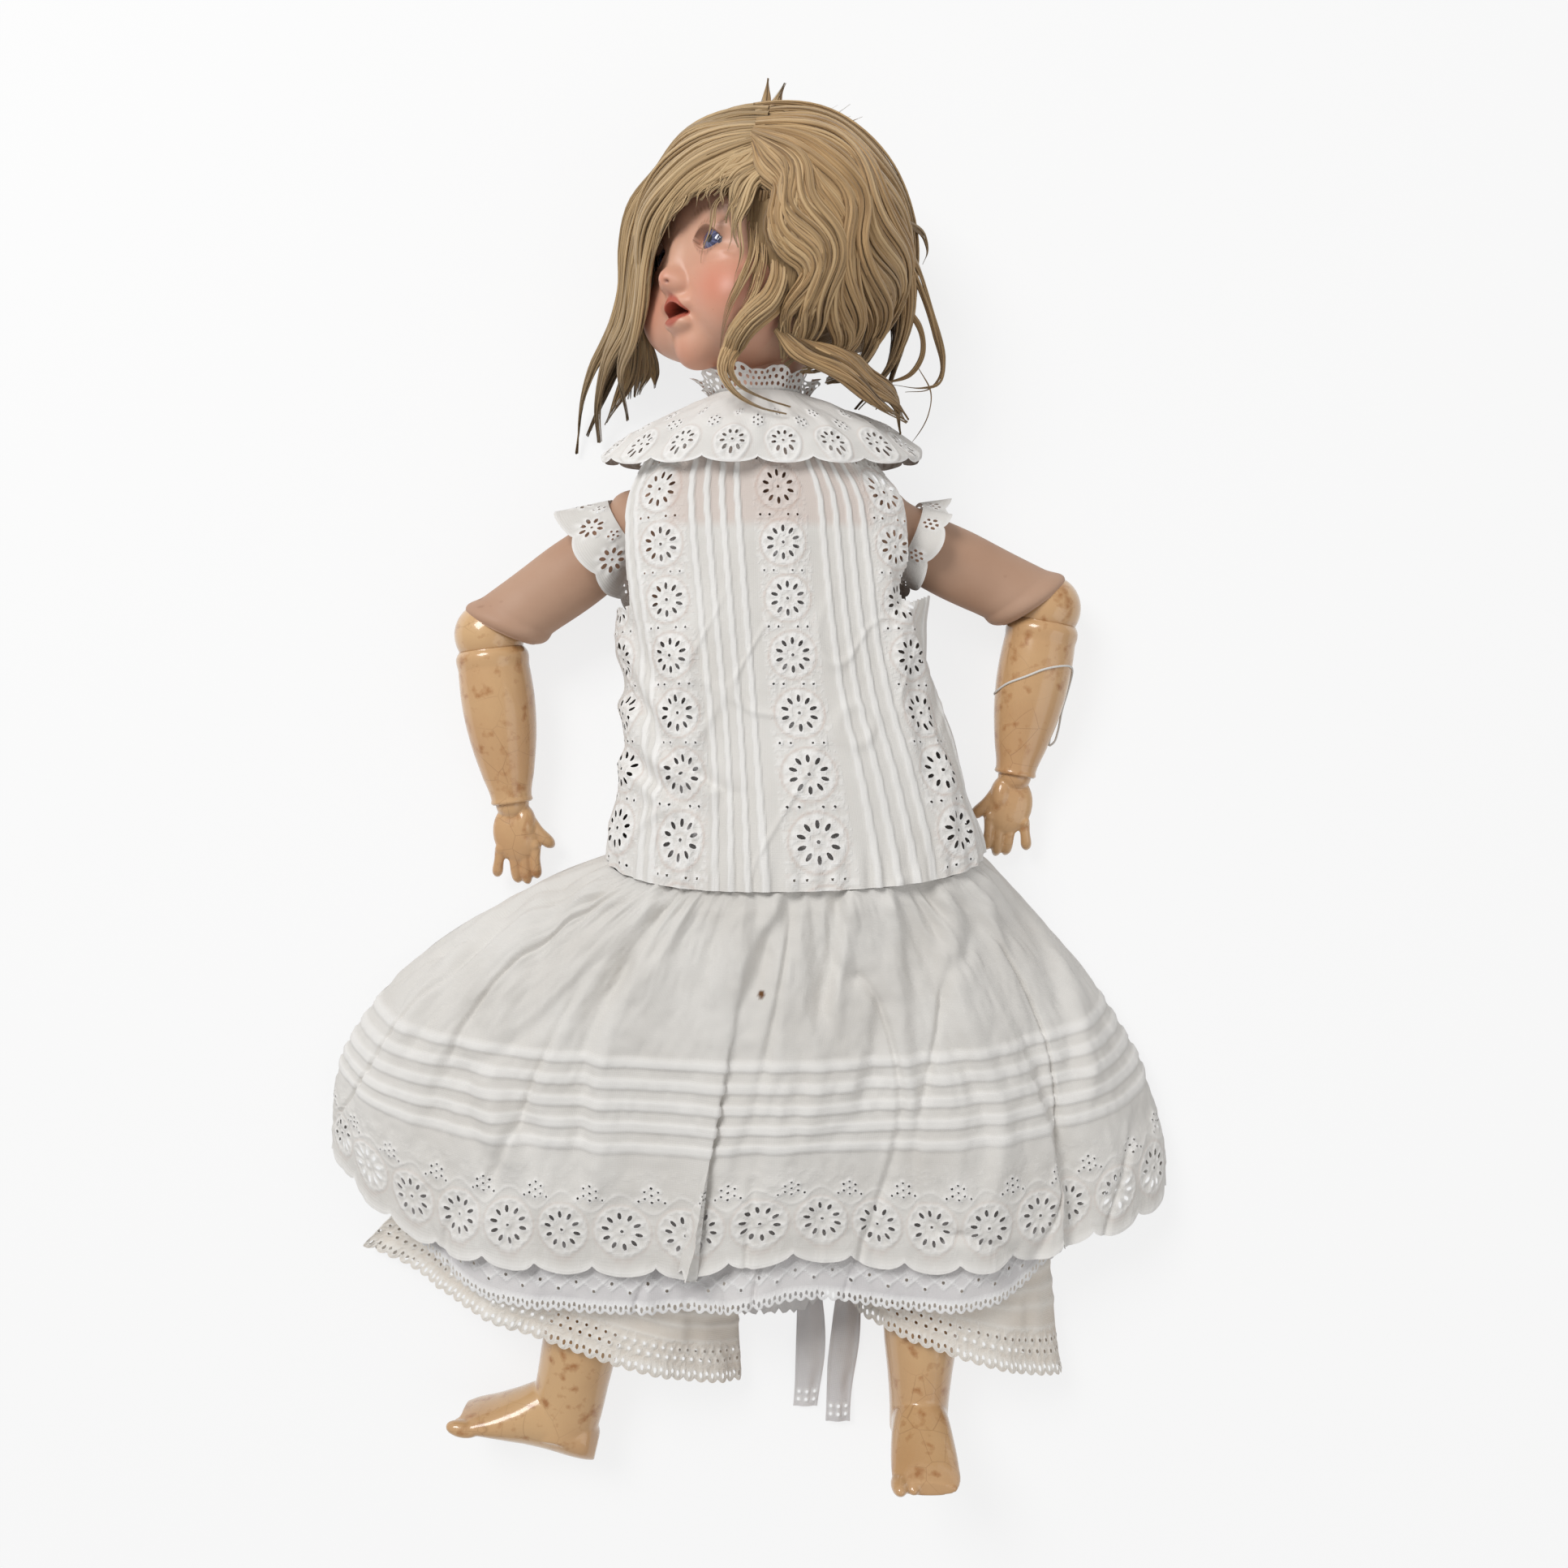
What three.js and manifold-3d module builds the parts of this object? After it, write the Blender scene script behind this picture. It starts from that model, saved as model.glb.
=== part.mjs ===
// Antique bisque-head doll on a ball-jointed composition body, dressed in white cotton.
// It lies on its back. Millimetres, +Z up from the table, +Y towards the head, +X to the doll's left.
import * as THREE from 'three';
import { mergeVertices } from 'three/addons/utils/BufferGeometryUtils.js';
import Module from 'manifold-3d';

const wasm = await Module();
wasm.setup();

// Cloth and fits
const cotton = 1;
const fit = 0.3;
const ballSides = 12;
const pressedFlat = 0.5;

// Head, measured from the centre of the neck joint with the face along +Z
const neckHeight = 187;
const neckRise = 54;
const headTurn = -50;
const headTilt = -5;
const skullHalfWidth = 50;
const skullHalfHeight = 53;
const skullHalfDepth = 56;
const skullCentre = 72;
const bisqueWall = 4;
const neckBallRadius = 20;
const neckHoleRadius = 7;
const crownOpening = 33;
const crownSlant = -18;
const eyeHeight = 58;
const eyeSpacing = 36;
const eyeRadius = 9.5;
const eyeSlitLength = 18;
const eyeSlitHeight = 11;
const mouthHeight = 27;
const mouthWidth = 15;
const mouthOpening = 6;
const toothSize = 3;
const toothCount = 4;
const hairThickness = 17;
const hairlineHeight = 84;
const faceWindowWidth = 74;

// Torso
const neckAboveRim = 5;
const torsoTop = neckHeight - neckAboveRim;
const torsoLength = 260;
const hipHalfWidth = 62;
const torsoHalfDepth = 39.5;
const torsoWall = 5;
const socketWall = 4;
const elasticRadius = 1.6;
const elasticHole = 6;

// Arms
const shoulderSpacing = 120;
const shoulderDrop = 55;
const shoulderHeight = torsoTop - shoulderDrop;
const shoulderRise = 40;
const shoulderBallRadius = 19;
const upperArmLength = 95;
const upperArmRadius = 18;
const elbowBallRadius = 17.5;
const elbowSeat = 7.4;
const elbowCutSlant = 30;
const elbowMostBend = 78;
const armHighest = 136;
const armLift = 25;
const hookRadius = 4;
const forearmLength = 86;
const forearmRadius = 18.5;
const wristRadius = 10.3;
const wristBallRadius = 8.6;
const palmLength = 25;
const palmWidth = 24;
const palmThickness = 13;
const fingerLength = 17;
const fingerRadius = 3.1;

// Legs
const hipSpacing = 64;
const hipAboveCrotch = 18;
const hipHeight = torsoTop - torsoLength + hipAboveCrotch;
const hipRise = 38.5;
const hipBallRadius = 21;
const thighLength = 132;
const thighRadius = 24;
const kneeBallRadius = 18.5;
const kneeSeat = 6;
const kneeMostBend = 40;
const legWidest = 30;
const shinLength = 136;
const calfRadius = 20;
const ankleRadius = 13.5;
const soleDrop = 23;
const heelReach = 19;
const footLength = 76;
const footWidth = 33;

// Limb directions in degrees: swing turns a limb away from straight down, dip lowers its far end.
// The hems are how far a leg of the drawers spreads at its hem, beyond and inside of the leg.
const rightArm = { side: -1, swing: 56.5, dip: 10.8, foreSwing: -7, foreDip: 4 };
const leftArm = { side: 1, swing: 66, dip: 10.8, foreSwing: -10, foreDip: 4 };
const rightLeg = { side: -1, swing: 17, dip: 3.7, shinSwing: 12, turnOut: 90, hemOuter: 122, hemInner: 51 };
const leftLeg = { side: 1, swing: 23, dip: 3.7, shinSwing: -1.2, turnOut: 0, hemOuter: 78, hemInner: 36 };

// Clothes
const bodiceTop = torsoTop - 4;
const bodiceDrop = 161;
const bodiceHem = shoulderHeight - bodiceDrop;
const bodiceFrontDip = 16;
const armholeReach = 44;
const armholeHalfHeight = 26;
const skirtLength = 165;
const skirtFrontExtra = 18;
const skirtSpreadRight = 147;
const skirtSpreadLeft = 100;
const skirtFlareRight = 3;
const skirtFlareLeft = 1.9;
const skirtHemHeight = 70;
const skirtEdge = 7;
const foldCount = 6;
const foldDepth = 7;
const lapReach = 14;
const petticoatShows = 0.13;
const petticoatTail = 52;
const bandEase = 1.2;
const drawersTop = hipHeight + 72;
const crotchEase = 15;
const drawersLength = 225;
const collarHalfWidth = 78;
const collarFrontDrop = 34;
const collarSideDrop = 18;
const collarStand = 3.4;
const scallopCount = 12;
const scallopDepth = 3;
const sleeveWidth = 30;
const sleeveLength = 20;
const sleeveStart = 20;
const tieWidth = 14;
const tieSpacing = 20;
const tieLength = 68;
const tieStart = 20;

// Finishes: colour, roughness, metalness
const bisque = [0xe9b8a2, 0.5, 0];
const cork = [0xa9855a, 0.9, 0];
const mohair = [0xc2a26a, 0.8, 0];
const glassEye = [0x6d7fae, 0.1, 0];
const porcelain = [0xf6efe4, 0.3, 0];
const redFelt = [0xa84a3d, 0.8, 0];
const lead = [0x6c6c70, 0.6, 0.7];
const wood = [0xb98d5b, 0.7, 0];
const steel = [0x8d8d90, 0.35, 1];
const rubberCord = [0x4a443d, 0.85, 0];
const mattePaint = [0xd9a98a, 0.6, 0];
const varnish = [0xd8a869, 0.25, 0];
const whiteCotton = [0xefece8, 0.9, 0];
const creamCotton = [0xeae2d4, 0.9, 0];

const radians = THREE.MathUtils.degToRad;
const point = (x, y, z) => new THREE.Vector3(x, y, z);
const origin = point(0, 0, 0);

// A closed geometry as a solid that can be cut and joined
function solid(geometry) {
  const bare = geometry.index ? geometry.toNonIndexed() : geometry.clone();
  bare.deleteAttribute('normal');
  bare.deleteAttribute('uv');
  const merged = mergeVertices(bare, 1e-4);
  const corners = merged.index.array;
  const kept = [];
  for (let i = 0; i < corners.length; i += 3) {
    const [a, b, c] = corners.slice(i, i + 3);
    if (a !== b && b !== c && c !== a) kept.push(a, b, c);
  }
  const made = new wasm.Manifold(new wasm.Mesh({
    numProp: 3,
    vertProperties: merged.attributes.position.array,
    triVerts: new Uint32Array(kept),
  }));
  return made;
}

function geometryOf(made) {
  const mesh = made.getMesh();
  const geometry = new THREE.BufferGeometry();
  geometry.setAttribute('position', new THREE.BufferAttribute(mesh.vertProperties, 3));
  geometry.setIndex(new THREE.BufferAttribute(mesh.triVerts, 1));
  return geometry;
}

const moved = (geometry, at) => geometry.clone().translate(at.x, at.y, at.z);

function ball(radius, at = origin, around = ballSides) {
  return solid(moved(new THREE.SphereGeometry(radius, around, around / 2), at));
}

// A direction from a ball's centre: degrees down from +Y, then round from the inner side of the limb
function towards(side, down, round = 0) {
  const level = Math.sin(radians(down));
  const inward = level * Math.cos(radians(round));
  return point(-side * inward, Math.cos(radians(down)), level * Math.sin(radians(round)));
}

// The room for a ball: no facet comes nearer than the fit, and one meets the ball's corner at that gap
function socket(radius, at, corner, turn = new THREE.Quaternion()) {
  const half = 180 / ballSides;
  const room = (radius + fit) / Math.cos(radians(half)) ** 2;
  const facet = towards(1, 90 - half, half);
  const nested = turn.clone().multiply(new THREE.Quaternion().setFromUnitVectors(facet, corner));
  const shape = new THREE.SphereGeometry(room, ballSides, ballSides / 2).applyQuaternion(nested);
  return solid(moved(shape, at));
}

function ellipsoid(radii, at, around = 20) {
  const shape = new THREE.SphereGeometry(1, around, around / 2).scale(radii.x, radii.y, radii.z);
  return solid(moved(shape, at));
}

// A straight rod or cone between two points
function rod(startRadius, endRadius, start, end, sides = 12) {
  const along = end.clone().sub(start);
  const shape = new THREE.CylinderGeometry(endRadius, startRadius, along.length(), sides);
  shape.translate(0, along.length() / 2, 0);
  shape.applyQuaternion(new THREE.Quaternion().setFromUnitVectors(point(0, 1, 0), along.normalize()));
  return solid(moved(shape, start));
}

// A block that takes away everything beyond a plane
function beyond(through, normal, size = 300) {
  const shape = new THREE.BoxGeometry(size, size, size).translate(0, size / 2, 0);
  const facing = normal.clone().normalize();
  shape.applyQuaternion(new THREE.Quaternion().setFromUnitVectors(point(0, 1, 0), facing));
  return solid(moved(shape, through));
}

// Triangles over a grid of loops; turned makes the skin face the other way
function skin(loops, first, turned, triangles) {
  const around = loops[0].length;
  for (let row = 0; row < loops.length - 1; row++) {
    for (let i = 0; i < around; i++) {
      const next = (i + 1) % around;
      const a = first + row * around + i;
      const b = first + row * around + next;
      const c = first + (row + 1) * around + next;
      const d = first + (row + 1) * around + i;
      if (turned) triangles.push(a, c, b, a, d, c);
      else triangles.push(a, b, c, a, c, d);
    }
  }
}

// Builds a solid from points and triangles, facing out whichever way its loops run
function facingOut(points, triangles) {
  const geometry = new THREE.BufferGeometry().setFromPoints(points);
  let volume = 0;
  for (let i = 0; i < triangles.length; i += 3) {
    const [a, b, c] = triangles.slice(i, i + 3).map((corner) => points[corner]);
    volume += a.dot(b.clone().cross(c));
  }
  const order = volume < 0 ? triangles.slice().reverse() : triangles;
  geometry.setIndex(order);
  return solid(geometry);
}

// A solid skinned over a row of closed loops, with a flat fan on each end
function loft(loops) {
  const points = loops.flat();
  const around = loops[0].length;
  const triangles = [];
  skin(loops, 0, false, triangles);
  const centreOf = (loop) => loop.reduce((sum, p) => sum.add(p), point(0, 0, 0)).divideScalar(around);
  const start = points.push(centreOf(loops[0])) - 1;
  const end = points.push(centreOf(loops[loops.length - 1])) - 1;
  const last = (loops.length - 1) * around;
  for (let i = 0; i < around; i++) {
    const next = (i + 1) % around;
    triangles.push(start, next, i, end, last + i, last + next);
  }
  return facingOut(points, triangles);
}

// The outward direction at each point of a grid of loops
function outwards(loops) {
  const around = loops[0].length;
  const rows = loops.length;
  const normals = loops.map((loop, row) => loop.map((p, i) => {
    const across = loop[(i + 1) % around].clone().sub(loop[(i + around - 1) % around]);
    const along = loops[Math.min(row + 1, rows - 1)][i].clone().sub(loops[Math.max(row - 1, 0)][i]);
    return across.cross(along).normalize();
  }));
  const middle = loops[0].reduce((sum, p) => sum.add(p), point(0, 0, 0)).divideScalar(around);
  const facing = normals[0].reduce((sum, n, i) => sum + n.dot(loops[0][i].clone().sub(middle)), 0);
  if (facing < 0) normals.flat().forEach((n) => n.negate());
  return normals;
}

// A tube of cloth whose outer face is a grid of loops
function clothTube(loops, thickness = cotton) {
  const normals = outwards(loops);
  const inner = loops.map((loop, row) => loop.map(
    (p, i) => p.clone().addScaledVector(normals[row][i], -thickness)));
  const points = [...loops.flat(), ...inner.flat()];
  const around = loops[0].length;
  const half = loops.length * around;
  const last = half - around;
  const triangles = [];
  skin(loops, 0, false, triangles);
  skin(inner, half, true, triangles);
  for (let i = 0; i < around; i++) {
    const next = (i + 1) % around;
    triangles.push(i, half + next, next, i, half + i, half + next);
    triangles.push(last + i, last + next, half + last + next);
    triangles.push(last + i, half + last + next, half + last + i);
  }
  return facingOut(points, triangles);
}

// Angles once round, in even steps over the front half and over the back half
const anglesRound = (front, back) => [
  ...Array.from({ length: front }, (_, i) => (Math.PI * i) / front),
  ...Array.from({ length: back }, (_, i) => Math.PI * (1 + i / back)),
];

const bent = (value, power) => Math.sign(value) * Math.abs(value) ** power;

// An oval loop across the Y axis; its back half may be shallower than its front half
function ovalLoop(y, halfWidth, front, back, centre, angles, power = 1) {
  return angles.map((angle) => {
    const rise = bent(Math.sin(angle), power);
    const x = centre.x + bent(Math.cos(angle), power) * halfWidth;
    return point(x, y, centre.z + rise * (rise > 0 ? front : back));
  });
}

// A limb lofted along -Y from stations of [distance, half-width, half-depth, forward shift]
function limb(stations) {
  return loft(stations.map(([distance, width, depth, shift = 0]) => (
    ovalLoop(-distance, width, depth, depth, point(0, 0, shift), anglesRound(5, 5)))));
}

// Linear steps between the rows of a table whose first column is the place
function between(table, place) {
  const last = table.length - 1;
  if (place <= table[0][0]) return table[0].slice(1);
  if (place >= table[last][0]) return table[last].slice(1);
  const row = table.findIndex((entry) => entry[0] > place);
  const [from, to] = [table[row - 1], table[row]];
  const share = (place - from[0]) / (to[0] - from[0]);
  return from.slice(1).map((value, i) => value + (to[i + 1] - value) * share);
}

const doll = new THREE.Group();

function place(group, at, turnX, turnY, turnZ) {
  group.position.copy(at);
  group.rotation.set(radians(turnX), radians(turnY), radians(turnZ), 'ZYX');
  doll.add(group);
  return group;
}

function addPiece(parent, name, made, [color, roughness, metalness]) {
  const material = new THREE.MeshStandardMaterial({ color, roughness, metalness });
  const mesh = new THREE.Mesh(geometryOf(made), material);
  mesh.name = name;
  parent.add(mesh);
}

const turnOf = (swing, dip) => new THREE.Quaternion().setFromEuler(
  new THREE.Euler(radians(dip), 0, radians(swing), 'ZYX'));

// Where a limb that starts at a joint ends, for its swing and dip in degrees
function limbEnd(start, length, swing, dip) {
  const flat = Math.cos(radians(dip)) * length;
  return point(
    start.x + Math.sin(radians(swing)) * flat,
    start.y - Math.cos(radians(swing)) * flat,
    start.z - Math.sin(radians(dip)) * length,
  );
}

// The head's form is a smooth union of round masses, found along rays from inside the skull
const smoothUnion = (a, b, reach) => {
  const overlap = Math.max(reach - Math.abs(a - b), 0) / reach;
  return Math.min(a, b) - (overlap * overlap * reach) / 4;
};

function massDistance(p, centre, radii) {
  const offset = p.clone().sub(centre);
  const first = offset.clone().divide(radii).length();
  const second = offset.clone().divide(radii).divide(radii).length();
  return (first * (first - 1)) / Math.max(second, 1e-6);
}

// Masses of the face as [centre, radii, blend], in shares of the skull's half-sizes
function headMasses() {
  const at = (x, y, z) => point(x * skullHalfWidth, y * skullHalfHeight, z * skullHalfDepth);
  const jaw = skullCentre / skullHalfHeight;
  const mouth = mouthHeight / skullHalfHeight;
  const eyes = eyeHeight / skullHalfHeight;
  const nose = mouth + 0.27;
  const pairs = [-1, 1].flatMap((side) => [
    [at(side * 0.44, mouth + 0.13, 0.61), at(0.38, 0.36, 0.34), 8],
    [at(side * 0.09, nose - 0.03, 0.975), at(0.072, 0.068, 0.064), 3],
    [at(side * 0.98, eyes - 0.15, -0.07), at(0.1, 0.21, 0.13), 4],
  ]);
  return [
    [at(0, jaw, 0), at(1, 1, 1), 1],
    [at(0, mouth + 0.32, 0.29), at(0.82, 0.68, 0.68), 12],
    ...pairs,
    [at(0, mouth - 0.23, 0.71), at(0.2, 0.19, 0.18), 9],
    [at(0, nose, 1.03), at(0.1, 0.1, 0.1), 5],
    [at(0, (nose + eyes) / 2, 0.95), at(0.07, 0.2, 0.08), 6],
    [at(0, mouth + 0.08, 0.93), at(0.2, 0.07, 0.08), 4],
    [at(0, mouth - 0.08, 0.92), at(0.16, 0.065, 0.08), 4],
  ];
}

const masses = headMasses();

function headDistance(p) {
  return masses.reduce((distance, [centre, radii, blend]) => (
    smoothUnion(distance, massDistance(p, centre, radii), blend)), 1000);
}

// A solid whose surface is where a distance function reaches a level, seen from a centre
function rayedSolid(distance, level, centre, around, down) {
  const shape = new THREE.SphereGeometry(1, around, down);
  const corners = shape.attributes.position;
  const farthest = 4 * skullHalfDepth;
  for (let i = 0; i < corners.count; i++) {
    const ray = new THREE.Vector3().fromBufferAttribute(corners, i).normalize();
    let near = 0;
    let far = farthest;
    for (let step = 0; step < 24; step++) {
      const middle = (near + far) / 2;
      if (distance(centre.clone().addScaledVector(ray, middle)) < level) near = middle;
      else far = middle;
    }
    const surface = centre.clone().addScaledVector(ray, near);
    corners.setXYZ(i, surface.x, surface.y, surface.z);
  }
  return solid(shape);
}

const headRays = 22;
const headRings = 16;
const headCore = point(0, skullCentre - 0.3 * skullHalfHeight, 0.15 * skullHalfDepth);
const eyeCentre = (side) => {
  let forward = 0;
  while (headDistance(point(side * eyeSpacing / 2, eyeHeight, forward)) < 0) forward += 0.25;
  return point(side * eyeSpacing / 2, eyeHeight, forward - eyeRadius - 1.4);
};

// A lens shape through the face wall, pointed at both ends
function slit(centre, length, upper, lower, depth) {
  const outline = new THREE.Shape();
  outline.moveTo(-length / 2, 0);
  outline.quadraticCurveTo(0, -2 * lower, length / 2, 0);
  outline.quadraticCurveTo(0, 2 * upper, -length / 2, 0);
  const shape = new THREE.ExtrudeGeometry(outline, { depth, bevelEnabled: false, curveSegments: 5 });
  return solid(moved(shape, centre));
}

function crownBlock(shift) {
  const top = point(0, skullCentre, 0);
  const normal = point(0, Math.cos(radians(crownSlant)), Math.sin(radians(crownSlant)));
  const rise = Math.sqrt(1 - (crownOpening / skullHalfWidth) ** 2) * skullHalfHeight;
  return beyond(top.addScaledVector(normal, rise + shift), normal);
}

function makeHead() {
  const group = place(new THREE.Group(), point(0, neckHeight, neckRise), 0, headTurn, headTilt);
  const outer = rayedSolid(headDistance, 0, headCore, headRays, headRings);
  const inner = rayedSolid(headDistance, -bisqueWall - 2, headCore, headRays / 2, 8);
  const neckTop = point(0, 0.45 * skullHalfHeight, 0);
  const neck = rod(neckBallRadius - 0.6, neckBallRadius + 4, origin, neckTop, 12).add(ball(neckBallRadius));
  const neckBore = neckBallRadius - bisqueWall;
  const bore = ball(neckBore).add(rod(neckBore, neckBore, origin, neckTop, ballSides));
  const hole = rod(neckHoleRadius, neckHoleRadius, origin, point(0, -2 * neckBallRadius, 0));
  const shell = outer.add(neck).subtract(inner).subtract(bore).subtract(hole);
  const eyeCuts = [-1, 1].map((side) => {
    const centre = eyeCentre(side);
    const opening = slit(centre, eyeSlitLength, eyeSlitHeight / 2, eyeSlitHeight / 2, 3 * eyeRadius);
    return socket(eyeRadius, centre, towards(1, 60, 60)).add(opening);
  });
  const lips = point(0, mouthHeight, 0.6 * skullHalfDepth);
  const mouth = slit(lips, mouthWidth, mouthOpening / 3, (2 * mouthOpening) / 3, skullHalfDepth);
  const cut = eyeCuts.reduce((made, tool) => made.subtract(tool), shell).subtract(mouth);
  addPiece(group, 'head', cut.subtract(crownBlock(0)), bisque);
  addPiece(group, 'pate', outer.subtract(inner).intersect(crownBlock(fit)), cork);
  makeMouth(group, inner);
  makeEyes(group);
  makeNeckHook(group, neckBore);
  makeWig(group, outer);
}

// Upper teeth and tongue sit just inside the wall behind the open mouth
function makeMouth(group, cavity) {
  const wallAt = (height) => {
    let forward = 0;
    while (headDistance(point(0, height, forward)) < -bisqueWall - 2) forward += 0.1;
    return forward;
  };
  const gum = mouthHeight + toothSize;
  const back = wallAt(gum) - 1.3 * toothSize;
  const width = toothCount * toothSize;
  const plate = new THREE.BoxGeometry(width, toothSize, toothSize / 2);
  let teeth = solid(moved(plate, point(0, gum, back)));
  for (let i = 0; i < toothCount; i++) {
    const x = (i + 0.5) * toothSize - width / 2;
    const tooth = point(0.52 * toothSize, 0.8 * toothSize, 0.3 * toothSize);
    teeth = teeth.add(ellipsoid(tooth, point(x, gum - toothSize / 2, back), 6));
  }
  addPiece(group, 'upper_teeth', teeth, porcelain);
  const tongueSize = point(mouthWidth / 3, 0.45 * mouthOpening, mouthWidth / 2);
  const low = mouthHeight - 0.6 * mouthOpening;
  const seat = point(0, low, wallAt(low) - 0.55 * mouthWidth);
  addPiece(group, 'tongue', ellipsoid(tongueSize, seat, 10).intersect(cavity), redFelt);
}

// Glass eyes on a plaster bridge, with a lead weight on a wire that makes them close
function makeEyes(group) {
  const [right, left] = [-1, 1].map(eyeCentre);
  addPiece(group, 'right_eye', ball(eyeRadius, right), glassEye);
  addPiece(group, 'left_eye', ball(eyeRadius, left), glassEye);
  const bridgeRadius = eyeRadius / 3;
  const depth = 0.75 * eyeRadius;
  const grip = (centre) => centre.clone().add(point(0, 0, -depth));
  let rocker = rod(bridgeRadius, bridgeRadius, grip(right), grip(left), 8);
  const weightRadius = 0.8 * eyeRadius;
  const middle = grip(right).add(grip(left)).divideScalar(2);
  const weight = middle.clone().add(point(0, -2.2 * eyeRadius, -2.4 * eyeRadius));
  rocker = rocker.add(rod(elasticRadius, elasticRadius, middle, weight, 6));
  rocker = rocker.add(ball(weightRadius, weight, 10));
  [right, left].forEach((centre) => {
    rocker = rocker.add(ball(bridgeRadius * 1.5, grip(centre), 8)).subtract(ball(eyeRadius + fit, centre));
  });
  addPiece(group, 'eye_rocker', rocker, lead);
}

// A wooden button in the neck carries the hook that the leg elastics pull on
function makeNeckHook(group, neckBore) {
  const wire = elasticRadius;
  const halfTurn = Math.PI / ballSides;
  const dome = new THREE.SphereGeometry(neckBore * Math.cos(halfTurn) - fit, ballSides, ballSides / 2);
  const flatTop = beyond(point(0, -0.1 * neckBore, 0), point(0, 1, 0));
  const button = solid(dome.rotateY(halfTurn)).subtract(flatTop);
  const wireHole = rod(1.4 * wire, 1.4 * wire, point(0, -neckBore, 0), origin, 8);
  addPiece(group, 'neck_button', button.subtract(wireHole), wood);
  const top = point(0, -0.1 * neckBore + fit + wire, 0);
  const eye = neckBallRadius / 4;
  const low = point(0, -1.6 * neckBallRadius, 0);
  const ring = new THREE.TorusGeometry(eye, wire, 5, 10);
  const hook = rod(2.5 * wire, 2.5 * wire, top.clone().add(point(0, -wire, 0)), top, 8)
    .add(rod(wire, wire, top, low, 6))
    .add(solid(moved(ring, low.clone().add(point(0, -eye, 0)))));
  addPiece(group, 'neck_hook', hook, steel);
}

// Hair stands off the skull all round, pressed flat where the head lies on the table
function makeWig(group, skull) {
  const centre = point(0, skullCentre - 2, -1);
  const spread = point(skullHalfWidth + hairThickness, skullHalfHeight + 0.62 * hairThickness,
    skullHalfDepth + 0.8 * hairThickness);
  const hair = (grow) => ellipsoid(spread.clone().addScalar(grow), centre, 16);
  const turned = new THREE.Matrix4().makeRotationFromEuler(group.rotation).transpose();
  const floorNormal = point(0, 0, -1).transformDirection(turned);
  const floorAt = point(0, 0, fit - neckRise).applyMatrix4(turned);
  const floor = beyond(floorAt, floorNormal, 400);
  const window = new THREE.Shape();
  window.absellipse(0, hairlineHeight / 2, faceWindowWidth / 2, hairlineHeight / 2 + 2, 0, 2 * Math.PI);
  const opening = { depth: 2 * skullHalfDepth, bevelEnabled: false, curveSegments: 10 };
  const face = solid(new THREE.ExtrudeGeometry(window, opening).translate(0, 0, 0.3 * skullHalfDepth));
  const grownSkull = rayedSolid(headDistance, 2 * fit, headCore, headRays, headRings);
  const neckRoom = rod(1.7 * neckBallRadius, 1.7 * neckBallRadius, point(0, -neckBallRadius, 0),
    point(0, 0.5 * skullHalfHeight, 0), 16);
  const cap = hair(0).subtract(grownSkull).subtract(face).subtract(floor).subtract(neckRoom);
  const tuftFoot = point(0, centre.y + 0.94 * spread.y, 0);
  const tuft = rod(7, 2, tuftFoot, tuftFoot.clone().add(point(1, 1.35 * hairThickness, 2)), 8);
  addPiece(group, 'wig', cap.add(tuft), mohair);
  const locks = [
    ['side_lock_right', 0.9, [[-52, 38, 40], [-70, 20, 36], [-83, -3, 36], [-92, -21, 40]]],
    ['side_lock_left', 0.8, [[22, 96, -54], [32, 84, -74], [30, 56, -84], [20, 27, -86]]],
    ['front_lock', 0.55, [[49, 49, 39], [46, 29, 36], [46, 10, 26], [58, -12, 4]]],
  ];
  for (const [name, size, route] of locks) {
    const curve = new THREE.CatmullRomCurve3(route.map(([x, y, z]) => point(x, y, z)));
    const lock = taperedTube(curve, size * hairThickness, 0.4 * size * hairThickness, 8, 6);
    addPiece(group, name, lock.subtract(hair(fit)).subtract(grownSkull).subtract(floor), mohair);
  }
}

// A tube along a curve whose radius runs from one size to another, closed at both ends
function taperedTube(curve, startRadius, endRadius, around, steps) {
  const frames = curve.computeFrenetFrames(steps);
  const loops = Array.from({ length: steps + 1 }, (_, step) => {
    const share = step / steps;
    const radius = startRadius + (endRadius - startRadius) * share;
    const centre = curve.getPointAt(share);
    return Array.from({ length: around }, (_, i) => {
      const angle = (2 * Math.PI * i) / around;
      return centre.clone()
        .addScaledVector(frames.normals[step], Math.cos(angle) * radius)
        .addScaledVector(frames.binormals[step], Math.sin(angle) * radius);
    });
  });
  return loft(loops);
}

// The torso's outline from neck rim to crotch, as shares of its length, width and depth
const torsoStations = [
  [0, 0.39, 0.51, 1],
  [0.03, 0.55, 0.68, 0.8],
  [0.08, 0.81, 0.84, 0.45],
  [0.14, 0.95, 0.93, 0.15],
  [0.25, 0.98, 0.99, 0],
  [0.4, 0.9, 0.97, 0],
  [0.55, 0.85, 0.95, 0],
  [0.7, 0.92, 0.98, 0],
  [0.82, 1, 1, 0],
  [0.92, 0.97, 0.96, 0],
  [0.97, 0.81, 0.81, 0],
  [1, 0.58, 0.56, 0],
];
const backFloor = cotton - pressedFlat + 2 * fit;
const torsoCentre = backFloor + 2 * (cotton + fit) + torsoHalfDepth;

function torsoSection(y) {
  const [width, depth, rise] = between(torsoStations, (torsoTop - y) / torsoLength);
  return {
    halfWidth: width * hipHalfWidth,
    halfDepth: depth * torsoHalfDepth,
    centre: torsoCentre + rise * (neckRise - torsoCentre),
  };
}

const torsoAngles = anglesRound(10, 10);

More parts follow.
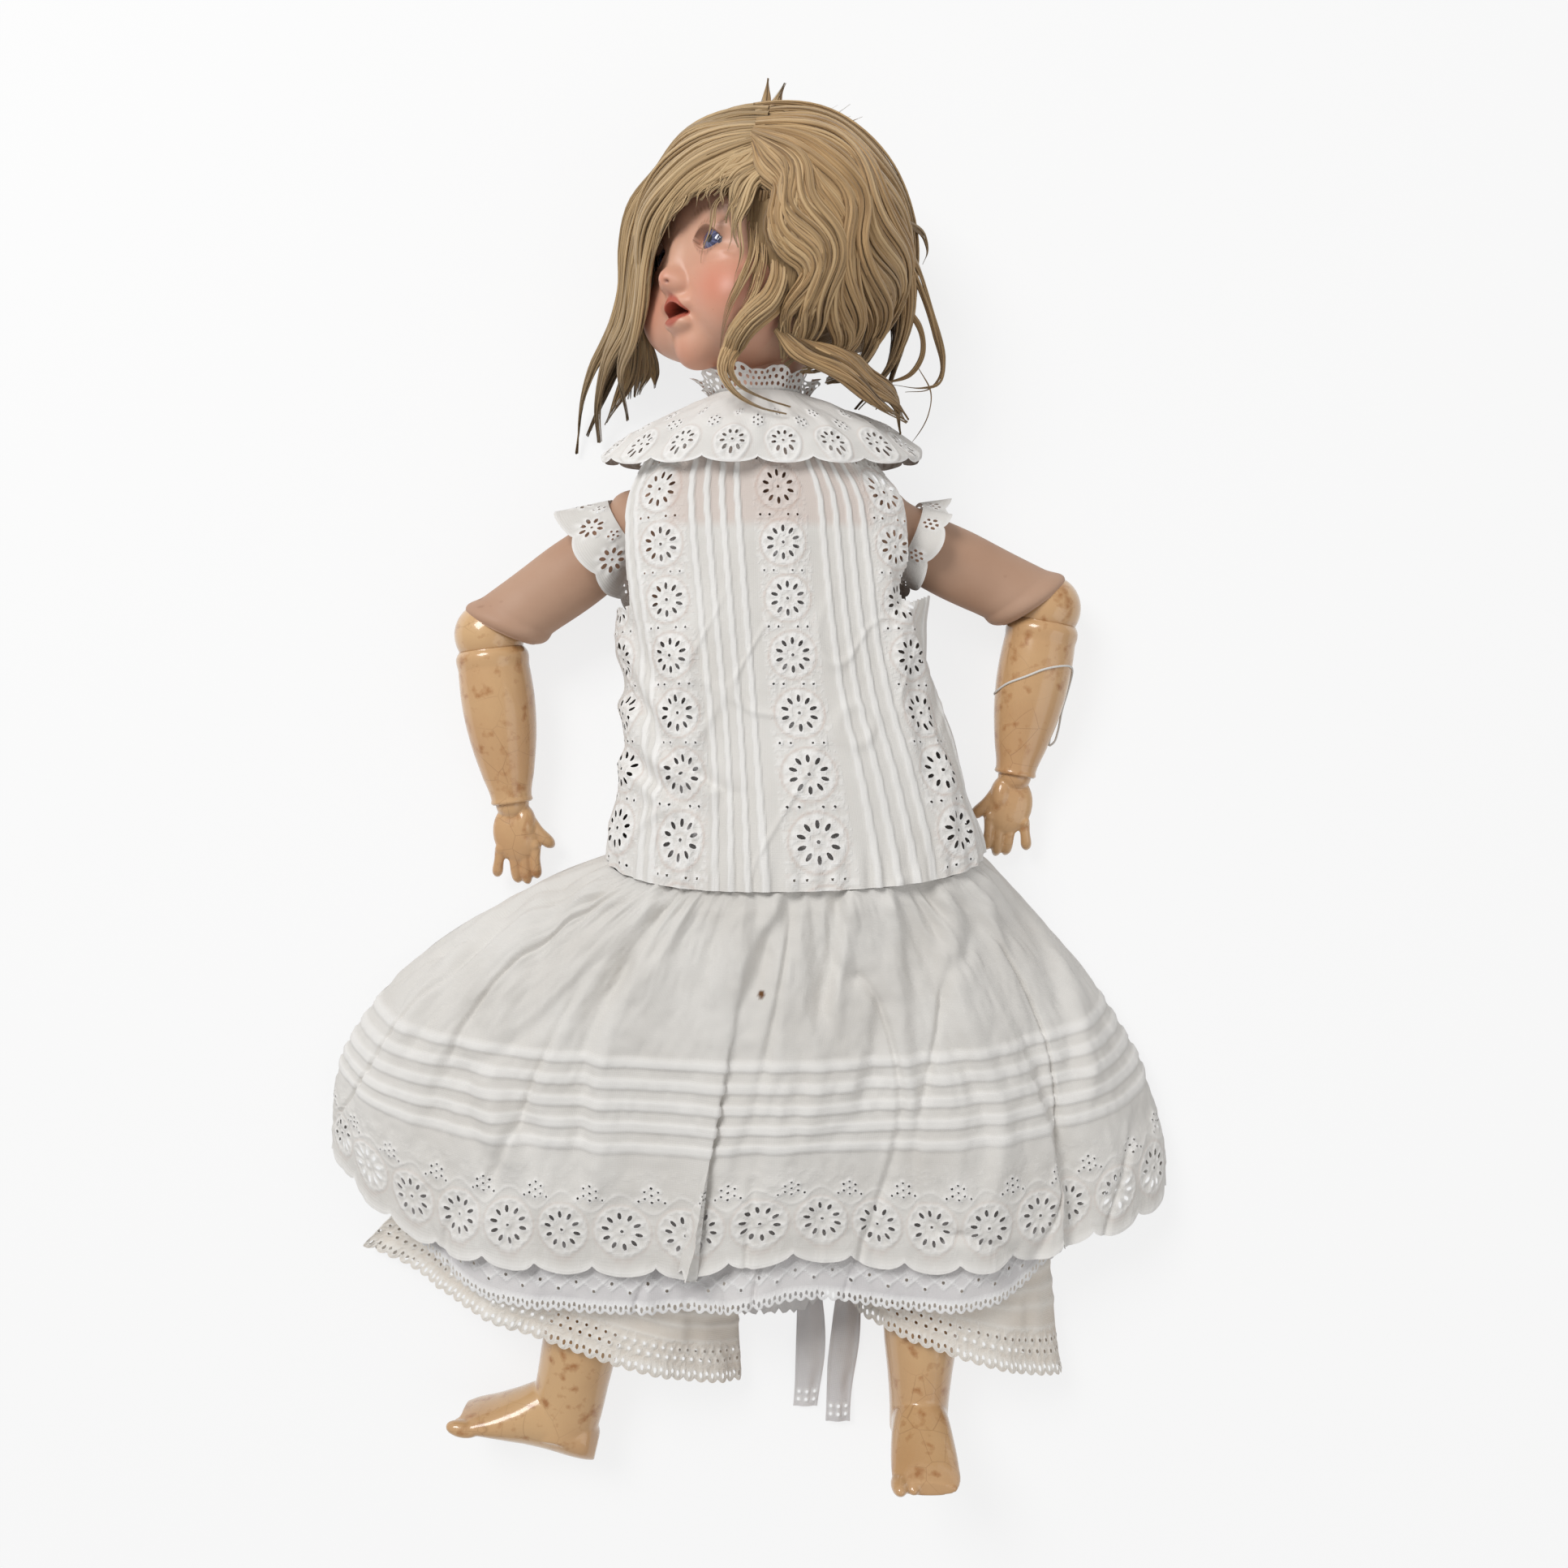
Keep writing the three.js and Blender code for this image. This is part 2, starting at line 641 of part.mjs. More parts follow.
function torsoLoops(inset, stations, angles) {
  return stations.map(([share]) => {
    const height = torsoTop - share * torsoLength;
    const y = THREE.MathUtils.clamp(height, torsoTop - torsoLength + inset, torsoTop - inset);
    const { halfWidth, halfDepth, centre } = torsoSection(height);
    const depth = halfDepth - inset;
    return ovalLoop(y, halfWidth - inset, depth, depth, point(0, 0, centre), angles);
  });
}

const shoulder = (side) => point(side * shoulderSpacing / 2, shoulderHeight, shoulderRise);
const hip = (side) => point(side * hipSpacing / 2, hipHeight, hipRise);
const neck = point(0, neckHeight, neckRise);
const hookLean = 9;
const hookDrop = 2.1 * neckBallRadius + elasticRadius;
const hookEnd = limbEnd(neck, hookDrop, headTilt, 0);

// A hollow moulded shell with a cup for each ball and a hole in each cup for its elastic
function makeTorso() {
  const outer = loft(torsoLoops(0, torsoStations, torsoAngles));
  const fewer = torsoStations.filter((station, i) => i % 2 === 0 || i === torsoStations.length - 1);
  let hollow = loft(torsoLoops(torsoWall, fewer, anglesRound(5, 5)));
  const headAngles = new THREE.Euler(0, radians(headTurn), radians(headTilt), 'ZYX');
  const headTurned = new THREE.Quaternion().setFromEuler(headAngles);
  const turned = ({ side, swing, dip }) => turnOf(side * swing, dip);
  const cups = [
    [neck, neckBallRadius, hookEnd, towards(1, 150), headTurned],
    ...[rightArm, leftArm].map((arm) => (
      [shoulder(arm.side), shoulderBallRadius, shoulder(-arm.side), towards(arm.side, 60), turned(arm)])),
    ...[rightLeg, leftLeg].map((leg) => (
      [hip(leg.side), hipBallRadius, hookEnd, towards(leg.side, 60), turned(leg)])),
  ];
  for (const [centre, radius] of cups) {
    hollow = hollow.subtract(ball(radius + fit + socketWall, centre, 8));
  }
  let shell = outer.subtract(hollow);
  for (const leg of [rightLeg, leftLeg]) {
    const end = limbEnd(hip(leg.side), 2 * hipBallRadius, leg.side * leg.swing, leg.dip);
    const room = rod(hipBallRadius + fit, hipBallRadius + thighRadius / 2, hip(leg.side), end, ballSides);
    shell = shell.subtract(room);
  }
  for (const { side, dip } of [rightArm, leftArm]) {
    for (const lift of [0, armLift]) {
      const end = limbEnd(shoulder(side), 3 * shoulderBallRadius, side * armHighest, dip - lift);
      shell = shell.subtract(rod(upperArmRadius, upperArmRadius, shoulder(side), end, ballSides));
    }
  }
  for (const [centre, radius, pull, corner, turn] of cups) {
    const reach = centre.clone().lerp(pull, Math.min(1, (2 * radius) / centre.distanceTo(pull)));
    const hole = centre === neck ? neckHoleRadius : elasticHole;
    shell = shell.subtract(socket(radius, centre, corner, turn));
    shell = shell.subtract(rod(hole, hole, centre, reach, 6));
  }
  addPiece(doll, 'torso', shell, mattePaint);
  const across = (side) => shoulder(side).add(point(-side * (hookRadius + fit), 0, 0));
  addPiece(doll, 'arm_elastic', rod(elasticRadius, elasticRadius, across(-1), across(1), 6), rubberCord);
  for (const [name, { side, swing }] of [['right_leg_elastic', rightLeg], ['left_leg_elastic', leftLeg]]) {
    const top = hookEnd.clone().add(point(side * (elasticRadius + fit), 0, 0));
    const end = hip(side).lerp(top, cordEnd(hookLean + swing) / hip(side).distanceTo(top));
    addPiece(doll, name, rod(elasticRadius, elasticRadius, top, end, 6), rubberCord);
  }
}

// How far short of a joint's centre each cord stops, so that the two ends just meet at that bend
const cordEnd = (bend) => elasticRadius * Math.tan(radians(bend / 2)) + fit / 2;

// A wide-mouthed recess from a ball's centre, so that the elastic is free as the joint moves
function recess(radius, direction, spread) {
  const reach = 1.1 * radius;
  const mouth = reach * Math.tan(radians(spread)) + elasticRadius;
  const start = direction.clone().setLength(-elasticRadius);
  return rod(2 * elasticRadius, mouth, start, direction.clone().setLength(reach), 10);
}

// Directions in the bend plane of an arm: 0 degrees runs back up the limb, positive to the inside
const inPlane = (side, degrees) => point(-side * Math.sin(radians(degrees)), Math.cos(radians(degrees)), 0);

const limbElastic = (start, end) => (
  rod(elasticRadius, elasticRadius, point(0, -start, 0), point(0, -end, 0), 6));

function limbBore(length) {
  return rod(elasticRadius + fit, elasticRadius + fit, origin, point(0, -length, 0), 6);
}

function makeArm({ side, swing, dip, foreSwing, foreDip }) {
  const name = side < 0 ? 'right' : 'left';
  const top = shoulder(side);
  const upper = place(new THREE.Group(), top, dip, 0, side * swing);
  const rimRadius = Math.sqrt(elbowBallRadius ** 2 - elbowSeat ** 2) + 1;
  const width = upperArmRadius;
  const depth = 0.86 * upperArmRadius;
  const elbow = point(0, -upperArmLength, 0);
  const sleeveEnd = upperArmLength - 0.5 * elbowSeat;
  const barrel = limb([
    [0.05 * upperArmLength, 0.8 * shoulderBallRadius, 0.8 * shoulderBallRadius],
    [0.2 * upperArmLength, 0.95 * width, depth],
    [0.45 * upperArmLength, width, depth],
    [0.7 * upperArmLength, 0.97 * width, 0.97 * depth],
    [sleeveEnd - 2 * elbowSeat, rimRadius + 0.4, rimRadius],
    [sleeveEnd + elbowSeat, rimRadius, rimRadius - 0.4],
  ]);
  const cutNormal = point(0, -1, 0).applyAxisAngle(point(0, 0, 1), -side * radians(elbowCutSlant));
  const cutAt = elbow.clone().addScaledVector(cutNormal, -elbowSeat);
  const elbowTurn = turnOf(side * (foreSwing - swing), foreDip - dip);
  const armRaise = armHighest - swing;
  const upperArm = barrel.add(ball(shoulderBallRadius))
    .subtract(beyond(cutAt, cutNormal))
    .subtract(socket(elbowBallRadius, elbow, towards(side, 90), elbowTurn))
    .subtract(recess(shoulderBallRadius, inPlane(side, 90 - swing - armRaise / 2), armRaise / 2 + 2))
    .subtract(ball(hookRadius + 4 * fit, origin, 8))
    .subtract(limbBore(upperArmLength));
  addPiece(upper, `${name}_upper_arm`, upperArm, mattePaint);
  const bend = cordEnd(swing - foreSwing);
  const armCord = limbElastic(hookRadius + fit, upperArmLength - bend);
  addPiece(upper, `${name}_upper_arm_elastic`, armCord, rubberCord);
  const hook = new THREE.TorusGeometry(hookRadius - elasticRadius / 2, elasticRadius / 2, 5, 12);
  addPiece(upper, `${name}_arm_hook`, solid(hook), steel);

  const elbowAt = limbEnd(top, upperArmLength, side * swing, dip);
  const lower = place(new THREE.Group(), elbowAt, foreDip, 0, side * foreSwing);
  const elbowBall = ball(elbowBallRadius)
    .subtract(recess(elbowBallRadius, inPlane(side, elbowMostBend / 2), elbowMostBend / 2 + 2))
    .subtract(limbBore(2 * elbowBallRadius));
  addPiece(lower, `${name}_elbow_ball`, elbowBall, varnish);
  const wrist = point(0, -forearmLength, 0);
  const forearm = limb([
    [elbowSeat, rimRadius, rimRadius],
    [0.2 * forearmLength, rimRadius + 0.8, rimRadius + 0.8],
    [0.38 * forearmLength, forearmRadius, 0.95 * forearmRadius],
    [0.6 * forearmLength, 0.88 * forearmRadius, 0.82 * forearmRadius],
    [0.82 * forearmLength, 0.64 * forearmRadius, 0.62 * forearmRadius],
    [forearmLength, wristRadius, wristRadius],
  ]).subtract(socket(elbowBallRadius, origin, towards(side, 150)))
    .subtract(socket(wristBallRadius, wrist, towards(side, 36)))
    .subtract(limbBore(forearmLength));
  addPiece(lower, `${name}_forearm`, forearm, varnish);
  addPiece(lower, `${name}_forearm_elastic`, limbElastic(bend, forearmLength), rubberCord);

  const hand = new THREE.Group();
  hand.position.copy(wrist);
  lower.add(hand);
  addPiece(hand, `${name}_hand`, makeHand(side), varnish);
}

// A palm with four separate fingers and a thumb, all slightly curled towards the table
function makeHand(side) {
  const palmCentre = point(0, -0.62 * palmLength, 0);
  const palmSize = point(palmWidth / 2, 0.62 * palmLength, palmThickness / 2);
  let hand = ball(wristBallRadius, origin, 10).add(ellipsoid(palmSize, palmCentre, 10));
  const finger = (root, spread, length, radius) => {
    const lean = radians(spread);
    const ahead = (share, drop) => root.clone().add(
      point(Math.sin(lean) * length * share, -Math.cos(lean) * length * share, -drop * length));
    const curve = new THREE.CatmullRomCurve3([root, ahead(0.5, 0.02), ahead(0.85, 0.16), ahead(1, 0.34)]);
    return taperedTube(curve, radius, 0.75 * radius, 5, 3);
  };
  const lengths = [0.9, 1, 0.96, 0.78];
  lengths.forEach((share, i) => {
    const across = (i - 1.5) / 1.5;
    const root = point(side * across * 0.36 * palmWidth, -0.95 * palmLength, 0);
    hand = hand.add(finger(root, side * across * 13, share * fingerLength, fingerRadius));
  });
  const thumbRoot = point(-side * 0.3 * palmWidth, -0.4 * palmLength, 0);
  hand = hand.add(finger(thumbRoot, -side * 48, fingerLength, 1.15 * fingerRadius));
  const boreTop = point(0, 2 * wristBallRadius, 0);
  return hand.subtract(rod(elasticRadius + fit, elasticRadius + fit, boreTop, point(0, -2 * fit, 0), 6));
}

function makeLeg({ side, swing, dip, shinSwing, turnOut }) {
  const name = side < 0 ? 'right' : 'left';
  const top = hip(side);
  const upper = place(new THREE.Group(), top, dip, 0, side * swing);
  const rimRadius = Math.sqrt(kneeBallRadius ** 2 - kneeSeat ** 2) + 1;
  const knee = point(0, -thighLength, 0);
  const pullLean = hookLean - (swing + legWidest) / 2;
  const thigh = limb([
    [0.06 * thighLength, 0.9 * hipBallRadius, 0.9 * hipBallRadius],
    [0.16 * thighLength, 0.97 * thighRadius, 0.97 * thighRadius],
    [0.32 * thighLength, thighRadius, thighRadius],
    [0.6 * thighLength, 0.92 * thighRadius, 0.92 * thighRadius],
    [0.85 * thighLength, rimRadius + 0.5, rimRadius + 0.5],
    [thighLength - kneeSeat, rimRadius, rimRadius],
  ]).add(ball(hipBallRadius))
    .subtract(socket(kneeBallRadius, knee, towards(-side, 30), turnOf(side * (shinSwing - swing), 0)))
    .subtract(recess(hipBallRadius, inPlane(side, pullLean), legWidest - swing + 2))
    .subtract(limbBore(thighLength));
  addPiece(upper, `${name}_thigh`, thigh, mattePaint);
  const bend = cordEnd(swing - shinSwing);
  const thighCord = limbElastic(cordEnd(hookLean + swing), thighLength - bend);
  addPiece(upper, `${name}_thigh_elastic`, thighCord, rubberCord);

  const kneeAt = limbEnd(top, thighLength, side * swing, dip);
  const lower = place(new THREE.Group(), kneeAt, dip, 0, side * shinSwing);
  const kneeBall = ball(kneeBallRadius)
    .subtract(recess(kneeBallRadius, inPlane(side, kneeMostBend / 2), kneeMostBend / 2 + 4))
    .subtract(limbBore(2 * kneeBallRadius));
  addPiece(lower, `${name}_knee_ball`, kneeBall, varnish);
  const shin = new THREE.Group();
  shin.rotation.y = side * radians(turnOut);
  lower.add(shin);
  addPiece(shin, `${name}_lower_leg`, makeLowerLeg(side, rimRadius), varnish);
  addPiece(lower, `${name}_shin_elastic`, limbElastic(bend, 0.8 * shinLength - fit), rubberCord);
}

// Plump calf, narrow ankle and a short broad foot with five toes
function makeLowerLeg(side, rimRadius) {
  const calf = limb([
    [kneeSeat, rimRadius, rimRadius],
    [0.12 * shinLength, rimRadius + 0.4, rimRadius + 0.4],
    [0.3 * shinLength, calfRadius, calfRadius, -0.02 * calfRadius],
    [0.5 * shinLength, 0.98 * calfRadius, 0.97 * calfRadius, -0.02 * calfRadius],
    [0.72 * shinLength, 0.83 * calfRadius, 0.86 * calfRadius],
    [0.92 * shinLength, 1.02 * ankleRadius, 1.1 * ankleRadius],
    [shinLength, ankleRadius, 1.15 * ankleRadius],
    [shinLength + 0.5 * soleDrop, 1.05 * ankleRadius, 1.3 * ankleRadius, 1],
  ]);
  const sole = shinLength + soleDrop;
  const footStations = [
    [0, 0.3, 0.5],
    [0.04, 0.56, 0.78],
    [0.16, 0.8, 1],
    [0.34, 0.86, 1.02],
    [0.55, 0.93, 0.86],
    [0.75, 1, 0.66],
    [0.9, 0.94, 0.5],
    [0.97, 0.7, 0.36],
  ];
  const foot = loft(footStations.map(([share, width, height]) => {
    const forward = share * footLength - heelReach;
    const halfWidth = 0.5 * width * footWidth;
    const rise = 0.5 * height * soleDrop;
    return anglesRound(6, 6).map((angle) => {
      const up = Math.sin(angle) > 0 ? Math.sin(angle) * 1.1 : Math.sin(angle) * 0.9;
      return point(Math.cos(angle) * halfWidth, rise * (1 + up) - sole, forward);
    });
  }));
  let leg = calf.add(foot);
  const toeCount = 5;
  for (let i = 0; i < toeCount; i++) {
    const across = (i / (toeCount - 1) - 0.5) * 0.78 * footWidth;
    const big = i === 0 ? 1.35 : 1 - 0.06 * i;
    const size = point(0.1 * footWidth, 0.12 * footWidth, 0.17 * footWidth).multiplyScalar(big);
    const forward = (0.99 - 0.035 * i) * footLength - heelReach;
    const at = point(side * across, size.y - sole, forward - size.z / 2);
    leg = leg.add(ellipsoid(size, at, 6));
  }
  return leg
    .subtract(socket(kneeBallRadius, origin, towards(side, 150)))
    .subtract(limbBore(0.8 * shinLength));
}

// Ease of the bodice beside the torso at the doll's right, its left and its front, from the neck down
const bodiceEase = [
  [0, 2, 2, 2],
  [0.1, 4, 5, 3],
  [0.2, 8, 16, 3],
  [0.33, 10, 20, 3],
  [0.6, 14, 32, 3.5],
  [0.84, 10, 44, 4],
  [1, 13, 47, 4],
];
const bodiceAngles = anglesRound(18, 10);
const skirtBack = backFloor - fit - cotton;

// Where the skirt laps over itself, from the doll's left to its right: each lap's place at the seam
// and at the hem as a share of the half width, its height, and the columns up to it from the last
const skirtLaps = [
  { atSeam: 0.72, atHem: 0.72, height: 6, columns: 5 },
  { atSeam: -0.02, atHem: -0.15, height: 7, columns: 10 },
];
const skirtLastColumns = 11;

function bodiceLoop(share, angles = bodiceAngles) {
  const y = bodiceTop - share * (bodiceTop - bodiceHem);
  const [easeRight, easeLeft, easeFront] = between(bodiceEase, share);
  const { halfWidth, halfDepth, centre } = torsoSection(y);
  const lies = y < shoulderHeight + shoulderBallRadius / 2;
  const back = lies ? -pressedFlat : centre - halfDepth - 2 * cotton - fit;
  return angles.map((angle) => {
    const ease = Math.cos(angle) > 0 ? easeLeft : easeRight;
    const width = bent(Math.cos(angle), 0.85);
    const round = Math.abs(Math.sin(angle)) ** 0.85;
    const x = width * (halfWidth + ease);
    if (angle >= Math.PI) return point(x, y, centre - Math.min(1, 1.3 * round) ** 0.6 * (centre - back));
    const dip = bodiceFrontDip * share ** 6 * Math.sin(angle);
    return point(x, y - dip, centre + round * (halfDepth + easeFront + 2 * cotton + 2 * fit));
  });
}

// Everything lower than a height over the table
const below = (height) => beyond(point(0, 0, height), point(0, 0, -1), 900);

function makeBodice() {
  const shares = [0, 0.06, 0.13, 0.22, 0.5, 1];
  let bodice = clothTube(shares.map((share) => bodiceLoop(share))).subtract(below(0));
  for (const side of [-1, 1]) {
    const low = shoulder(side).add(point(0, 0, -armholeHalfHeight));
    const high = shoulder(side).add(point(0, 0, armholeHalfHeight));
    bodice = bodice.subtract(rod(armholeReach, armholeReach, low, high, 20));
  }
  addPiece(doll, 'bodice', bodice, whiteCotton);
}

// How far the skirt reaches to one side, and how round its outline is, by its share of length
function skirtSpread(toLeft, share) {
  const seam = bodiceLoop(1).map((p) => p.x);
  const settled = 1 - Math.max(1 - share, 0) ** (toLeft ? skirtFlareLeft : skirtFlareRight);
  const left = Math.max(...seam) + skirtSpreadLeft * settled;
  const right = -Math.min(...seam) + skirtSpreadRight * settled;
  return [toLeft ? left : right, 0.85 + 0.15 * settled];
}

const lapPlace = ({ atSeam, atHem }, share) => (
  (atSeam + (atHem - atSeam) * share) * skirtSpread(atSeam > 0, share)[0]);

// The columns of the skirt in one loop: two at each lap, and the rest spread evenly between them
function skirtAngles(share) {
  const angleAt = (x) => {
    const [reach, power] = skirtSpread(x > 0, share);
    return Math.acos(bent(x / reach, 1 / power));
  };
  const angles = [];
  let from = 0;
  const spreadTo = (to, count) => {
    for (let i = 0; i < count; i++) angles.push(from + ((to - from) * i) / count);
    from = to;
  };
  for (const lap of skirtLaps) {
    const place = lapPlace(lap, share);
    spreadTo(angleAt(place + 0.6 * lapReach), lap.columns);
    spreadTo(angleAt(place - 0.6 * lapReach), 2);
  }
  spreadTo(Math.PI, skirtLastColumns);
  spreadTo(2 * Math.PI, 8);
  return angles;
}

// How far the cloth stands up on the doll's right of a lap and sinks on its left
function lapHeight(x, share) {
  const grown = THREE.MathUtils.smoothstep(share, 0, 1);
  let height = 0;
  for (const lap of skirtLaps) {
    const beside = (x - lapPlace(lap, share)) / lapReach;
    height -= lap.height * grown * Math.tanh(3 * beside) * Math.exp(-(beside ** 2));
  }
  return height;
}

// The skirt's form: how far it spreads, rises and falls in folds, by its share of length
function skirtPoint(angle, share, tail = 0) {
  const top = Math.max(...bodiceLoop(1).map((p) => p.z));
  const [reach, power] = skirtSpread(Math.cos(angle) > 0, share);
  const x = bent(Math.cos(angle), power) * reach;
  const start = bodiceHem - fit;
  const down = skirtLength * share;
  if (angle >= Math.PI) {
    const round = Math.abs(Math.sin(angle)) ** 0.5;
    const edge = skirtEdge + (torsoCentre - skirtEdge) * (1 - Math.min(1, share * 4)) ** 2;
    const flap = tail * Math.exp(-((x / 48) ** 4)) * Math.max(0, share - 0.8) / 0.33;
    return point(x, start - down - flap, edge * (1 - round) + skirtBack);
  }
  const front = Math.sin(angle);
  const edge = skirtEdge + (torsoCentre - skirtEdge) * (1 - Math.min(1, share * 4)) ** 2;
  const height = top + (skirtHemHeight - top) * Math.min(share, 1);
  const waves = foldDepth * 0.5 * Math.min(share * 1.6, 1) * Math.cos(foldCount * 2 * angle);
  const folds = (waves + lapHeight(x, share)) * front;
  const rise = edge + (height - edge) * front ** (0.85 + 0.1 * share) + folds + skirtBack * (1 - front);
  const dip = (bodiceFrontDip + skirtFrontExtra * share) * front;
  return point(x, start - down - dip, rise);
}

const skirtShares = [0, 0.1, 0.27, 0.5, 0.75, 1];

function makeSkirts() {
  const skirt = skirtShares.map((share) => skirtAngles(share).map((angle) => skirtPoint(angle, share)));
  addPiece(doll, 'skirt', clothTube(skirt).subtract(below(fit)), whiteCotton);
  const petticoatEnd = 1 + petticoatShows;
  const inset = cotton + fit;
  const bandLoop = (y, dip) => {
    const { halfWidth, halfDepth, centre } = torsoSection(y);
    const grow = 2 * (cotton + fit) + bandEase;
    const [width, front, back] = [halfWidth + grow, halfDepth + grow, centre - backFloor];
    const loop = ovalLoop(y, width, front, back, point(0, 0, centre), skirtAngles(0), 0.9);
    return loop.map((p) => p.setY(y - dip * Math.max(0, p.z - centre) / halfDepth));
  };
  const band = [bandLoop(drawersTop - 2 * cotton, 0), bandLoop(bodiceHem - fit, bodiceFrontDip)];
  const fall = [...skirtShares.slice(1), petticoatEnd].map((share) => (
    skirtAngles(share).map((angle) => skirtPoint(angle, share, petticoatTail))));
  const normals = outwards(fall);
  const hung = fall.map((loop, row) => loop.map(
    (p, i) => p.clone().addScaledVector(normals[row][i], -inset)));
  addPiece(doll, 'petticoat', clothTube([...band, ...hung]), whiteCotton);
  const hem = bodiceHem - skirtLength * petticoatEnd;
  makeTie('right_tie', tieSpacing, tieLength, hem);
  makeTie('left_tie', 2 * tieSpacing, tieLength + 6, hem);
}

// A loose cotton tie that lies over the petticoat's tail and then down on the table
function makeTie(name, x, length, hem) {
  const strip = new THREE.BoxGeometry(tieWidth, length, cotton, 2, 8, 1);
  const corners = strip.attributes.position;
  const top = hem - tieStart;
  for (let i = 0; i < corners.count; i++) {
    const y = top - length / 2 + corners.getY(i);
    const past = THREE.MathUtils.clamp((hem - petticoatTail - y) / tieWidth + 0.6, 0, 1);
    const rise = (backFloor + cotton + fit) * (1 - past) + past * (1 + Math.cos(corners.getX(i) * 0.4));
    corners.setXYZ(i, x + corners.getX(i), y, fit + cotton / 2 + rise + corners.getZ(i));
  }
  addPiece(doll, name, solid(strip), whiteCotton);
}

// Knee-length drawers: a seat round the hips and a wide leg round each thigh and knee
function makeDrawers() {
  const grow = cotton + fit;
  const stationHeights = torsoStations.map(([share]) => torsoTop - share * torsoLength);
  const seatHeights = [drawersTop, ...stationHeights.filter((y) => y < drawersTop && y > hipHeight + 8)];
  const seat = seatHeights.map((y) => {
    const { halfWidth, halfDepth, centre } = torsoSection(y);
    const depth = halfDepth + grow;
    return ovalLoop(y, halfWidth + grow, depth, depth, point(0, 0, centre), torsoAngles);
  });
  const crotch = torsoTop - torsoLength - fit - cotton;
  const middle = point(0, 0, torsoCentre);
  const hips = hipHalfWidth + 0.4 * crotchEase;
  seat.push(ovalLoop(hipHeight, hips, torsoHalfDepth, torsoHalfDepth, middle, torsoAngles, 0.85));
  const [low, front, back] = [hipHalfWidth + crotchEase, 0.78 * torsoHalfDepth, 0.94 * torsoHalfDepth];
  seat.push(ovalLoop(crotch, low, front, back, middle, torsoAngles, 0.75));
  addPiece(doll, 'drawers_seat', clothTube(seat), creamCotton);
  makeDrawersLeg('right_drawers_leg', rightLeg, crotch - 2 * fit);
  makeDrawersLeg('left_drawers_leg', leftLeg, crotch - 2 * fit);
}

function makeDrawersLeg(name, { side, swing, dip, shinSwing, hemOuter, hemInner }, top) {
  const floor = backFloor + cotton + 3 * fit;
  const hemEdge = 6;
  const start = (hipHeight - top) / Math.cos(radians(swing));
  const loops = [0, 0.18, 0.42, 0.7, 1].map((share) => {
    const along = start + share * (drawersLength - start);
    const knee = limbEnd(hip(side), Math.min(along, thighLength), side * swing, dip);
    const at = limbEnd(knee, Math.max(0, along - thighLength), side * shinSwing, dip);
    const cross = side * radians(swing) * Math.min(1, share / 0.33);
    const outer = thighRadius + 7 + (hemOuter - thighRadius - 7) * share ** 1.3;
    const inner = thighRadius + 3 + (hemInner - thighRadius - 3) * share;
    const middle = at.z + (floor + hemEdge - at.z) * Math.min(1, 1.2 * share);
    const rise = at.z + thighRadius + (calfRadius - thighRadius) * share + 4 - middle;
    return anglesRound(14, 8).map((angle) => {
      const reach = bent(Math.cos(angle), 0.85) * (Math.cos(angle) > 0 ? outer : inner);
      const x = at.x + side * reach * Math.cos(cross);
      const y = at.y + side * reach * Math.sin(cross);
      const beside = Math.max(Math.abs(reach) - 1.7 * thighRadius, 0) / (2 * thighRadius);
      const lift = Math.sin(angle) > 0 ? rise * Math.sin(angle) ** 0.85 * Math.exp(-(beside ** 2)) : 0;
      const sag = Math.sin(angle) < 0 ? (middle - floor) * Math.abs(Math.sin(angle)) ** 0.6 : 0;
      return point(x, y, middle + lift - sag);
    });
  });
  addPiece(doll, name, clothTube(loops), creamCotton);
}

// A cape collar with a scalloped edge, and a small standing frill round the neck
function makeCollar() {
  const around = 36;
  const start = torsoTop + collarStand;
  const rows = [
    [0, 0.32, 23, 24, 1],
    [0.45, 0.72, 40, 38, 0.55],
    [1, 1, 48, 42.5, 0],
  ];
  const loops = rows.map(([share, width, front, back, rise]) => Array.from({ length: around }, (_, i) => {
    const angle = (2 * Math.PI * i) / around;
    const centre = torsoCentre + rise * (neckRise - torsoCentre);
    const sin = Math.sin(angle);
    const scallop = share * scallopDepth * Math.abs(Math.sin((angle * scallopCount) / 2));
    const drop = sin > 0 ? collarFrontDrop : 0.9 * collarFrontDrop;
    const fall = drop * Math.abs(sin) ** 0.8 + collarSideDrop * (1 - Math.abs(sin));
    const side = Math.sign(Math.cos(angle)) * Math.abs(Math.cos(angle)) ** 0.85;
    const depth = Math.sign(sin) * Math.abs(sin) ** 0.85 * (sin > 0 ? front : back);
    return point(side * width * collarHalfWidth, start - share * fall - scallop, centre + depth);
  }));
  addPiece(doll, 'collar', clothTube(loops), whiteCotton);
  const frill = [0, 1].map((share) => Array.from({ length: 30 }, (_, i) => {
    const angle = (2 * Math.PI * i) / 30;
    const radius = neckBallRadius + 3 + share * 8 + share * 1.6 * Math.cos(10 * angle);
    return point(radius * Math.cos(angle), start + fit + 4 * share, neckRise + radius * Math.sin(angle));
  }));
  addPiece(doll, 'neck_frill', clothTube(frill), whiteCotton);
}

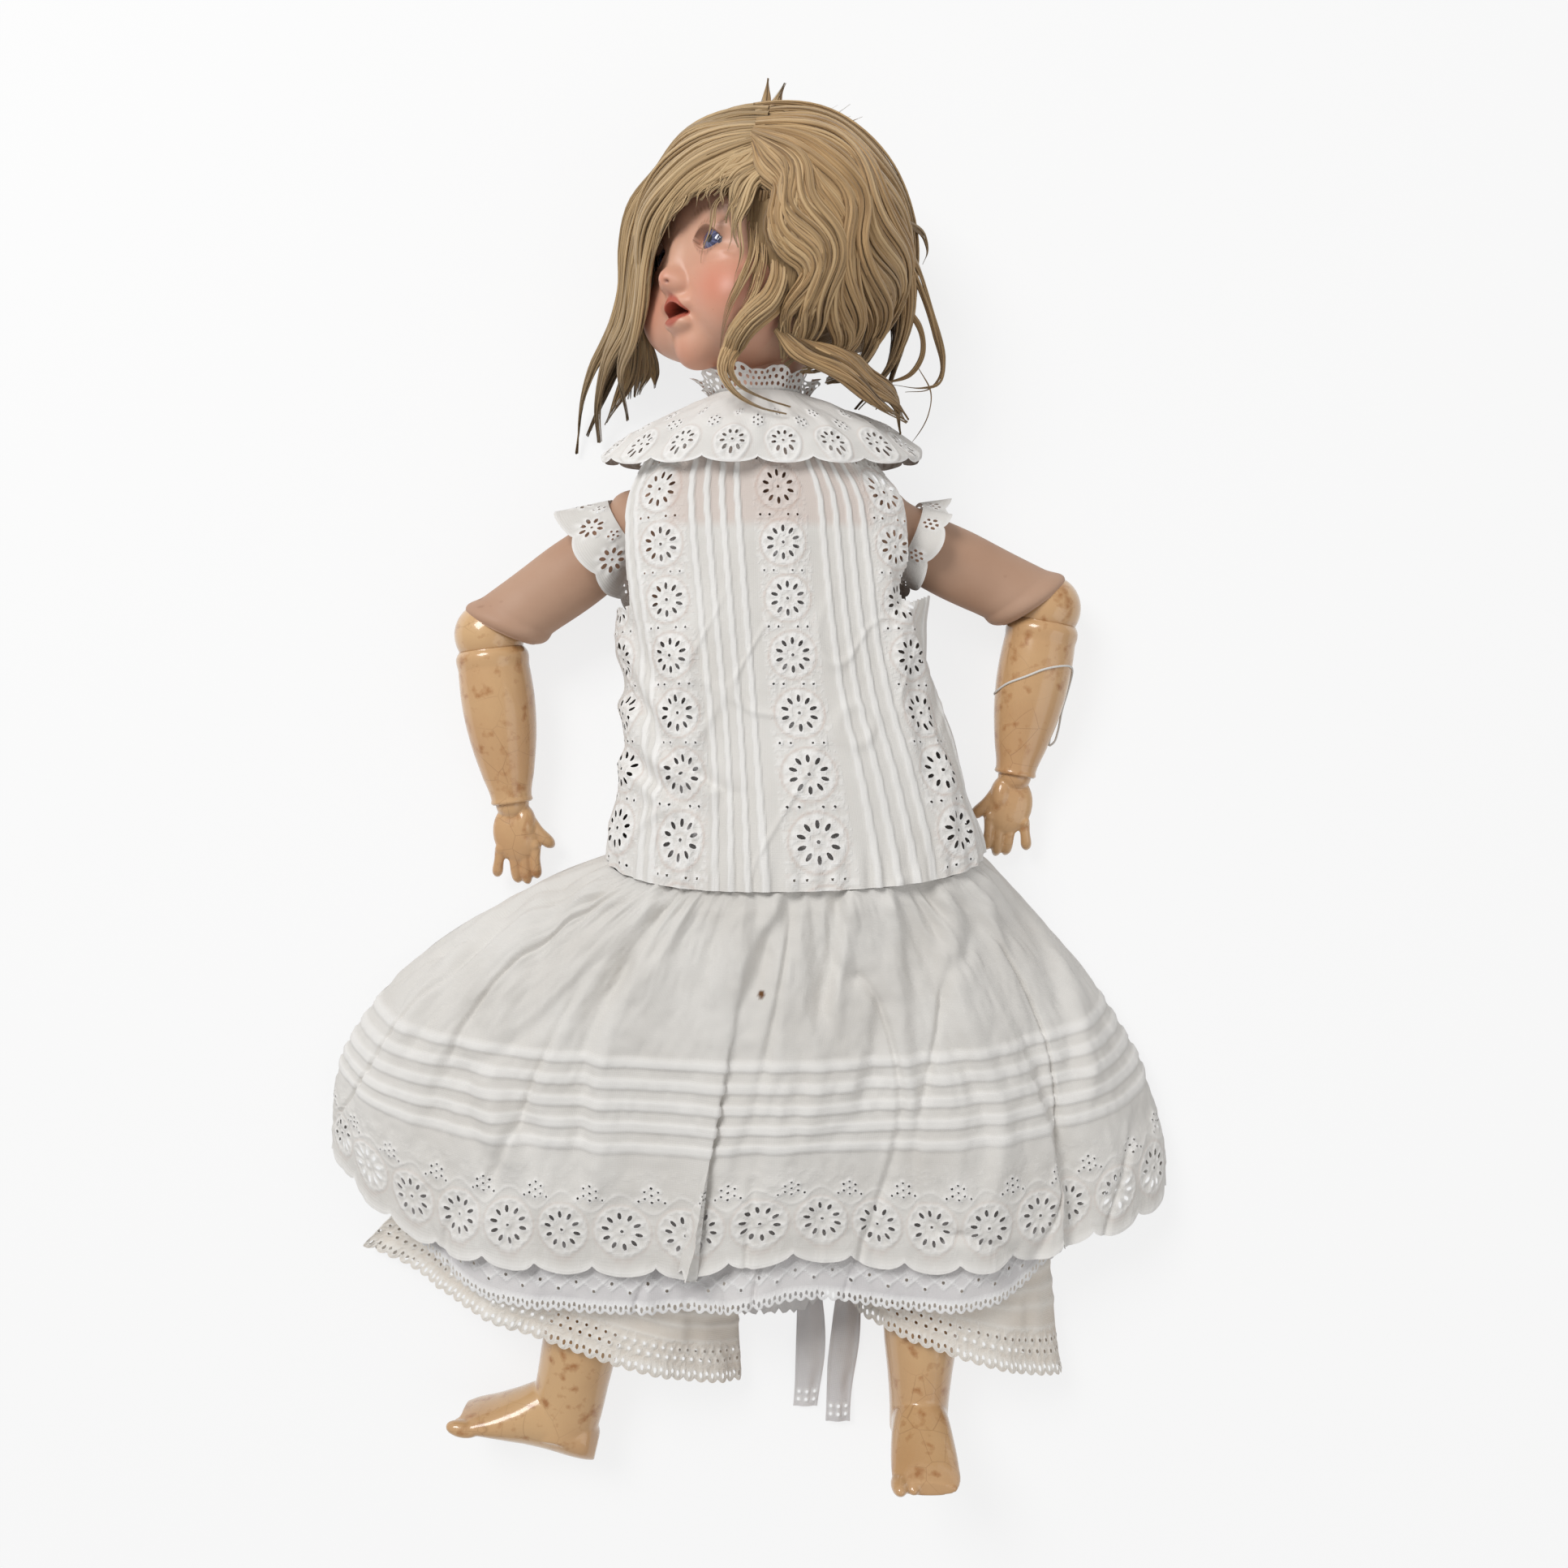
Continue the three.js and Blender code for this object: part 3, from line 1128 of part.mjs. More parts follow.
// Short lace sleeves round the tops of the arms
function makeSleeves() {
  for (const [{ side, swing, dip }, length] of [[rightArm, sleeveLength], [leftArm, sleeveLength / 2]]) {
    const name = side < 0 ? 'right' : 'left';
    const group = place(new THREE.Group(), shoulder(side), dip, 0, side * swing);
    const loops = [0, 1].map((share) => Array.from({ length: 24 }, (_, i) => {
      const angle = (2 * Math.PI * i) / 24;
      const start = 0.95 * upperArmRadius + cotton + fit;
      const flare = (sleeveWidth - start) * (length / sleeveLength);
      const radius = start + share * (flare + 1.2 * Math.cos(6 * angle));
      return point(radius * Math.cos(angle), -sleeveStart - share * length, radius * Math.sin(angle));
    }));
    addPiece(group, `${name}_sleeve`, clothTube(loops), whiteCotton);
  }
}

makeTorso();
makeHead();
makeArm(rightArm);
makeArm(leftArm);
makeLeg(rightLeg);
makeLeg(leftLeg);
makeDrawers();
makeSkirts();
makeBodice();
makeCollar();
makeSleeves();

export default doll;
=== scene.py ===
# Antique bisque-head doll in a white eyelet dress, lying on its back.
# The forms are worked out in millimetres and become metres when a mesh is made.
import math

import bpy
import numpy as np
from mathutils import Euler, Matrix, Vector


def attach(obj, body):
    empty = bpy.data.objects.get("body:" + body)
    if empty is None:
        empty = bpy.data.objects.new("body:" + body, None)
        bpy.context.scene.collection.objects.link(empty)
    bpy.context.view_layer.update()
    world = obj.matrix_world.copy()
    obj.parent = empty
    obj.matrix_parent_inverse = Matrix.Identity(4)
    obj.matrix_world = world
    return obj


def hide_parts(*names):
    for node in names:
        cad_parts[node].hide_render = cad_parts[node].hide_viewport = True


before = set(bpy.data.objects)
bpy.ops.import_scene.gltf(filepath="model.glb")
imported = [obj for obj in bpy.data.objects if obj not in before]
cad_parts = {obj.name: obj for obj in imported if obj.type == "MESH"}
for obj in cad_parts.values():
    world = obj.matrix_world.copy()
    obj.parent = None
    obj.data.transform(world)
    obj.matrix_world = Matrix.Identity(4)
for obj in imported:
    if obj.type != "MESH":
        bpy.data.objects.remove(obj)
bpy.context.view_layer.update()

MM = 0.001
FRONT = math.pi / 2

# Sizes shared with the solids
TORSO_TOP = 182
TORSO_LENGTH = 260
HIP_HALF_WIDTH = 62
TORSO_HALF_DEPTH = 39.5
TORSO_CENTRE = 43.2
NECK = Vector((0, 187, 54))
# The head's sizes, and places on it in its own frame. Its turn and tilt are in degrees, and the
# turn of its eyes is in radians
HEAD_TURN = -50
HEAD_TILT = -5
SKULL = Vector((50, 53, 56))
SKULL_CENTRE = 72
HEAD_CORE = Vector((0, 56.1, 8.4))
EYE_HEIGHT = 58
EYE_SPACING = 36
EYE_RADIUS = 9.5
EYE_TURN = 0.16
MOUTH_HEIGHT = 27
# Limbs: balls, cups and lengths
SHOULDER = (60, 127, 40)
SHOULDER_BALL = 19
UPPER_ARM_LENGTH = 95
UPPER_ARM_RADIUS = 18
ELBOW_BALL = 17.5
ELBOW_SEAT = 7.4
ELBOW_SLANT = 30
FOREARM_LENGTH = 86
FOREARM_RADIUS = 18.5
WRIST_RADIUS = 10.3
WRIST_BALL = 8.6
PALM = Vector((24, 25, 13))
FINGER_LENGTH = 17
FINGER_RADIUS = 3.1
HIP = (32, -60, 38.5)
THIGH_LENGTH = 132
THIGH_RADIUS = 24
KNEE_BALL = 18.5
KNEE_SEAT = 6
SHIN_LENGTH = 136
CALF_RADIUS = 20
ANKLE_RADIUS = 13.5
SOLE_DROP = 23
HEEL_REACH = 19
FOOT_LENGTH = 76
FOOT_WIDTH = 33
TOE_LIFT = 5
# How each limb lies, in degrees; side is 1 on the doll's left
ARMS = {
    "right": dict(side=-1, swing=56.5, dip=10.8, fore_swing=-7, fore_dip=4),
    "left": dict(side=1, swing=66, dip=10.8, fore_swing=-10, fore_dip=4),
}
LEGS = {
    "right": dict(side=-1, swing=17, dip=3.7, shin_swing=12, turn_out=90, outer=122, inner=84,
                  hem=-19),
    "left": dict(side=1, swing=23, dip=3.7, shin_swing=-1.2, turn_out=0, outer=78, inner=36,
                 hem=-19),
}
BODICE_TOP = 178
BODICE_HEM = -34
SKIRT_LENGTH = 165
# Down the torso: share of its length, shares of its half-width and half-depth, and how far the
# middle rises to the neck's height
TORSO_STATIONS = [
    [0, 0.39, 0.51, 1],
    [0.03, 0.55, 0.68, 0.8],
    [0.08, 0.81, 0.84, 0.45],
    [0.14, 0.95, 0.93, 0.15],
    [0.25, 0.98, 0.99, 0],
    [0.4, 0.9, 0.97, 0],
    [0.55, 0.85, 0.95, 0],
    [0.7, 0.92, 0.98, 0],
    [0.82, 1, 1, 0],
    [0.92, 0.97, 0.96, 0],
    [0.97, 0.81, 0.81, 0],
    [1, 0.58, 0.56, 0],
]
# Down the bodice: share of its length, then its ease at the doll's right, at its left and in front
BODICE_EASE = [
    [0, 2, 2, 2],
    [0.1, 4, 5, 3],
    [0.2, 8, 16, 3],
    [0.33, 10, 20, 3],
    [0.6, 14, 32, 3.5],
    [0.84, 10, 44, 4],
    [1, 13, 47, 4],
]

# Camera, straight above the waist with the head towards the top of the picture
CAMERA_PLACE = (0.012, 0, 0.750)
CAMERA_LENS = 32.84
CAMERA_SENSOR = 36
camera_data = bpy.data.cameras.new("photo_camera")
camera_data.lens = CAMERA_LENS
camera_data.sensor_width = CAMERA_SENSOR
camera = bpy.data.objects.new("photo_camera", camera_data)
camera.location = CAMERA_PLACE
bpy.context.collection.objects.link(camera)
bpy.context.scene.camera = camera


# Numbers and forms
def bent(value, power):
    """A signed power: under 1 it squares off a round outline."""
    return np.sign(value) * np.abs(value) ** power


def along(table, places):
    """Smooth values between the rows of a table whose first column is the place."""
    rows = np.array(table, float)
    knots, values = rows[:, 0], rows[:, 1:]
    slopes = np.gradient(values, knots, axis=0)
    places = np.clip(np.asarray(places, float), knots[0], knots[-1])
    i = np.clip(np.searchsorted(knots, places, side="right") - 1, 0, len(knots) - 2)
    step = (knots[i + 1] - knots[i])[..., None]
    t = (places - knots[i])[..., None] / step
    start, end = values[i], values[i + 1]
    leave, arrive = slopes[i] * step, slopes[i + 1] * step
    rise = 3 * t**2 - 2 * t**3
    return start + (end - start) * rise + leave * (t**3 - 2 * t**2 + t) + arrive * (t**3 - t**2)


LATTICE = 256


def value_noise(x, y, seed):
    """Smooth noise from -1 to 1 with features one unit wide."""
    lattice = np.random.default_rng(seed).uniform(-1, 1, (LATTICE, LATTICE))
    x, y = np.broadcast_arrays(np.asarray(x, float), np.asarray(y, float))
    column, row = np.floor(x).astype(int), np.floor(y).astype(int)
    fx, fy = x - column, y - row
    fx, fy = fx * fx * (3 - 2 * fx), fy * fy * (3 - 2 * fy)

    def at(i, j):
        return lattice[(row + j) % LATTICE, (column + i) % LATTICE]

    low = at(0, 0) * (1 - fx) + at(1, 0) * fx
    high = at(0, 1) * (1 - fx) + at(1, 1) * fx
    return low * (1 - fy) + high * fy


def bump_at(value, place, width):
    """1 at a place, falling smoothly to 0 on both sides of it."""
    return np.exp(-(((value - place) / width) ** 2))


def smooth_step(low, high, value):
    """From 0 at low to 1 at high; low may be the larger of the two."""
    t = np.clip((value - low) / (high - low), 0, 1)
    return t * t * (3 - 2 * t)


def turn(swing, dip):
    """How a limb that hangs along -Y is turned: away from straight down, then its far end lowered."""
    return Euler((math.radians(dip), 0, math.radians(swing)), "XYZ").to_matrix().to_4x4()


def angles(count):
    """Evenly spaced angles once round, without the last."""
    return np.linspace(0, 2 * math.pi, count, endpoint=False)


def placed(at, turned):
    """A turned frame at a place given in millimetres."""
    return Matrix.Translation(Vector(at) * MM) @ turned


# Meshes
def grid_faces(rows, columns, closed):
    """Four-sided faces of a grid of points; a closed grid joins its last column to its first."""
    wide = columns if closed else columns - 1
    row, column = np.meshgrid(np.arange(rows - 1), np.arange(wide), indexing="ij")
    right = (column + 1) % columns
    corners = [row * columns + column, row * columns + right]
    corners += [(row + 1) * columns + right, (row + 1) * columns + column]
    return np.stack(corners, axis=-1).reshape(-1, 4)


def make_piece(name, points, faces, material, body, uv=None, marks=None, matrix=None):
    """A smooth mesh piece from points in millimetres; marks are named numbers for its material."""
    mesh = bpy.data.meshes.new(name)
    mesh.from_pydata((np.asarray(points, float) * MM).tolist(), [], [list(map(int, f)) for f in faces])
    mesh.shade_smooth()
    if uv is not None:
        corner = np.empty(len(mesh.loops), int)
        mesh.loops.foreach_get("vertex_index", corner)
        mesh.uv_layers.new(name="cloth").data.foreach_set("uv", (uv * MM)[corner].ravel())
    for mark, values in (marks or {}).items():
        mesh.attributes.new(mark, "FLOAT", "POINT").data.foreach_set(
            "value", np.asarray(values, np.float32).ravel()
        )
    piece = bpy.data.objects.new(name, mesh)
    bpy.context.collection.objects.link(piece)
    if matrix is not None:
        mesh.transform(matrix)
    mesh.materials.append(material)
    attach(piece, body)
    return piece


def lofted(loops):
    """Points and faces of a closed form skinned over a row of loops."""
    rows, around = loops.shape[:2]
    points = np.concatenate([loops.reshape(-1, 3), loops[:1].mean(axis=1), loops[-1:].mean(axis=1)])
    faces = grid_faces(rows, around, True).tolist()
    start, end, last = rows * around, rows * around + 1, (rows - 1) * around
    for i in range(around):
        j = (i + 1) % around
        faces.append([start, j, i])
        faces.append([end, last + i, last + j])
    return points, faces


def together(forms):
    """The points and faces of several forms as one."""
    points, faces, first = [], [], 0
    for form_points, form_faces in forms:
        points.append(form_points)
        faces += [[corner + first for corner in face] for face in form_faces]
        first += len(form_points)
    return np.concatenate(points), faces


def limb_loops(stations, around=56, steps=64):
    """Loops along -Y from stations of [distance, half-width, half-depth, forward shift]."""
    table = np.array([list(row) + [0] * (4 - len(row)) for row in stations], float)
    length = np.linspace(table[0, 0], table[-1, 0], steps)
    width, depth, shift = along(table, length).T
    angle = angles(around)
    x = width[:, None] * np.cos(angle)
    z = shift[:, None] + depth[:, None] * np.sin(angle)
    return np.stack([x, -length[:, None] + 0 * x, z], axis=-1)


def cup_loops(radius, seat, rim, toward, around=56):
    """Loops of the hollow that a ball sits in, from its bottom out to a rounded rim.
    The ball is at the origin, and the limb runs from it towards +Y or -Y."""
    mouth = math.acos(min(1, seat / radius))
    turns = np.linspace(0.05, mouth, 10)
    rows = [(radius * math.cos(a), radius * math.sin(a)) for a in turns]
    rows += [(seat - 0.2, 0.6 * rows[-1][1] + 0.4 * rim), (seat - 0.1, rim - 0.5)]
    angle = angles(around)
    return np.array([
        [(r * math.cos(a), toward * d, r * math.sin(a)) for a in angle] for d, r in rows
    ])


def ellipsoid(radii, centre, around=24, down=14):
    """A closed round form with its poles on the Y axis."""
    angle = angles(around)
    tilt = np.linspace(0.08, math.pi - 0.08, down)
    ring = np.sin(tilt)[:, None]
    x = centre[0] + radii[0] * ring * np.cos(angle)
    y = centre[1] + radii[1] * np.cos(tilt)[:, None] + 0 * x
    z = centre[2] + radii[2] * ring * np.sin(angle)
    return lofted(np.stack([x, y, z], axis=-1)[::-1])


def spline(points, steps):
    """Evenly timed points on a smooth curve through the given ones."""
    points = np.asarray(points, float)
    gaps = np.linalg.norm(np.diff(points, axis=0), axis=1) ** 0.7
    knots = np.concatenate([[0], np.cumsum(gaps)])
    table = np.column_stack([knots, points])
    return along(table, np.linspace(0, knots[-1], steps))


def tube_loops(route, radii, around, flat=1.0, facing=(0.3, 0.2, 1.0)):
    """Loops of a tube along a route; flat under 1 makes it a ribbon, thin in the facing direction."""
    ahead = np.gradient(route, axis=0)
    ahead /= np.linalg.norm(ahead, axis=1)[:, None] + 1e-9
    up = np.broadcast_to(facing, route.shape)
    across = np.cross(ahead, up)
    across /= np.linalg.norm(across, axis=1)[:, None] + 1e-9
    up = np.cross(across, ahead)
    angle = angles(around)
    radii = np.asarray(radii)[:, None, None]
    return (
        route[:, None]
        + radii * np.cos(angle)[None, :, None] * across[:, None]
        + flat * radii * np.sin(angle)[None, :, None] * up[:, None]
    )


def melted(piece, voxel, smoothing):
    """Fuses the overlapping forms of a piece into one soft skin."""
    remesh = piece.modifiers.new("fuse", "REMESH")
    remesh.mode = "VOXEL"
    remesh.voxel_size = voxel * MM
    soften = piece.modifiers.new("soften", "SMOOTH")
    soften.iterations = smoothing
    soften.factor = 0.5
    depsgraph = bpy.context.evaluated_depsgraph_get()
    fused = bpy.data.meshes.new_from_object(piece.evaluated_get(depsgraph))
    piece.modifiers.clear()
    material = piece.data.materials[0]
    piece.data = fused
    fused.materials.clear()
    fused.materials.append(material)
    fused.shade_smooth()


# Finishes
def colour(red, green, blue):
    """A colour as a screen shows it, from 0 to 255, in the renderer's linear numbers."""
    def linear(value):
        value /= 255
        return value / 12.92 if value <= 0.04045 else ((value + 0.055) / 1.055) ** 2.4
    return (linear(red), linear(green), linear(blue), 1)


def feed(tree, socket, value):
    """Links a socket to a node's output, or sets it to a plain value."""
    if isinstance(value, bpy.types.NodeSocket):
        tree.links.new(value, socket)
    else:
        socket.default_value = value


def add_node(tree, kind, inputs=None, **settings):
    made = tree.nodes.new(kind)
    for setting, value in settings.items():
        setattr(made, setting, value)
    for socket, value in (inputs or {}).items():
        feed(tree, made.inputs[socket], value)
    return made


class Finish:
    """A procedural material that is put together node by node."""

    def __init__(self, name, roughness, **sockets):
        self.material = bpy.data.materials.new(name)
        self.material.use_nodes = True
        self.tree = self.material.node_tree
        self.shader = self.tree.nodes["Principled BSDF"]
        self.shader.inputs["Roughness"].default_value = roughness
        for socket, value in sockets.items():
            self.shader.inputs[socket.replace("_", " ")].default_value = value
        self.place = self.node("ShaderNodeTexCoord").outputs["Object"]

    def node(self, kind, inputs=None, **settings):
        return add_node(self.tree, kind, inputs, **settings)

    def noise(self, scale, detail, vector=None):
        inputs = {"Vector": vector or self.place, "Scale": scale, "Detail": detail}
        return self.node("ShaderNodeTexNoise", inputs).outputs["Fac"]

    def cell_edges(self, scale):
        """How far each place is from the nearest edge between cells."""
        inputs = {"Vector": self.place, "Scale": scale}
        cells = self.node("ShaderNodeTexVoronoi", inputs, feature="DISTANCE_TO_EDGE")
        return cells.outputs["Distance"]

    def stretched(self, vector, scale):
        return self.node("ShaderNodeMapping", {"Vector": vector, "Scale": scale}).outputs["Vector"]

    def ramp(self, factor, low, high, start=(0, 0, 0, 1), end=(1, 1, 1, 1)):
        made = self.node("ShaderNodeValToRGB", {"Fac": factor})
        made.color_ramp.elements[0].position = low
        made.color_ramp.elements[0].color = start
        made.color_ramp.elements[1].position = high
        made.color_ramp.elements[1].color = end
        return made.outputs["Color"]

    def mix(self, factor, first, second):
        inputs = {0: factor, 6: first, 7: second}
        return self.node("ShaderNodeMix", inputs, data_type="RGBA").outputs[2]

    def patches(self, first, second, scale, detail, low, high):
        """One colour with soft patches of a second one."""
        return self.mix(self.ramp(self.noise(scale, detail), low, high), first, second)

    def painted(self, base, **marks):
        """Lays a colour over the base where each mark of the mesh is set."""
        for name, paint in marks.items():
            base = self.mix(self.mark(name), base, paint)
        return base

    def math(self, operation, first, second):
        return self.node("ShaderNodeMath", {0: first, 1: second}, operation=operation).outputs[0]

    def mark(self, name):
        return self.node("ShaderNodeAttribute", attribute_name=name).outputs["Fac"]

    def uv(self):
        return self.node("ShaderNodeTexCoord").outputs["UV"]

    def bump(self, height, distance, strength=1.0, under=None):
        inputs = {"Height": height, "Distance": distance * MM, "Strength": strength}
        if under:
            inputs["Normal"] = under
        return self.node("ShaderNodeBump", inputs).outputs["Normal"]

    def done(self, base, **sockets):
        feed(self.tree, self.shader.inputs["Base Color"], base)
        for socket, value in sockets.items():
            feed(self.tree, self.shader.inputs[socket], value)
        return self.material


def cotton_finish(name, plain, raised, worn):
    finish = Finish(name, 0.85, Sheen_Weight=0.15, Specular_IOR_Level=0.2)
    base = finish.patches(plain, worn, 22, 4, 0.38, 0.72)
    base = finish.painted(base, raised=raised, sheer=colour(214, 196, 186), spot=colour(110, 74, 44))
    thread = {
        "Vector": finish.uv(), "Scale": 480.0, "Distortion": 1.2, "Detail": 1.0, "Detail Scale": 2.0,
    }
    threads = [
        finish.node("ShaderNodeTexWave", thread, bands_direction=direction).outputs["Fac"]
        for direction in ("X", "Y")
    ]
    weave = finish.math("MULTIPLY", finish.math("ADD", *threads), 0.35)
    crinkle = finish.noise(160, 4)
    relief = finish.bump(finish.math("ADD", weave, crinkle), 0.25, 0.5)
    return finish.done(base, Normal=finish.bump(finish.mark("raised"), 0.6, 0.8, relief))


def varnish_finish():
    finish = Finish("aged_varnish", 0.22, Coat_Weight=0.6, Coat_Roughness=0.08)
    base = finish.patches(colour(216, 176, 128), colour(200, 154, 108), 16, 4, 0.35, 0.7)
    fine = finish.noise(140, 4)
    base = finish.mix(finish.ramp(fine, 0.56, 0.72), base, colour(176, 122, 72))
    cracks = finish.ramp(finish.cell_edges(70), 0.0, 0.018, (1, 1, 1, 1), (0, 0, 0, 1))
    some = finish.ramp(finish.noise(18, 2), 0.5, 0.62)
    craze = finish.math("MULTIPLY", finish.math("MULTIPLY", cracks, some), 0.35)
    base = finish.mix(craze, base, colour(128, 82, 46))
    relief = finish.bump(finish.math("SUBTRACT", fine, craze), 0.12, 0.5)
    rough = finish.ramp(fine, 0.3, 0.8, (0.16, 0.16, 0.16, 1), (0.34, 0.34, 0.34, 1))
    return finish.done(base, Normal=relief, Roughness=rough)


def matte_finish(name, light, dark, scuff):
    finish = Finish(name, 0.55, Specular_IOR_Level=0.35)
    base = finish.patches(light, dark, 20, 5, 0.36, 0.7)
    spots = finish.ramp(finish.noise(70, 3), 0.7, 0.76)
    base = finish.mix(finish.math("MULTIPLY", spots, 0.5), base, scuff)
    # Near black where the hole mark is set: painted shade inside the string hole in the right upper arm.
    base = finish.painted(base, hole=colour(12, 10, 10))
    return finish.done(base, Normal=finish.bump(finish.noise(220, 3), 0.15, 0.4))


def bisque_finish():
    finish = Finish("painted_bisque", 0.42, Specular_IOR_Level=0.45)
    finish.shader.inputs["Subsurface Weight"].default_value = 0.08
    finish.shader.inputs["Subsurface Radius"].default_value = (0.004, 0.002, 0.001)
    base = finish.patches(colour(222, 176, 150), colour(210, 162, 136), 30, 3, 0.35, 0.7)
    # The dark mark is painted shade inside the open mouth and in the nostrils.
    base = finish.painted(
        base, blush=colour(206, 112, 86), shadow=colour(176, 116, 98), brow=colour(128, 90, 66),
        lips=colour(176, 74, 56), dark=colour(82, 30, 22))
    specks = finish.ramp(finish.noise(420, 2), 0.7, 0.8)
    base = finish.mix(finish.math("MULTIPLY", specks, 0.25), base, colour(150, 96, 80))
    return finish.done(base, Normal=finish.bump(finish.noise(380, 2), 0.05, 0.3))


def hair_finish():
    finish = Finish("mohair", 0.55, Specular_IOR_Level=0.3, Sheen_Weight=0.2)
    fibre = finish.stretched(finish.uv(), (1, 0.03, 1))
    streak = finish.noise(1400, 3, fibre)
    base = finish.mix(finish.ramp(streak, 0.32, 0.68), colour(140, 108, 70), colour(204, 168, 120))
    base = finish.mix(finish.math("MULTIPLY", finish.mark("ash"), 0.6), base, colour(164, 144, 108))
    # The shade and light marks are random tone from strand to strand, plus painted shade on deep strands
    # and a painted highlight on upper ones; the shade also grows where the hair lies low.
    base = finish.painted(base, shade=colour(84, 64, 40), light=colour(224, 194, 148))
    return finish.done(base, Normal=finish.bump(streak, 0.6, 0.9))


def simple_finish(name, light, dark, roughness, scale, **sockets):
    finish = Finish(name, roughness, **sockets)
    pattern = finish.noise(scale, 4)
    base = finish.mix(finish.ramp(pattern, 0.35, 0.65), light, dark)
    return finish.done(base, Normal=finish.bump(pattern, 0.1, 0.4))


def wood_finish():
    finish = Finish("turned_wood", 0.6)
    grain = finish.noise(60, 4, finish.stretched(finish.place, (1, 6, 1)))
    base = finish.mix(finish.ramp(grain, 0.35, 0.65), colour(190, 150, 100), colour(140, 98, 58))
    return finish.done(base, Normal=finish.bump(grain, 0.2, 0.5))


def eye_finish():
    finish = Finish("glass_eye", 0.06, Coat_Weight=1.0, Coat_Roughness=0.02)
    base = finish.mix(finish.mark("iris"), colour(206, 200, 200), colour(68, 70, 102))
    streak = finish.ramp(finish.mark("rays"), 0.4, 0.8)
    base = finish.mix(finish.math("MULTIPLY", streak, finish.mark("iris")), base, colour(104, 110, 148))
    return finish.done(finish.painted(base, rim=colour(36, 36, 56), pupil=colour(14, 14, 22)))


white = cotton_finish(
    "white_cotton", colour(228, 225, 220), colour(244, 242, 239), colour(218, 214, 208))
lining = cotton_finish(
    "petticoat_cotton", colour(228, 225, 224), colour(244, 243, 242), colour(214, 211, 212))
cream = cotton_finish(
    "cream_cotton", colour(236, 229, 219), colour(246, 242, 235), colour(226, 214, 200))
varnish = varnish_finish()
skin_paint = matte_finish(
    "matte_paint", colour(192, 156, 132), colour(182, 143, 118), colour(152, 112, 88))
bisque = bisque_finish()
mohair = hair_finish()
eye_glass = eye_finish()
porcelain = simple_finish("porcelain_teeth", colour(246, 240, 228), colour(236, 226, 208), 0.25, 200)
red_felt = simple_finish("red_felt", colour(168, 74, 61), colour(140, 52, 44), 0.9, 400)
lead = simple_finish("lead_weight", colour(112, 112, 116), colour(84, 84, 88), 0.55, 150, Metallic=0.7)
steel = simple_finish("steel_wire", colour(150, 150, 152), colour(110, 108, 106), 0.35, 200, Metallic=1.0)
elastic = simple_finish("rubber_cord", colour(86, 78, 68), colour(58, 52, 45), 0.85, 500)
cork = simple_finish("cork", colour(176, 138, 94), colour(130, 96, 60), 0.9, 260)
wood = wood_finish()

# Solids that are seen as they are, each with its finish
CARRIED_OVER = {
    "torso": skin_paint, "right_thigh": skin_paint, "left_thigh": skin_paint,
    "pate": cork, "upper_teeth": porcelain, "tongue": red_felt, "eye_rocker": lead,
    "neck_button": wood, "neck_hook": steel, "right_arm_hook": steel, "left_arm_hook": steel,
    "right_knee_ball": varnish, "left_knee_ball": varnish, "arm_elastic": elastic,
}
for cord in ("leg_elastic", "upper_arm_elastic", "forearm_elastic", "thigh_elastic", "shin_elastic"):
    for side in ("right", "left"):
        CARRIED_OVER[f"{side}_{cord}"] = elastic
for node, material in CARRIED_OVER.items():
    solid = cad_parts[node]
    solid.data.materials.clear()
    solid.data.materials.append(material)


# Limbs: rings round their length, with cups for the balls of their joints
def arm_frames(side, swing, dip, fore_swing, fore_dip):
    """The frames of the upper arm, at its shoulder, and of the forearm, at its elbow."""
    x, y, z = SHOULDER
    upper = placed((side * x, y, z), turn(side * swing, dip))
    elbow = upper @ Vector((0, -UPPER_ARM_LENGTH * MM, 0))
    lower = Matrix.Translation(elbow) @ turn(side * fore_swing, fore_dip)
    return upper, lower


def make_varnished(name, node, points, faces, matrix, body=None, melt=None):
    """A varnished piece in place of a limb's solid; melt is the grain and the smoothing of a skin."""
    body = f"{name}_{body or node}"
    piece = make_piece(f"{name}_{node}_varnish", points, faces, varnish, body, matrix=matrix)
    if melt:
        melted(piece, *melt)
    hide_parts(f"{name}_{node}")


# The hole of a string in the right upper arm
STRING_HOLE = np.array([13.2, -26.5, 10.2])
HOLE_RADIUS = 2.4
HOLE_DEPTH = 2.0


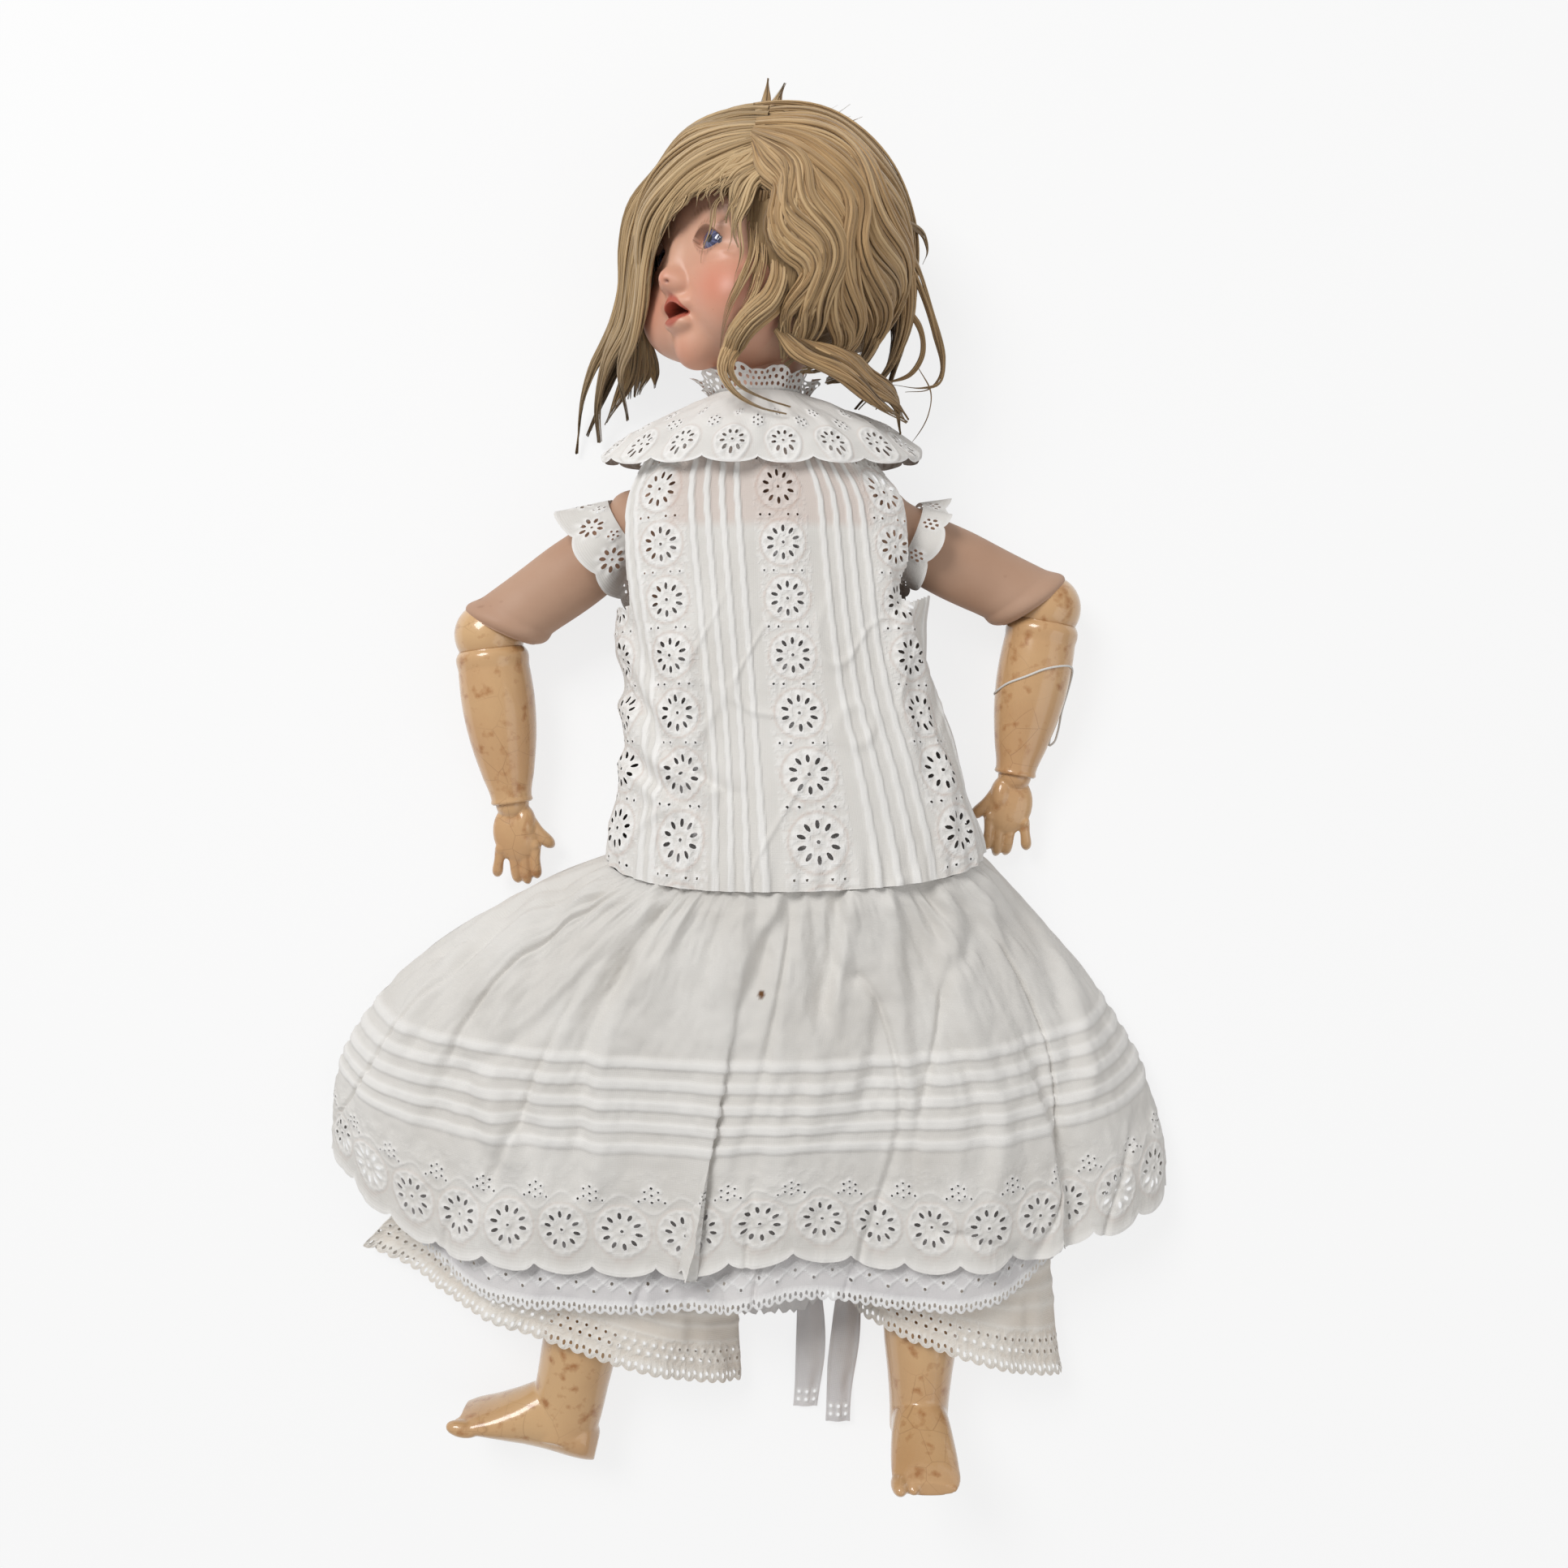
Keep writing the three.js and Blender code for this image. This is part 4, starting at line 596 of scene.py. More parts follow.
def make_upper_arm(name, side, upper):
    rim = math.sqrt(ELBOW_BALL**2 - ELBOW_SEAT**2) + 1.4
    width, depth = UPPER_ARM_RADIUS, 0.86 * UPPER_ARM_RADIUS
    end = UPPER_ARM_LENGTH - ELBOW_SEAT
    ball = [[-r, math.sqrt(SHOULDER_BALL**2 - r**2)] for r in (18.8, 17.5, 15, 11, 6, 1)]
    stations = [[d, r, r] for d, r in ball]
    stations += [
        [6, 17.3, 16.6],
        [0.2 * UPPER_ARM_LENGTH, 0.95 * width, depth],
        [0.45 * UPPER_ARM_LENGTH, width, depth],
        [0.7 * UPPER_ARM_LENGTH, 0.97 * width, 0.99 * depth],
        [end - 1.6 * ELBOW_SEAT, rim + 0.1, rim - 0.6],
        [end - 0.6, rim, rim],
        [end, rim - 0.6, rim - 0.6],
    ]
    shell = limb_loops(stations, steps=110)
    cup = cup_loops(ELBOW_BALL + 0.5, ELBOW_SEAT, rim, 1)[::-1] - np.array([0, UPPER_ARM_LENGTH, 0])
    loops = np.concatenate([shell, cup])
    # The elbow's end is cut on a slant
    slant = math.tan(math.radians(ELBOW_SLANT))
    near_end = smooth_step(-end + 34, -end + 6, loops[..., 1])
    loops[..., 1] -= side * slant * loops[..., 0] * near_end * 0.98
    points, faces = lofted(loops)
    marks = {"hole": np.zeros(len(points))}
    if name == "right":
        away = np.linalg.norm(points - STRING_HOLE, axis=1)
        points[:, 2] -= HOLE_DEPTH * bump_at(away, 0, HOLE_RADIUS)
        # The hole mark paints the shallow dip near black, as painted shade inside the string hole.
        marks = {"hole": smooth_step(HOLE_RADIUS + 1, HOLE_RADIUS - 0.2, away)}
    arm = make_piece(f"{name}_upper_arm_paint", points, faces, skin_paint, f"{name}_upper_arm",
                     marks=marks, matrix=upper)
    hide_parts(f"{name}_upper_arm")


FOREARM_RIM = math.sqrt(ELBOW_BALL**2 - ELBOW_SEAT**2) + 1.2
# Down the forearm: distance from the elbow's centre, half-width and half-depth
FOREARM_STATIONS = [
    [ELBOW_SEAT, FOREARM_RIM - 0.5, FOREARM_RIM - 0.5],
    [ELBOW_SEAT + 0.6, FOREARM_RIM, FOREARM_RIM],
    [0.2 * FOREARM_LENGTH, FOREARM_RIM + 0.9, FOREARM_RIM + 0.6],
    [0.38 * FOREARM_LENGTH, FOREARM_RADIUS, 0.97 * FOREARM_RADIUS],
    [0.6 * FOREARM_LENGTH, 0.92 * FOREARM_RADIUS, 0.86 * FOREARM_RADIUS],
    [0.82 * FOREARM_LENGTH, 0.72 * FOREARM_RADIUS, 0.66 * FOREARM_RADIUS],
    [0.97 * FOREARM_LENGTH, WRIST_RADIUS, WRIST_RADIUS],
    [FOREARM_LENGTH - 0.3, WRIST_RADIUS, WRIST_RADIUS],
    [FOREARM_LENGTH, WRIST_RADIUS - 0.4, WRIST_RADIUS - 0.4],
]


def make_forearm(name, lower):
    cup = cup_loops(ELBOW_BALL + 0.5, ELBOW_SEAT, FOREARM_RIM, -1)
    shell = limb_loops(FOREARM_STATIONS, steps=90)
    wrist = cup_loops(WRIST_BALL + 0.4, 1.0, WRIST_RADIUS - 0.3, 1)[::-1]
    wrist = wrist - np.array([0, FOREARM_LENGTH, 0])
    make_varnished(name, "forearm", *lofted(np.concatenate([cup, shell, wrist])), lower)
    make_varnished(name, "elbow_ball", *ellipsoid((ELBOW_BALL,) * 3, (0, 0, 0), 64, 40), lower, "elbow")


def finger(root, spread, length, radius):
    """A tapering finger that leaves its root at an angle and bows down towards its tip."""
    lean = math.radians(spread)

    def ahead(share, drop):
        return root + length * np.array([math.sin(lean) * share, -math.cos(lean) * share, -drop])

    route = spline([root, ahead(0.5, 0.02), ahead(0.85, 0.16), ahead(1.06, 0.36)], 14)
    share = np.linspace(0, 1, 14)
    radii = radius * (1 - 0.22 * share) + 0.25 * np.cos(share * 9)
    radii[-3:] *= (0.92, 0.72, 0.3)
    return lofted(tube_loops(route, radii, 12))


# Fingers from the thumb's side: share of the full length, and spread in degrees
FINGERS = ((0.92, 6), (1.06, 4), (0.98, 1), (0.76, 19))


def make_hand(name, side, lower):
    width, length, thick = PALM
    forms = [
        ellipsoid((WRIST_BALL,) * 3, (0, 0, 0)),
        ellipsoid((width / 2, 0.62 * length, thick / 2), (0, -0.62 * length, 0)),
        ellipsoid(
            (0.24 * width, 0.4 * length, 0.5 * thick), (-side * 0.22 * width, -0.45 * length, 0.6)),
    ]
    for i, (share, spread) in enumerate(FINGERS):
        across = (i - 1.5) / 1.5
        root = np.array([side * across * 0.36 * width, -0.9 * length, 0.3])
        forms.append(finger(root, side * spread, share * FINGER_LENGTH + 1.5, FINGER_RADIUS))
        forms.append(ellipsoid((2.9, 3.2, 2.6), root + np.array([0, 0, 1.6])))
    thumb = np.array([-side * 0.28 * width, -0.38 * length, 0])
    forms.append(finger(thumb, -side * 33, 1.05 * FINGER_LENGTH, 1.18 * FINGER_RADIUS))
    place = lower @ Matrix.Translation(Vector((0, -FOREARM_LENGTH * MM, 0)))
    make_varnished(name, "hand", *together(forms), place, melt=(0.55, 4))


# Along the foot from heel to toes: share of its length, then shares of its width and of its height
FOOT_STATIONS = [
    [0, 0.34, 0.6],
    [0.04, 0.6, 0.86],
    [0.16, 0.82, 1.15],
    [0.34, 0.86, 1.45],
    [0.48, 0.9, 1.4],
    [0.64, 0.97, 1.06],
    [0.8, 1, 0.72],
    [0.93, 0.97, 0.46],
    [1, 0.84, 0.3],
]
TOES = 5


def make_lower_leg(name, side, swing, dip, shin_swing, turn_out, **_):
    x, y, z = HIP
    upper = placed((side * x, y, z), turn(side * swing, dip))
    knee = upper @ Vector((0, -THIGH_LENGTH * MM, 0))
    spin = Matrix.Rotation(math.radians(side * turn_out), 4, "Y")
    lower = Matrix.Translation(knee) @ turn(side * shin_swing, dip) @ spin
    rim = math.sqrt(KNEE_BALL**2 - KNEE_SEAT**2) + 1
    calf = limb_loops([
        [KNEE_SEAT, rim, rim],
        [0.12 * SHIN_LENGTH, rim + 0.4, rim + 0.4],
        [0.3 * SHIN_LENGTH, CALF_RADIUS, CALF_RADIUS, -0.4],
        [0.5 * SHIN_LENGTH, CALF_RADIUS, CALF_RADIUS, -0.4],
        [0.72 * SHIN_LENGTH, 0.94 * CALF_RADIUS, 0.97 * CALF_RADIUS],
        [0.88 * SHIN_LENGTH, 1.2 * ANKLE_RADIUS, 1.36 * ANKLE_RADIUS],
        [0.97 * SHIN_LENGTH, 1.12 * ANKLE_RADIUS, 1.34 * ANKLE_RADIUS],
        [SHIN_LENGTH + 0.5 * SOLE_DROP, 1.08 * ANKLE_RADIUS, 1.34 * ANKLE_RADIUS, 1],
    ], steps=80)
    cup = cup_loops(KNEE_BALL + 0.5, KNEE_SEAT, rim, -1)
    forms = [lofted(np.concatenate([cup, calf]))]
    share = np.linspace(0, 1, 40)
    width, height = along(FOOT_STATIONS, share).T
    angle = angles(40)
    up = np.where(np.sin(angle) > 0, 1.1, 0.9) * np.sin(angle)
    sole = SHIN_LENGTH + SOLE_DROP
    px = 0.5 * FOOT_WIDTH * width[:, None] * np.cos(angle)
    py = 0.5 * SOLE_DROP * height[:, None] * (1 + up) - sole
    py = py + (TOE_LIFT * share**2)[:, None]
    pz = (share * 0.93 * FOOT_LENGTH - HEEL_REACH)[:, None] + 0 * px
    forms.append(lofted(np.stack([px, py, pz], axis=-1)))
    for i in range(TOES):
        across = (i / (TOES - 1) - 0.5) * 0.8 * FOOT_WIDTH
        big = 1.3 if i == 0 else 1.06 - 0.05 * i
        size = np.array([0.1, 0.095, 0.2]) * FOOT_WIDTH * big
        ahead = (1.0 - 0.035 * i) * FOOT_LENGTH - HEEL_REACH
        forms.append(ellipsoid(size, (side * across, size[1] + TOE_LIFT - sole, ahead - size[2])))
    make_varnished(name, "lower_leg", *together(forms), lower, melt=(0.9, 3))


def on_forearm(degrees, distance):
    """A place just over a forearm's skin; the angle runs from its outer side over the front."""
    width, depth = along(FOREARM_STATIONS, distance) + 0.4
    angle = math.radians(degrees)
    return width * math.cos(angle), -distance, depth * math.sin(angle)


# Where the loose thread lies on the forearm: degrees round it, and distance down it
THREAD_TURNS = [
    (200, 47), (170, 46), (140, 41), (110, 36), (85, 31), (60, 28), (35, 27), (12, 29), (2, 38), (0, 50),
]


def make_thread(lower):
    """A stray white thread that is wound once over the left forearm and hangs down beside it."""
    places = [on_forearm(degrees, distance) for degrees, distance in THREAD_TURNS]
    places += [(17.5, -60, 0.5), (16.6, -66, 0.2), (14.6, -68, 0.2), (14.2, -64, 0.4)]
    steps = 120
    points, faces = lofted(tube_loops(spline(places, steps), np.full(steps, 0.55), 8))
    make_piece("loose_thread", points, faces, white, "left_forearm", matrix=lower)


for name, arm in ARMS.items():
    upper_frame, lower_frame = arm_frames(**arm)
    make_upper_arm(name, arm["side"], upper_frame)
    make_forearm(name, lower_frame)
    make_hand(name, arm["side"], lower_frame)
    if name == "left":
        make_thread(lower_frame)
for name, leg in LEGS.items():
    make_lower_leg(name, **leg)


# Head: a smooth union of round masses, found along rays from inside the skull
def smooth_union(a, b, reach):
    overlap = np.maximum(reach - np.abs(a - b), 0) / reach
    return np.minimum(a, b) - overlap**2 * reach / 4


def mass_distance(points, centre, radii):
    offset = (points - centre) / radii
    first = np.linalg.norm(offset, axis=-1)
    second = np.linalg.norm(offset / radii, axis=-1)
    return first * (first - 1) / np.maximum(second, 1e-6)


def head_masses():
    """Centres and radii of the head's masses, as shares of the skull's radii until the last line,
    and how far in millimetres each blends into the others."""
    jaw, mouth, eyes = SKULL_CENTRE / SKULL.y, MOUTH_HEIGHT / SKULL.y, EYE_HEIGHT / SKULL.y
    nose = mouth + 0.27
    masses = [((0, jaw, 0), (1, 1, 1), 1), ((0, mouth + 0.32, 0.29), (0.82, 0.68, 0.68), 12)]
    for side in (-1, 1):
        masses += [
            ((side * 0.44, mouth + 0.13, 0.61), (0.38, 0.36, 0.34), 8),
            ((side * 0.09, nose - 0.03, 0.975), (0.072, 0.068, 0.064), 3),
            ((side * 0.98, eyes - 0.15, -0.07), (0.1, 0.21, 0.13), 4),
            ((side * 0.36, eyes + 0.1, 0.82), (0.2, 0.06, 0.1), 5),
            ((side * 0.36, eyes - 0.13, 0.84), (0.17, 0.04, 0.07), 4),
        ]
    masses += [
        ((0, mouth - 0.23, 0.71), (0.2, 0.19, 0.18), 9),
        ((0, nose, 1.03), (0.1, 0.1, 0.1), 5),
        ((0, (nose + eyes) / 2, 0.95), (0.07, 0.2, 0.08), 6),
        ((0, mouth + 0.08, 0.93), (0.2, 0.07, 0.08), 4),
        ((0, mouth - 0.08, 0.92), (0.16, 0.065, 0.08), 4),
    ]
    size = np.array(SKULL)
    return [(np.array(c) * size, np.array(r) * size, blend) for c, r, blend in masses]


MASSES = head_masses()
FAR_AWAY = 1000.0
# The longest way out of the head, and how often it is halved to find the skin
RAY_LENGTH = 120.0
HALVINGS = 20


def head_distance(points):
    """How far points are outside the head, with negative numbers inside it."""
    distance = np.full(points.shape[:-1], FAR_AWAY)
    for centre, radii, blend in MASSES:
        distance = smooth_union(distance, mass_distance(points, centre, radii), blend)
    return distance


def head_surface(directions):
    """Where rays from the head's core leave it, found by halving."""
    near = np.zeros(directions.shape[:-1])
    far = np.full(near.shape, RAY_LENGTH)
    for _ in range(HALVINGS):
        middle = (near + far) / 2
        inside = head_distance(np.array(HEAD_CORE) + directions * middle[..., None]) < 0
        near, far = np.where(inside, middle, near), np.where(inside, far, middle)
    return np.array(HEAD_CORE) + directions * near[..., None]


def head_matrix():
    turned = Euler((0, math.radians(HEAD_TURN), math.radians(HEAD_TILT)), "XYZ").to_matrix().to_4x4()
    return Matrix.Translation(NECK * MM) @ turned


HEAD = head_matrix()


def lens(x, y, half_length, upper, lower):
    """Under 1 inside an almond outline, 1 on it."""
    reach = np.clip(1 - (x / half_length) ** 2, 1e-4, 1)
    return np.maximum(np.abs(y) / (np.where(y > 0, upper, lower) * reach), np.abs(x) / half_length)


# The grid over the head: its points round the head, and up it
HEAD_COLUMNS = 480
HEAD_ROWS = 300
# Almond outlines: half-length, then height above and below the middle
EYE_OPENING = (7.2, 5.4, 4.4)
MOUTH_OPENING = (7.8, 4.2, 2.6)
LIPS = (8.6, 4.4, 3.7)
# How deep the eyes and the mouth are sunk
EYE_SINK = 5
MOUTH_SINK = 10
# The middles of a nostril and of a cheek: how far aside, and how far up the head
NOSTRIL = (2.7, 39.2)
CHEEK = (27, 36)
# Down the neck: distance below its joint, half-width and half-depth
NECK_STATIONS = [
    [-26, 23.5, 23.5],
    [-16, 21.2, 21.2],
    [-6, 19.8, 19.8],
    [0, 19.9, 19.9],
    [8, 18.2, 18.2],
    [14, 14.2, 14.2],
    [18.5, 7.5, 7.5],
]


def ray_directions():
    """Directions out of the head's core, closer together over the face."""
    turns = np.linspace(-1, 1, HEAD_COLUMNS, endpoint=False)
    longitude = math.pi * (0.42 * turns + 0.58 * turns**3)
    tilt = np.interp(np.linspace(0, 1, HEAD_ROWS), [0, 0.12, 0.84, 1], [-89, -62, 24, 89])
    latitude = np.radians(tilt)[:, None]
    return np.stack([
        np.cos(latitude) * np.sin(longitude),
        np.sin(latitude) + 0 * longitude,
        np.cos(latitude) * np.cos(longitude),
    ], axis=-1)


def painted_hairs(x, y, eye):
    """How strongly the brows and the lashes are painted."""
    brow = np.zeros_like(x)
    lash = np.zeros_like(x)
    for side in (-1, 1):
        across = (x - side * EYE_SPACING / 2) * side
        arch = EYE_HEIGHT + 14.5 - 0.028 * (across - 1) ** 2
        stroke = 0.75 + 0.25 * np.sin(across * 3.1 + y * 1.5)
        ends = smooth_step(-11, -6, across) * smooth_step(14, 7, across)
        brow += bump_at(y, arch, 1.7) * ends * stroke
        edge = bump_at(eye, 1.1, 0.1) * (y > EYE_HEIGHT - 1)
        strokes = (0.5 + 0.5 * np.sin(across * 4.2)) * bump_at(eye, 1.5, 0.22)
        lash += np.where(across > -11, edge + 0.55 * strokes * (np.abs(across) < 12), 0)
    return brow, lash


def make_head():
    directions = ray_directions()
    points = head_surface(directions)
    x, y, z = np.moveaxis(points, -1, 0)
    front = z > 20
    eye = np.minimum(*[
        lens(x - side * EYE_SPACING / 2, y - EYE_HEIGHT, *EYE_OPENING) for side in (-1, 1)
    ])
    mouth = lens(x, y - MOUTH_HEIGHT, *MOUTH_OPENING)
    sink = EYE_SINK * smooth_step(1.06, 0.94, eye) + MOUTH_SINK * smooth_step(1.08, 0.9, mouth)
    lid = bump_at(eye, 1.22, 0.12) * 0.5 + bump_at(mouth, 1.25, 0.16) * 0.5
    nostril = np.zeros_like(x)
    for side in (-1, 1):
        distance = np.hypot(x - side * NOSTRIL[0], (y - NOSTRIL[1]) * 1.3)
        nostril += np.where(z > 55, bump_at(distance, 0, 1.0), 0)
    philtrum = np.where(z > 50, bump_at(x, 0, 1.4) * bump_at(y, 34.8, 2.4), 0)
    moved = np.where(front, lid - sink, 0) - 1.2 * nostril - 0.6 * philtrum
    points = points + directions * moved[..., None]
    cheeks = sum(
        bump_at(np.hypot((x - side * CHEEK[0]) / 1.15, y - CHEEK[1]), 0, 15) for side in (-1, 1)
    )
    chin = bump_at(np.hypot(x, y - 10), 0, 9)
    nose = bump_at(np.hypot(x, y - 41), 0, 5)
    brow, lash = painted_hairs(x, y, eye)
    lips = smooth_step(2.05, 1.5, lens(x, y - MOUTH_HEIGHT - 0.2, *LIPS))
    face = np.where(front, 1.0, 0.0)
    marks = {
        "blush": np.clip(0.62 * cheeks + 0.3 * chin + 0.35 * nose, 0, 0.75) * face,
        "brow": np.clip(0.55 * brow + 0.7 * lash, 0, 0.85) * face,
        "shadow": 0.2 * bump_at(eye, 1.35, 0.4) * face,
        "lips": lips * face * 0.85,
        # Painted shade inside the sunk mouth and in the nostrils
        "dark": np.clip(smooth_step(0.98, 0.8, mouth) * face + 0.8 * nostril, 0, 1),
    }
    points, faces = lofted(points)
    marks = {mark: np.append(values.ravel(), [0, 0]) for mark, values in marks.items()}
    head = make_piece(
        "bisque_head", points, faces, bisque, "head", marks=marks, matrix=HEAD)
    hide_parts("head")
    points, faces = lofted(limb_loops(NECK_STATIONS))
    plain = {mark: np.zeros(len(points)) for mark in marks}
    make_piece("bisque_neck", points, faces, bisque, "head", marks=plain, matrix=HEAD)


def eye_place(side):
    """The middle of an eye that lies just inside the face."""
    forward = 0.0
    while head_distance(np.array([side * EYE_SPACING / 2, EYE_HEIGHT, forward])) < 0:
        forward += 0.25
    return np.array([side * EYE_SPACING / 2, EYE_HEIGHT, forward - EYE_RADIUS - 0.7])


# Radii on a glass eye as shares of its own radius
IRIS = 0.56
PUPIL = 0.185


def make_eyes():
    for side, name in ((-1, "right"), (1, "left")):
        centre = eye_place(side)
        tilt = np.concatenate([np.linspace(0.01, 0.62, 40), np.linspace(0.66, math.pi - 0.02, 30)])
        tilt = tilt[:, None]
        angle = angles(72)
        spread = np.sin(tilt)
        loops = centre + EYE_RADIUS * np.stack(
            [spread * np.cos(angle), spread * np.sin(angle), np.cos(tilt) + 0 * angle], axis=-1)
        aside = np.sin(tilt) * np.cos(angle) - math.sin(EYE_TURN)
        look = np.hypot(aside, np.sin(tilt) * np.sin(angle)) + 2 * (tilt > 1.5)
        marks = {
            "iris": smooth_step(IRIS + 0.02, IRIS - 0.02, look),
            "pupil": smooth_step(PUPIL + 0.015, PUPIL - 0.015, look),
            "rim": bump_at(look, IRIS, 0.045),
            "rays": 0.5 + 0.5 * np.sin(angle * 22 + 3 * np.sin(angle * 5)) + 0 * look,
        }
        points, faces = lofted(loops)
        marks = {
            mark: np.append(values.ravel(), values.ravel()[[0, -1]]) for mark, values in marks.items()
        }
        eye = make_piece(f"{name}_glass_eye", points, faces, eye_glass, "eyes",
                         marks=marks, matrix=HEAD)
        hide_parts(f"{name}_eye")


make_head()
make_eyes()


# Cloth
def cut_holes(u, v, closed, holes):
    """A grid of cloth with oval holes, each given as its place, lean, half-length and half-width.
    Gives the grid's points, moved onto the outlines of the holes, the faces that are cut away, and
    how near each point is to a stitched edge."""
    across, down = np.meshgrid(u, v)
    cut = np.zeros((len(v) - 1, len(u) if closed else len(u) - 1), bool)
    stitched = np.zeros_like(across)
    for hole_u, hole_v, lean, long, wide in holes:
        reach = max(long, wide) + 1.6
        first, last = np.searchsorted(u, [hole_u - reach, hole_u + reach])
        top, low = np.searchsorted(v, [hole_v - reach, hole_v + reach])
        if last - first < 3 or low - top < 3:
            continue
        block = (slice(top, low), slice(first, last))
        du, dv = across[block] - hole_u, down[block] - hole_v
        cos, sin = math.cos(lean), math.sin(lean)
        a, b = (du * cos + dv * sin) / long, (dv * cos - du * sin) / wide
        q = np.hypot(a, b)
        face_a = (a[1:, 1:] + a[:-1, 1:] + a[1:, :-1] + a[:-1, :-1]) / 4
        face_b = (b[1:, 1:] + b[:-1, 1:] + b[1:, :-1] + b[:-1, :-1]) / 4
        inside = np.hypot(face_a, face_b) < 1
        padded = np.pad(inside, 1)
        around = [padded[1:, 1:], padded[:-1, 1:], padded[1:, :-1], padded[:-1, :-1]]
        edge = np.logical_or.reduce(around) & ~np.logical_and.reduce(around)
        pull = np.where(edge, 1 / np.maximum(q, 0.2), 1)
        across[block] = hole_u + du * pull
        down[block] = hole_v + dv * pull
        cut[top:low - 1, first:last - 1] |= inside
        stitched[block] = np.maximum(stitched[block], bump_at((q - 1) * min(long, wide), 0, 0.9))
    return across, down, cut, stitched


def directions_out(points, closed):
    """The direction out of a grid of cloth at each of its points."""
    if closed:
        wrapped = np.concatenate([points[:, -1:], points, points[:, :1]], axis=1)
        along_u = wrapped[:, 2:] - wrapped[:, :-2]
    else:
        along_u = np.gradient(points, axis=1)
    out = np.cross(np.gradient(points, axis=0), along_u)
    return out / (np.linalg.norm(out, axis=-1)[..., None] + 1e-9)


def make_sheet(name, body, material, surface, u, v, closed=True, holes=(), height=None,
               marks=None, keep=None, floor_at=0.35, matrix=None):
    """A sheet of cloth: surface gives its points from its flat coordinates in millimetres, u across
    towards the doll's left and v down; height raises it, and marks go to its material. Keep says
    which faces stay, from their middles, and no point lies lower than floor_at."""
    across, down, cut, stitched = cut_holes(u, v, closed, holes)
    points = surface(across, down)
    if height is not None:
        raised = height(across, down) + 0.25 * stitched
        points = points + directions_out(points, closed) * raised[..., None]
    if floor_at is not None:
        points[..., 2] = np.maximum(points[..., 2], floor_at)
    faces = grid_faces(len(v), len(u), closed)[:, ::-1]
    kept = ~cut.ravel()
    if keep is not None:
        middle = points.reshape(-1, 3)[faces].mean(axis=1)
        kept &= keep(middle)
    faces = faces[kept]
    used = np.unique(faces)
    renumber = np.full(points.size // 3, -1)
    renumber[used] = np.arange(len(used))
    named = {"raised": stitched * 0.8, "sheer": 0 * stitched, "spot": 0 * stitched}
    for mark, rule in (marks or {}).items():
        named[mark] = np.clip(named[mark] + rule(across, down), 0, 1)
    uv = np.stack([across, down], axis=-1).reshape(-1, 2)[used]
    named = {mark: values.ravel()[used] for mark, values in named.items()}
    return make_piece(name, points.reshape(-1, 3)[used], renumber[faces], material, body,
                      uv=uv, marks=named, matrix=matrix)


class Round:
    """Distances along a closed loop, from the middle of the front, positive towards the doll's left."""

    STEPS = 6001

    def __init__(self, loop):
        angle = np.linspace(-FRONT, 3 * FRONT, self.STEPS)
        steps = np.linalg.norm(np.diff(loop(angle), axis=0), axis=1)
        length = np.concatenate([[0], np.cumsum(steps)])
        self.whole = length[-1]
        middle = np.interp(FRONT, angle, length)
        self.place, self.angle = (middle - length)[::-1], angle[::-1]
        self.low = self.place[0]

    def at(self, place):
        """The angle at a distance along the loop."""
        return np.interp((place - self.low) % self.whole + self.low, self.place, self.angle)

    def columns(self, start, end, fine, coarse):
        """Places for a grid's columns: closely spaced from start to end, then wider all round."""
        front = np.arange(start, end, fine)
        count = int((self.whole - end + start) / coarse) + 2
        return np.concatenate([front, np.linspace(end, start + self.whole, count)[:-1]])


def round_hole(u, v, radius):
    return (u, v, 0, radius, radius)


def wheel(u, v, inner, outer, count, width, start=0.0):
    """A ring of almond eyelets round a small centre hole."""
    middle, long = (inner + outer) / 2, (outer - inner) / 2
    holes = [round_hole(u, v, 0.75)]
    for i in range(count):
        angle = start + 2 * math.pi * i / count
        holes.append((u + middle * math.cos(angle), v + middle * math.sin(angle), angle, long, width))
    return holes


def dots(u, v, radius, count, size=0.7):
    """A ring of small round holes with one in its middle."""
    ring = [round_hole(u, v, size)]
    for i in range(count):
        angle = 2 * math.pi * (i + 0.5) / count
        ring.append(round_hole(u + radius * math.cos(angle), v + radius * math.sin(angle), size))
    return ring


def drawn_folds(x, y, folds, depth, spread):
    """The relief of drawn folds. Each has a height and a width, then the places it runs
    through from its upper end to its lower one; the cloth stands up on its left-hand side. Depth
    and spread multiply all the heights and widths."""
    relief = np.zeros_like(x)
    for height, width, *places in folds:
        rows = np.array(places[::-1], float)[:, ::-1]
        low, high = rows[0, 0], rows[-1, 0]
        beside = (x - along(rows, y)[..., 0]) / (spread * width)
        there = smooth_step(low - 14, low + 8, y) * smooth_step(high + 5, high - 10, y)
        relief -= depth * height * there * np.tanh(3 * beside) * np.exp(-(beside**2))
    return relief


def ring_relief(u, v, centres, radius, width=0.7, teeth=0, depth=0.0):
    """How raised the cloth is on stitched rings round the given centres."""
    raised = np.zeros_like(u)
    for centre_u, centre_v in centres:
        near = (np.abs(u - centre_u) < radius + 4) & (np.abs(v - centre_v) < radius + 4)
        du, dv = u[near] - centre_u, v[near] - centre_v
        wavy = radius + depth * np.cos(teeth * np.arctan2(dv, du))
        raised[near] = np.maximum(raised[near], bump_at(np.hypot(du, dv), wavy, width))
    return raised


def torso_section(y):
    """The torso's half-width, half-depth and middle height at a place along it."""
    stations = along(TORSO_STATIONS, (TORSO_TOP - y) / TORSO_LENGTH)
    width, depth, rise = np.moveaxis(stations, -1, 0)
    centre = TORSO_CENTRE + rise * (NECK.z - TORSO_CENTRE)
    return width * HIP_HALF_WIDTH, depth * TORSO_HALF_DEPTH, centre


# How far the waist seam hangs lower in front
SEAM_DIP = 16


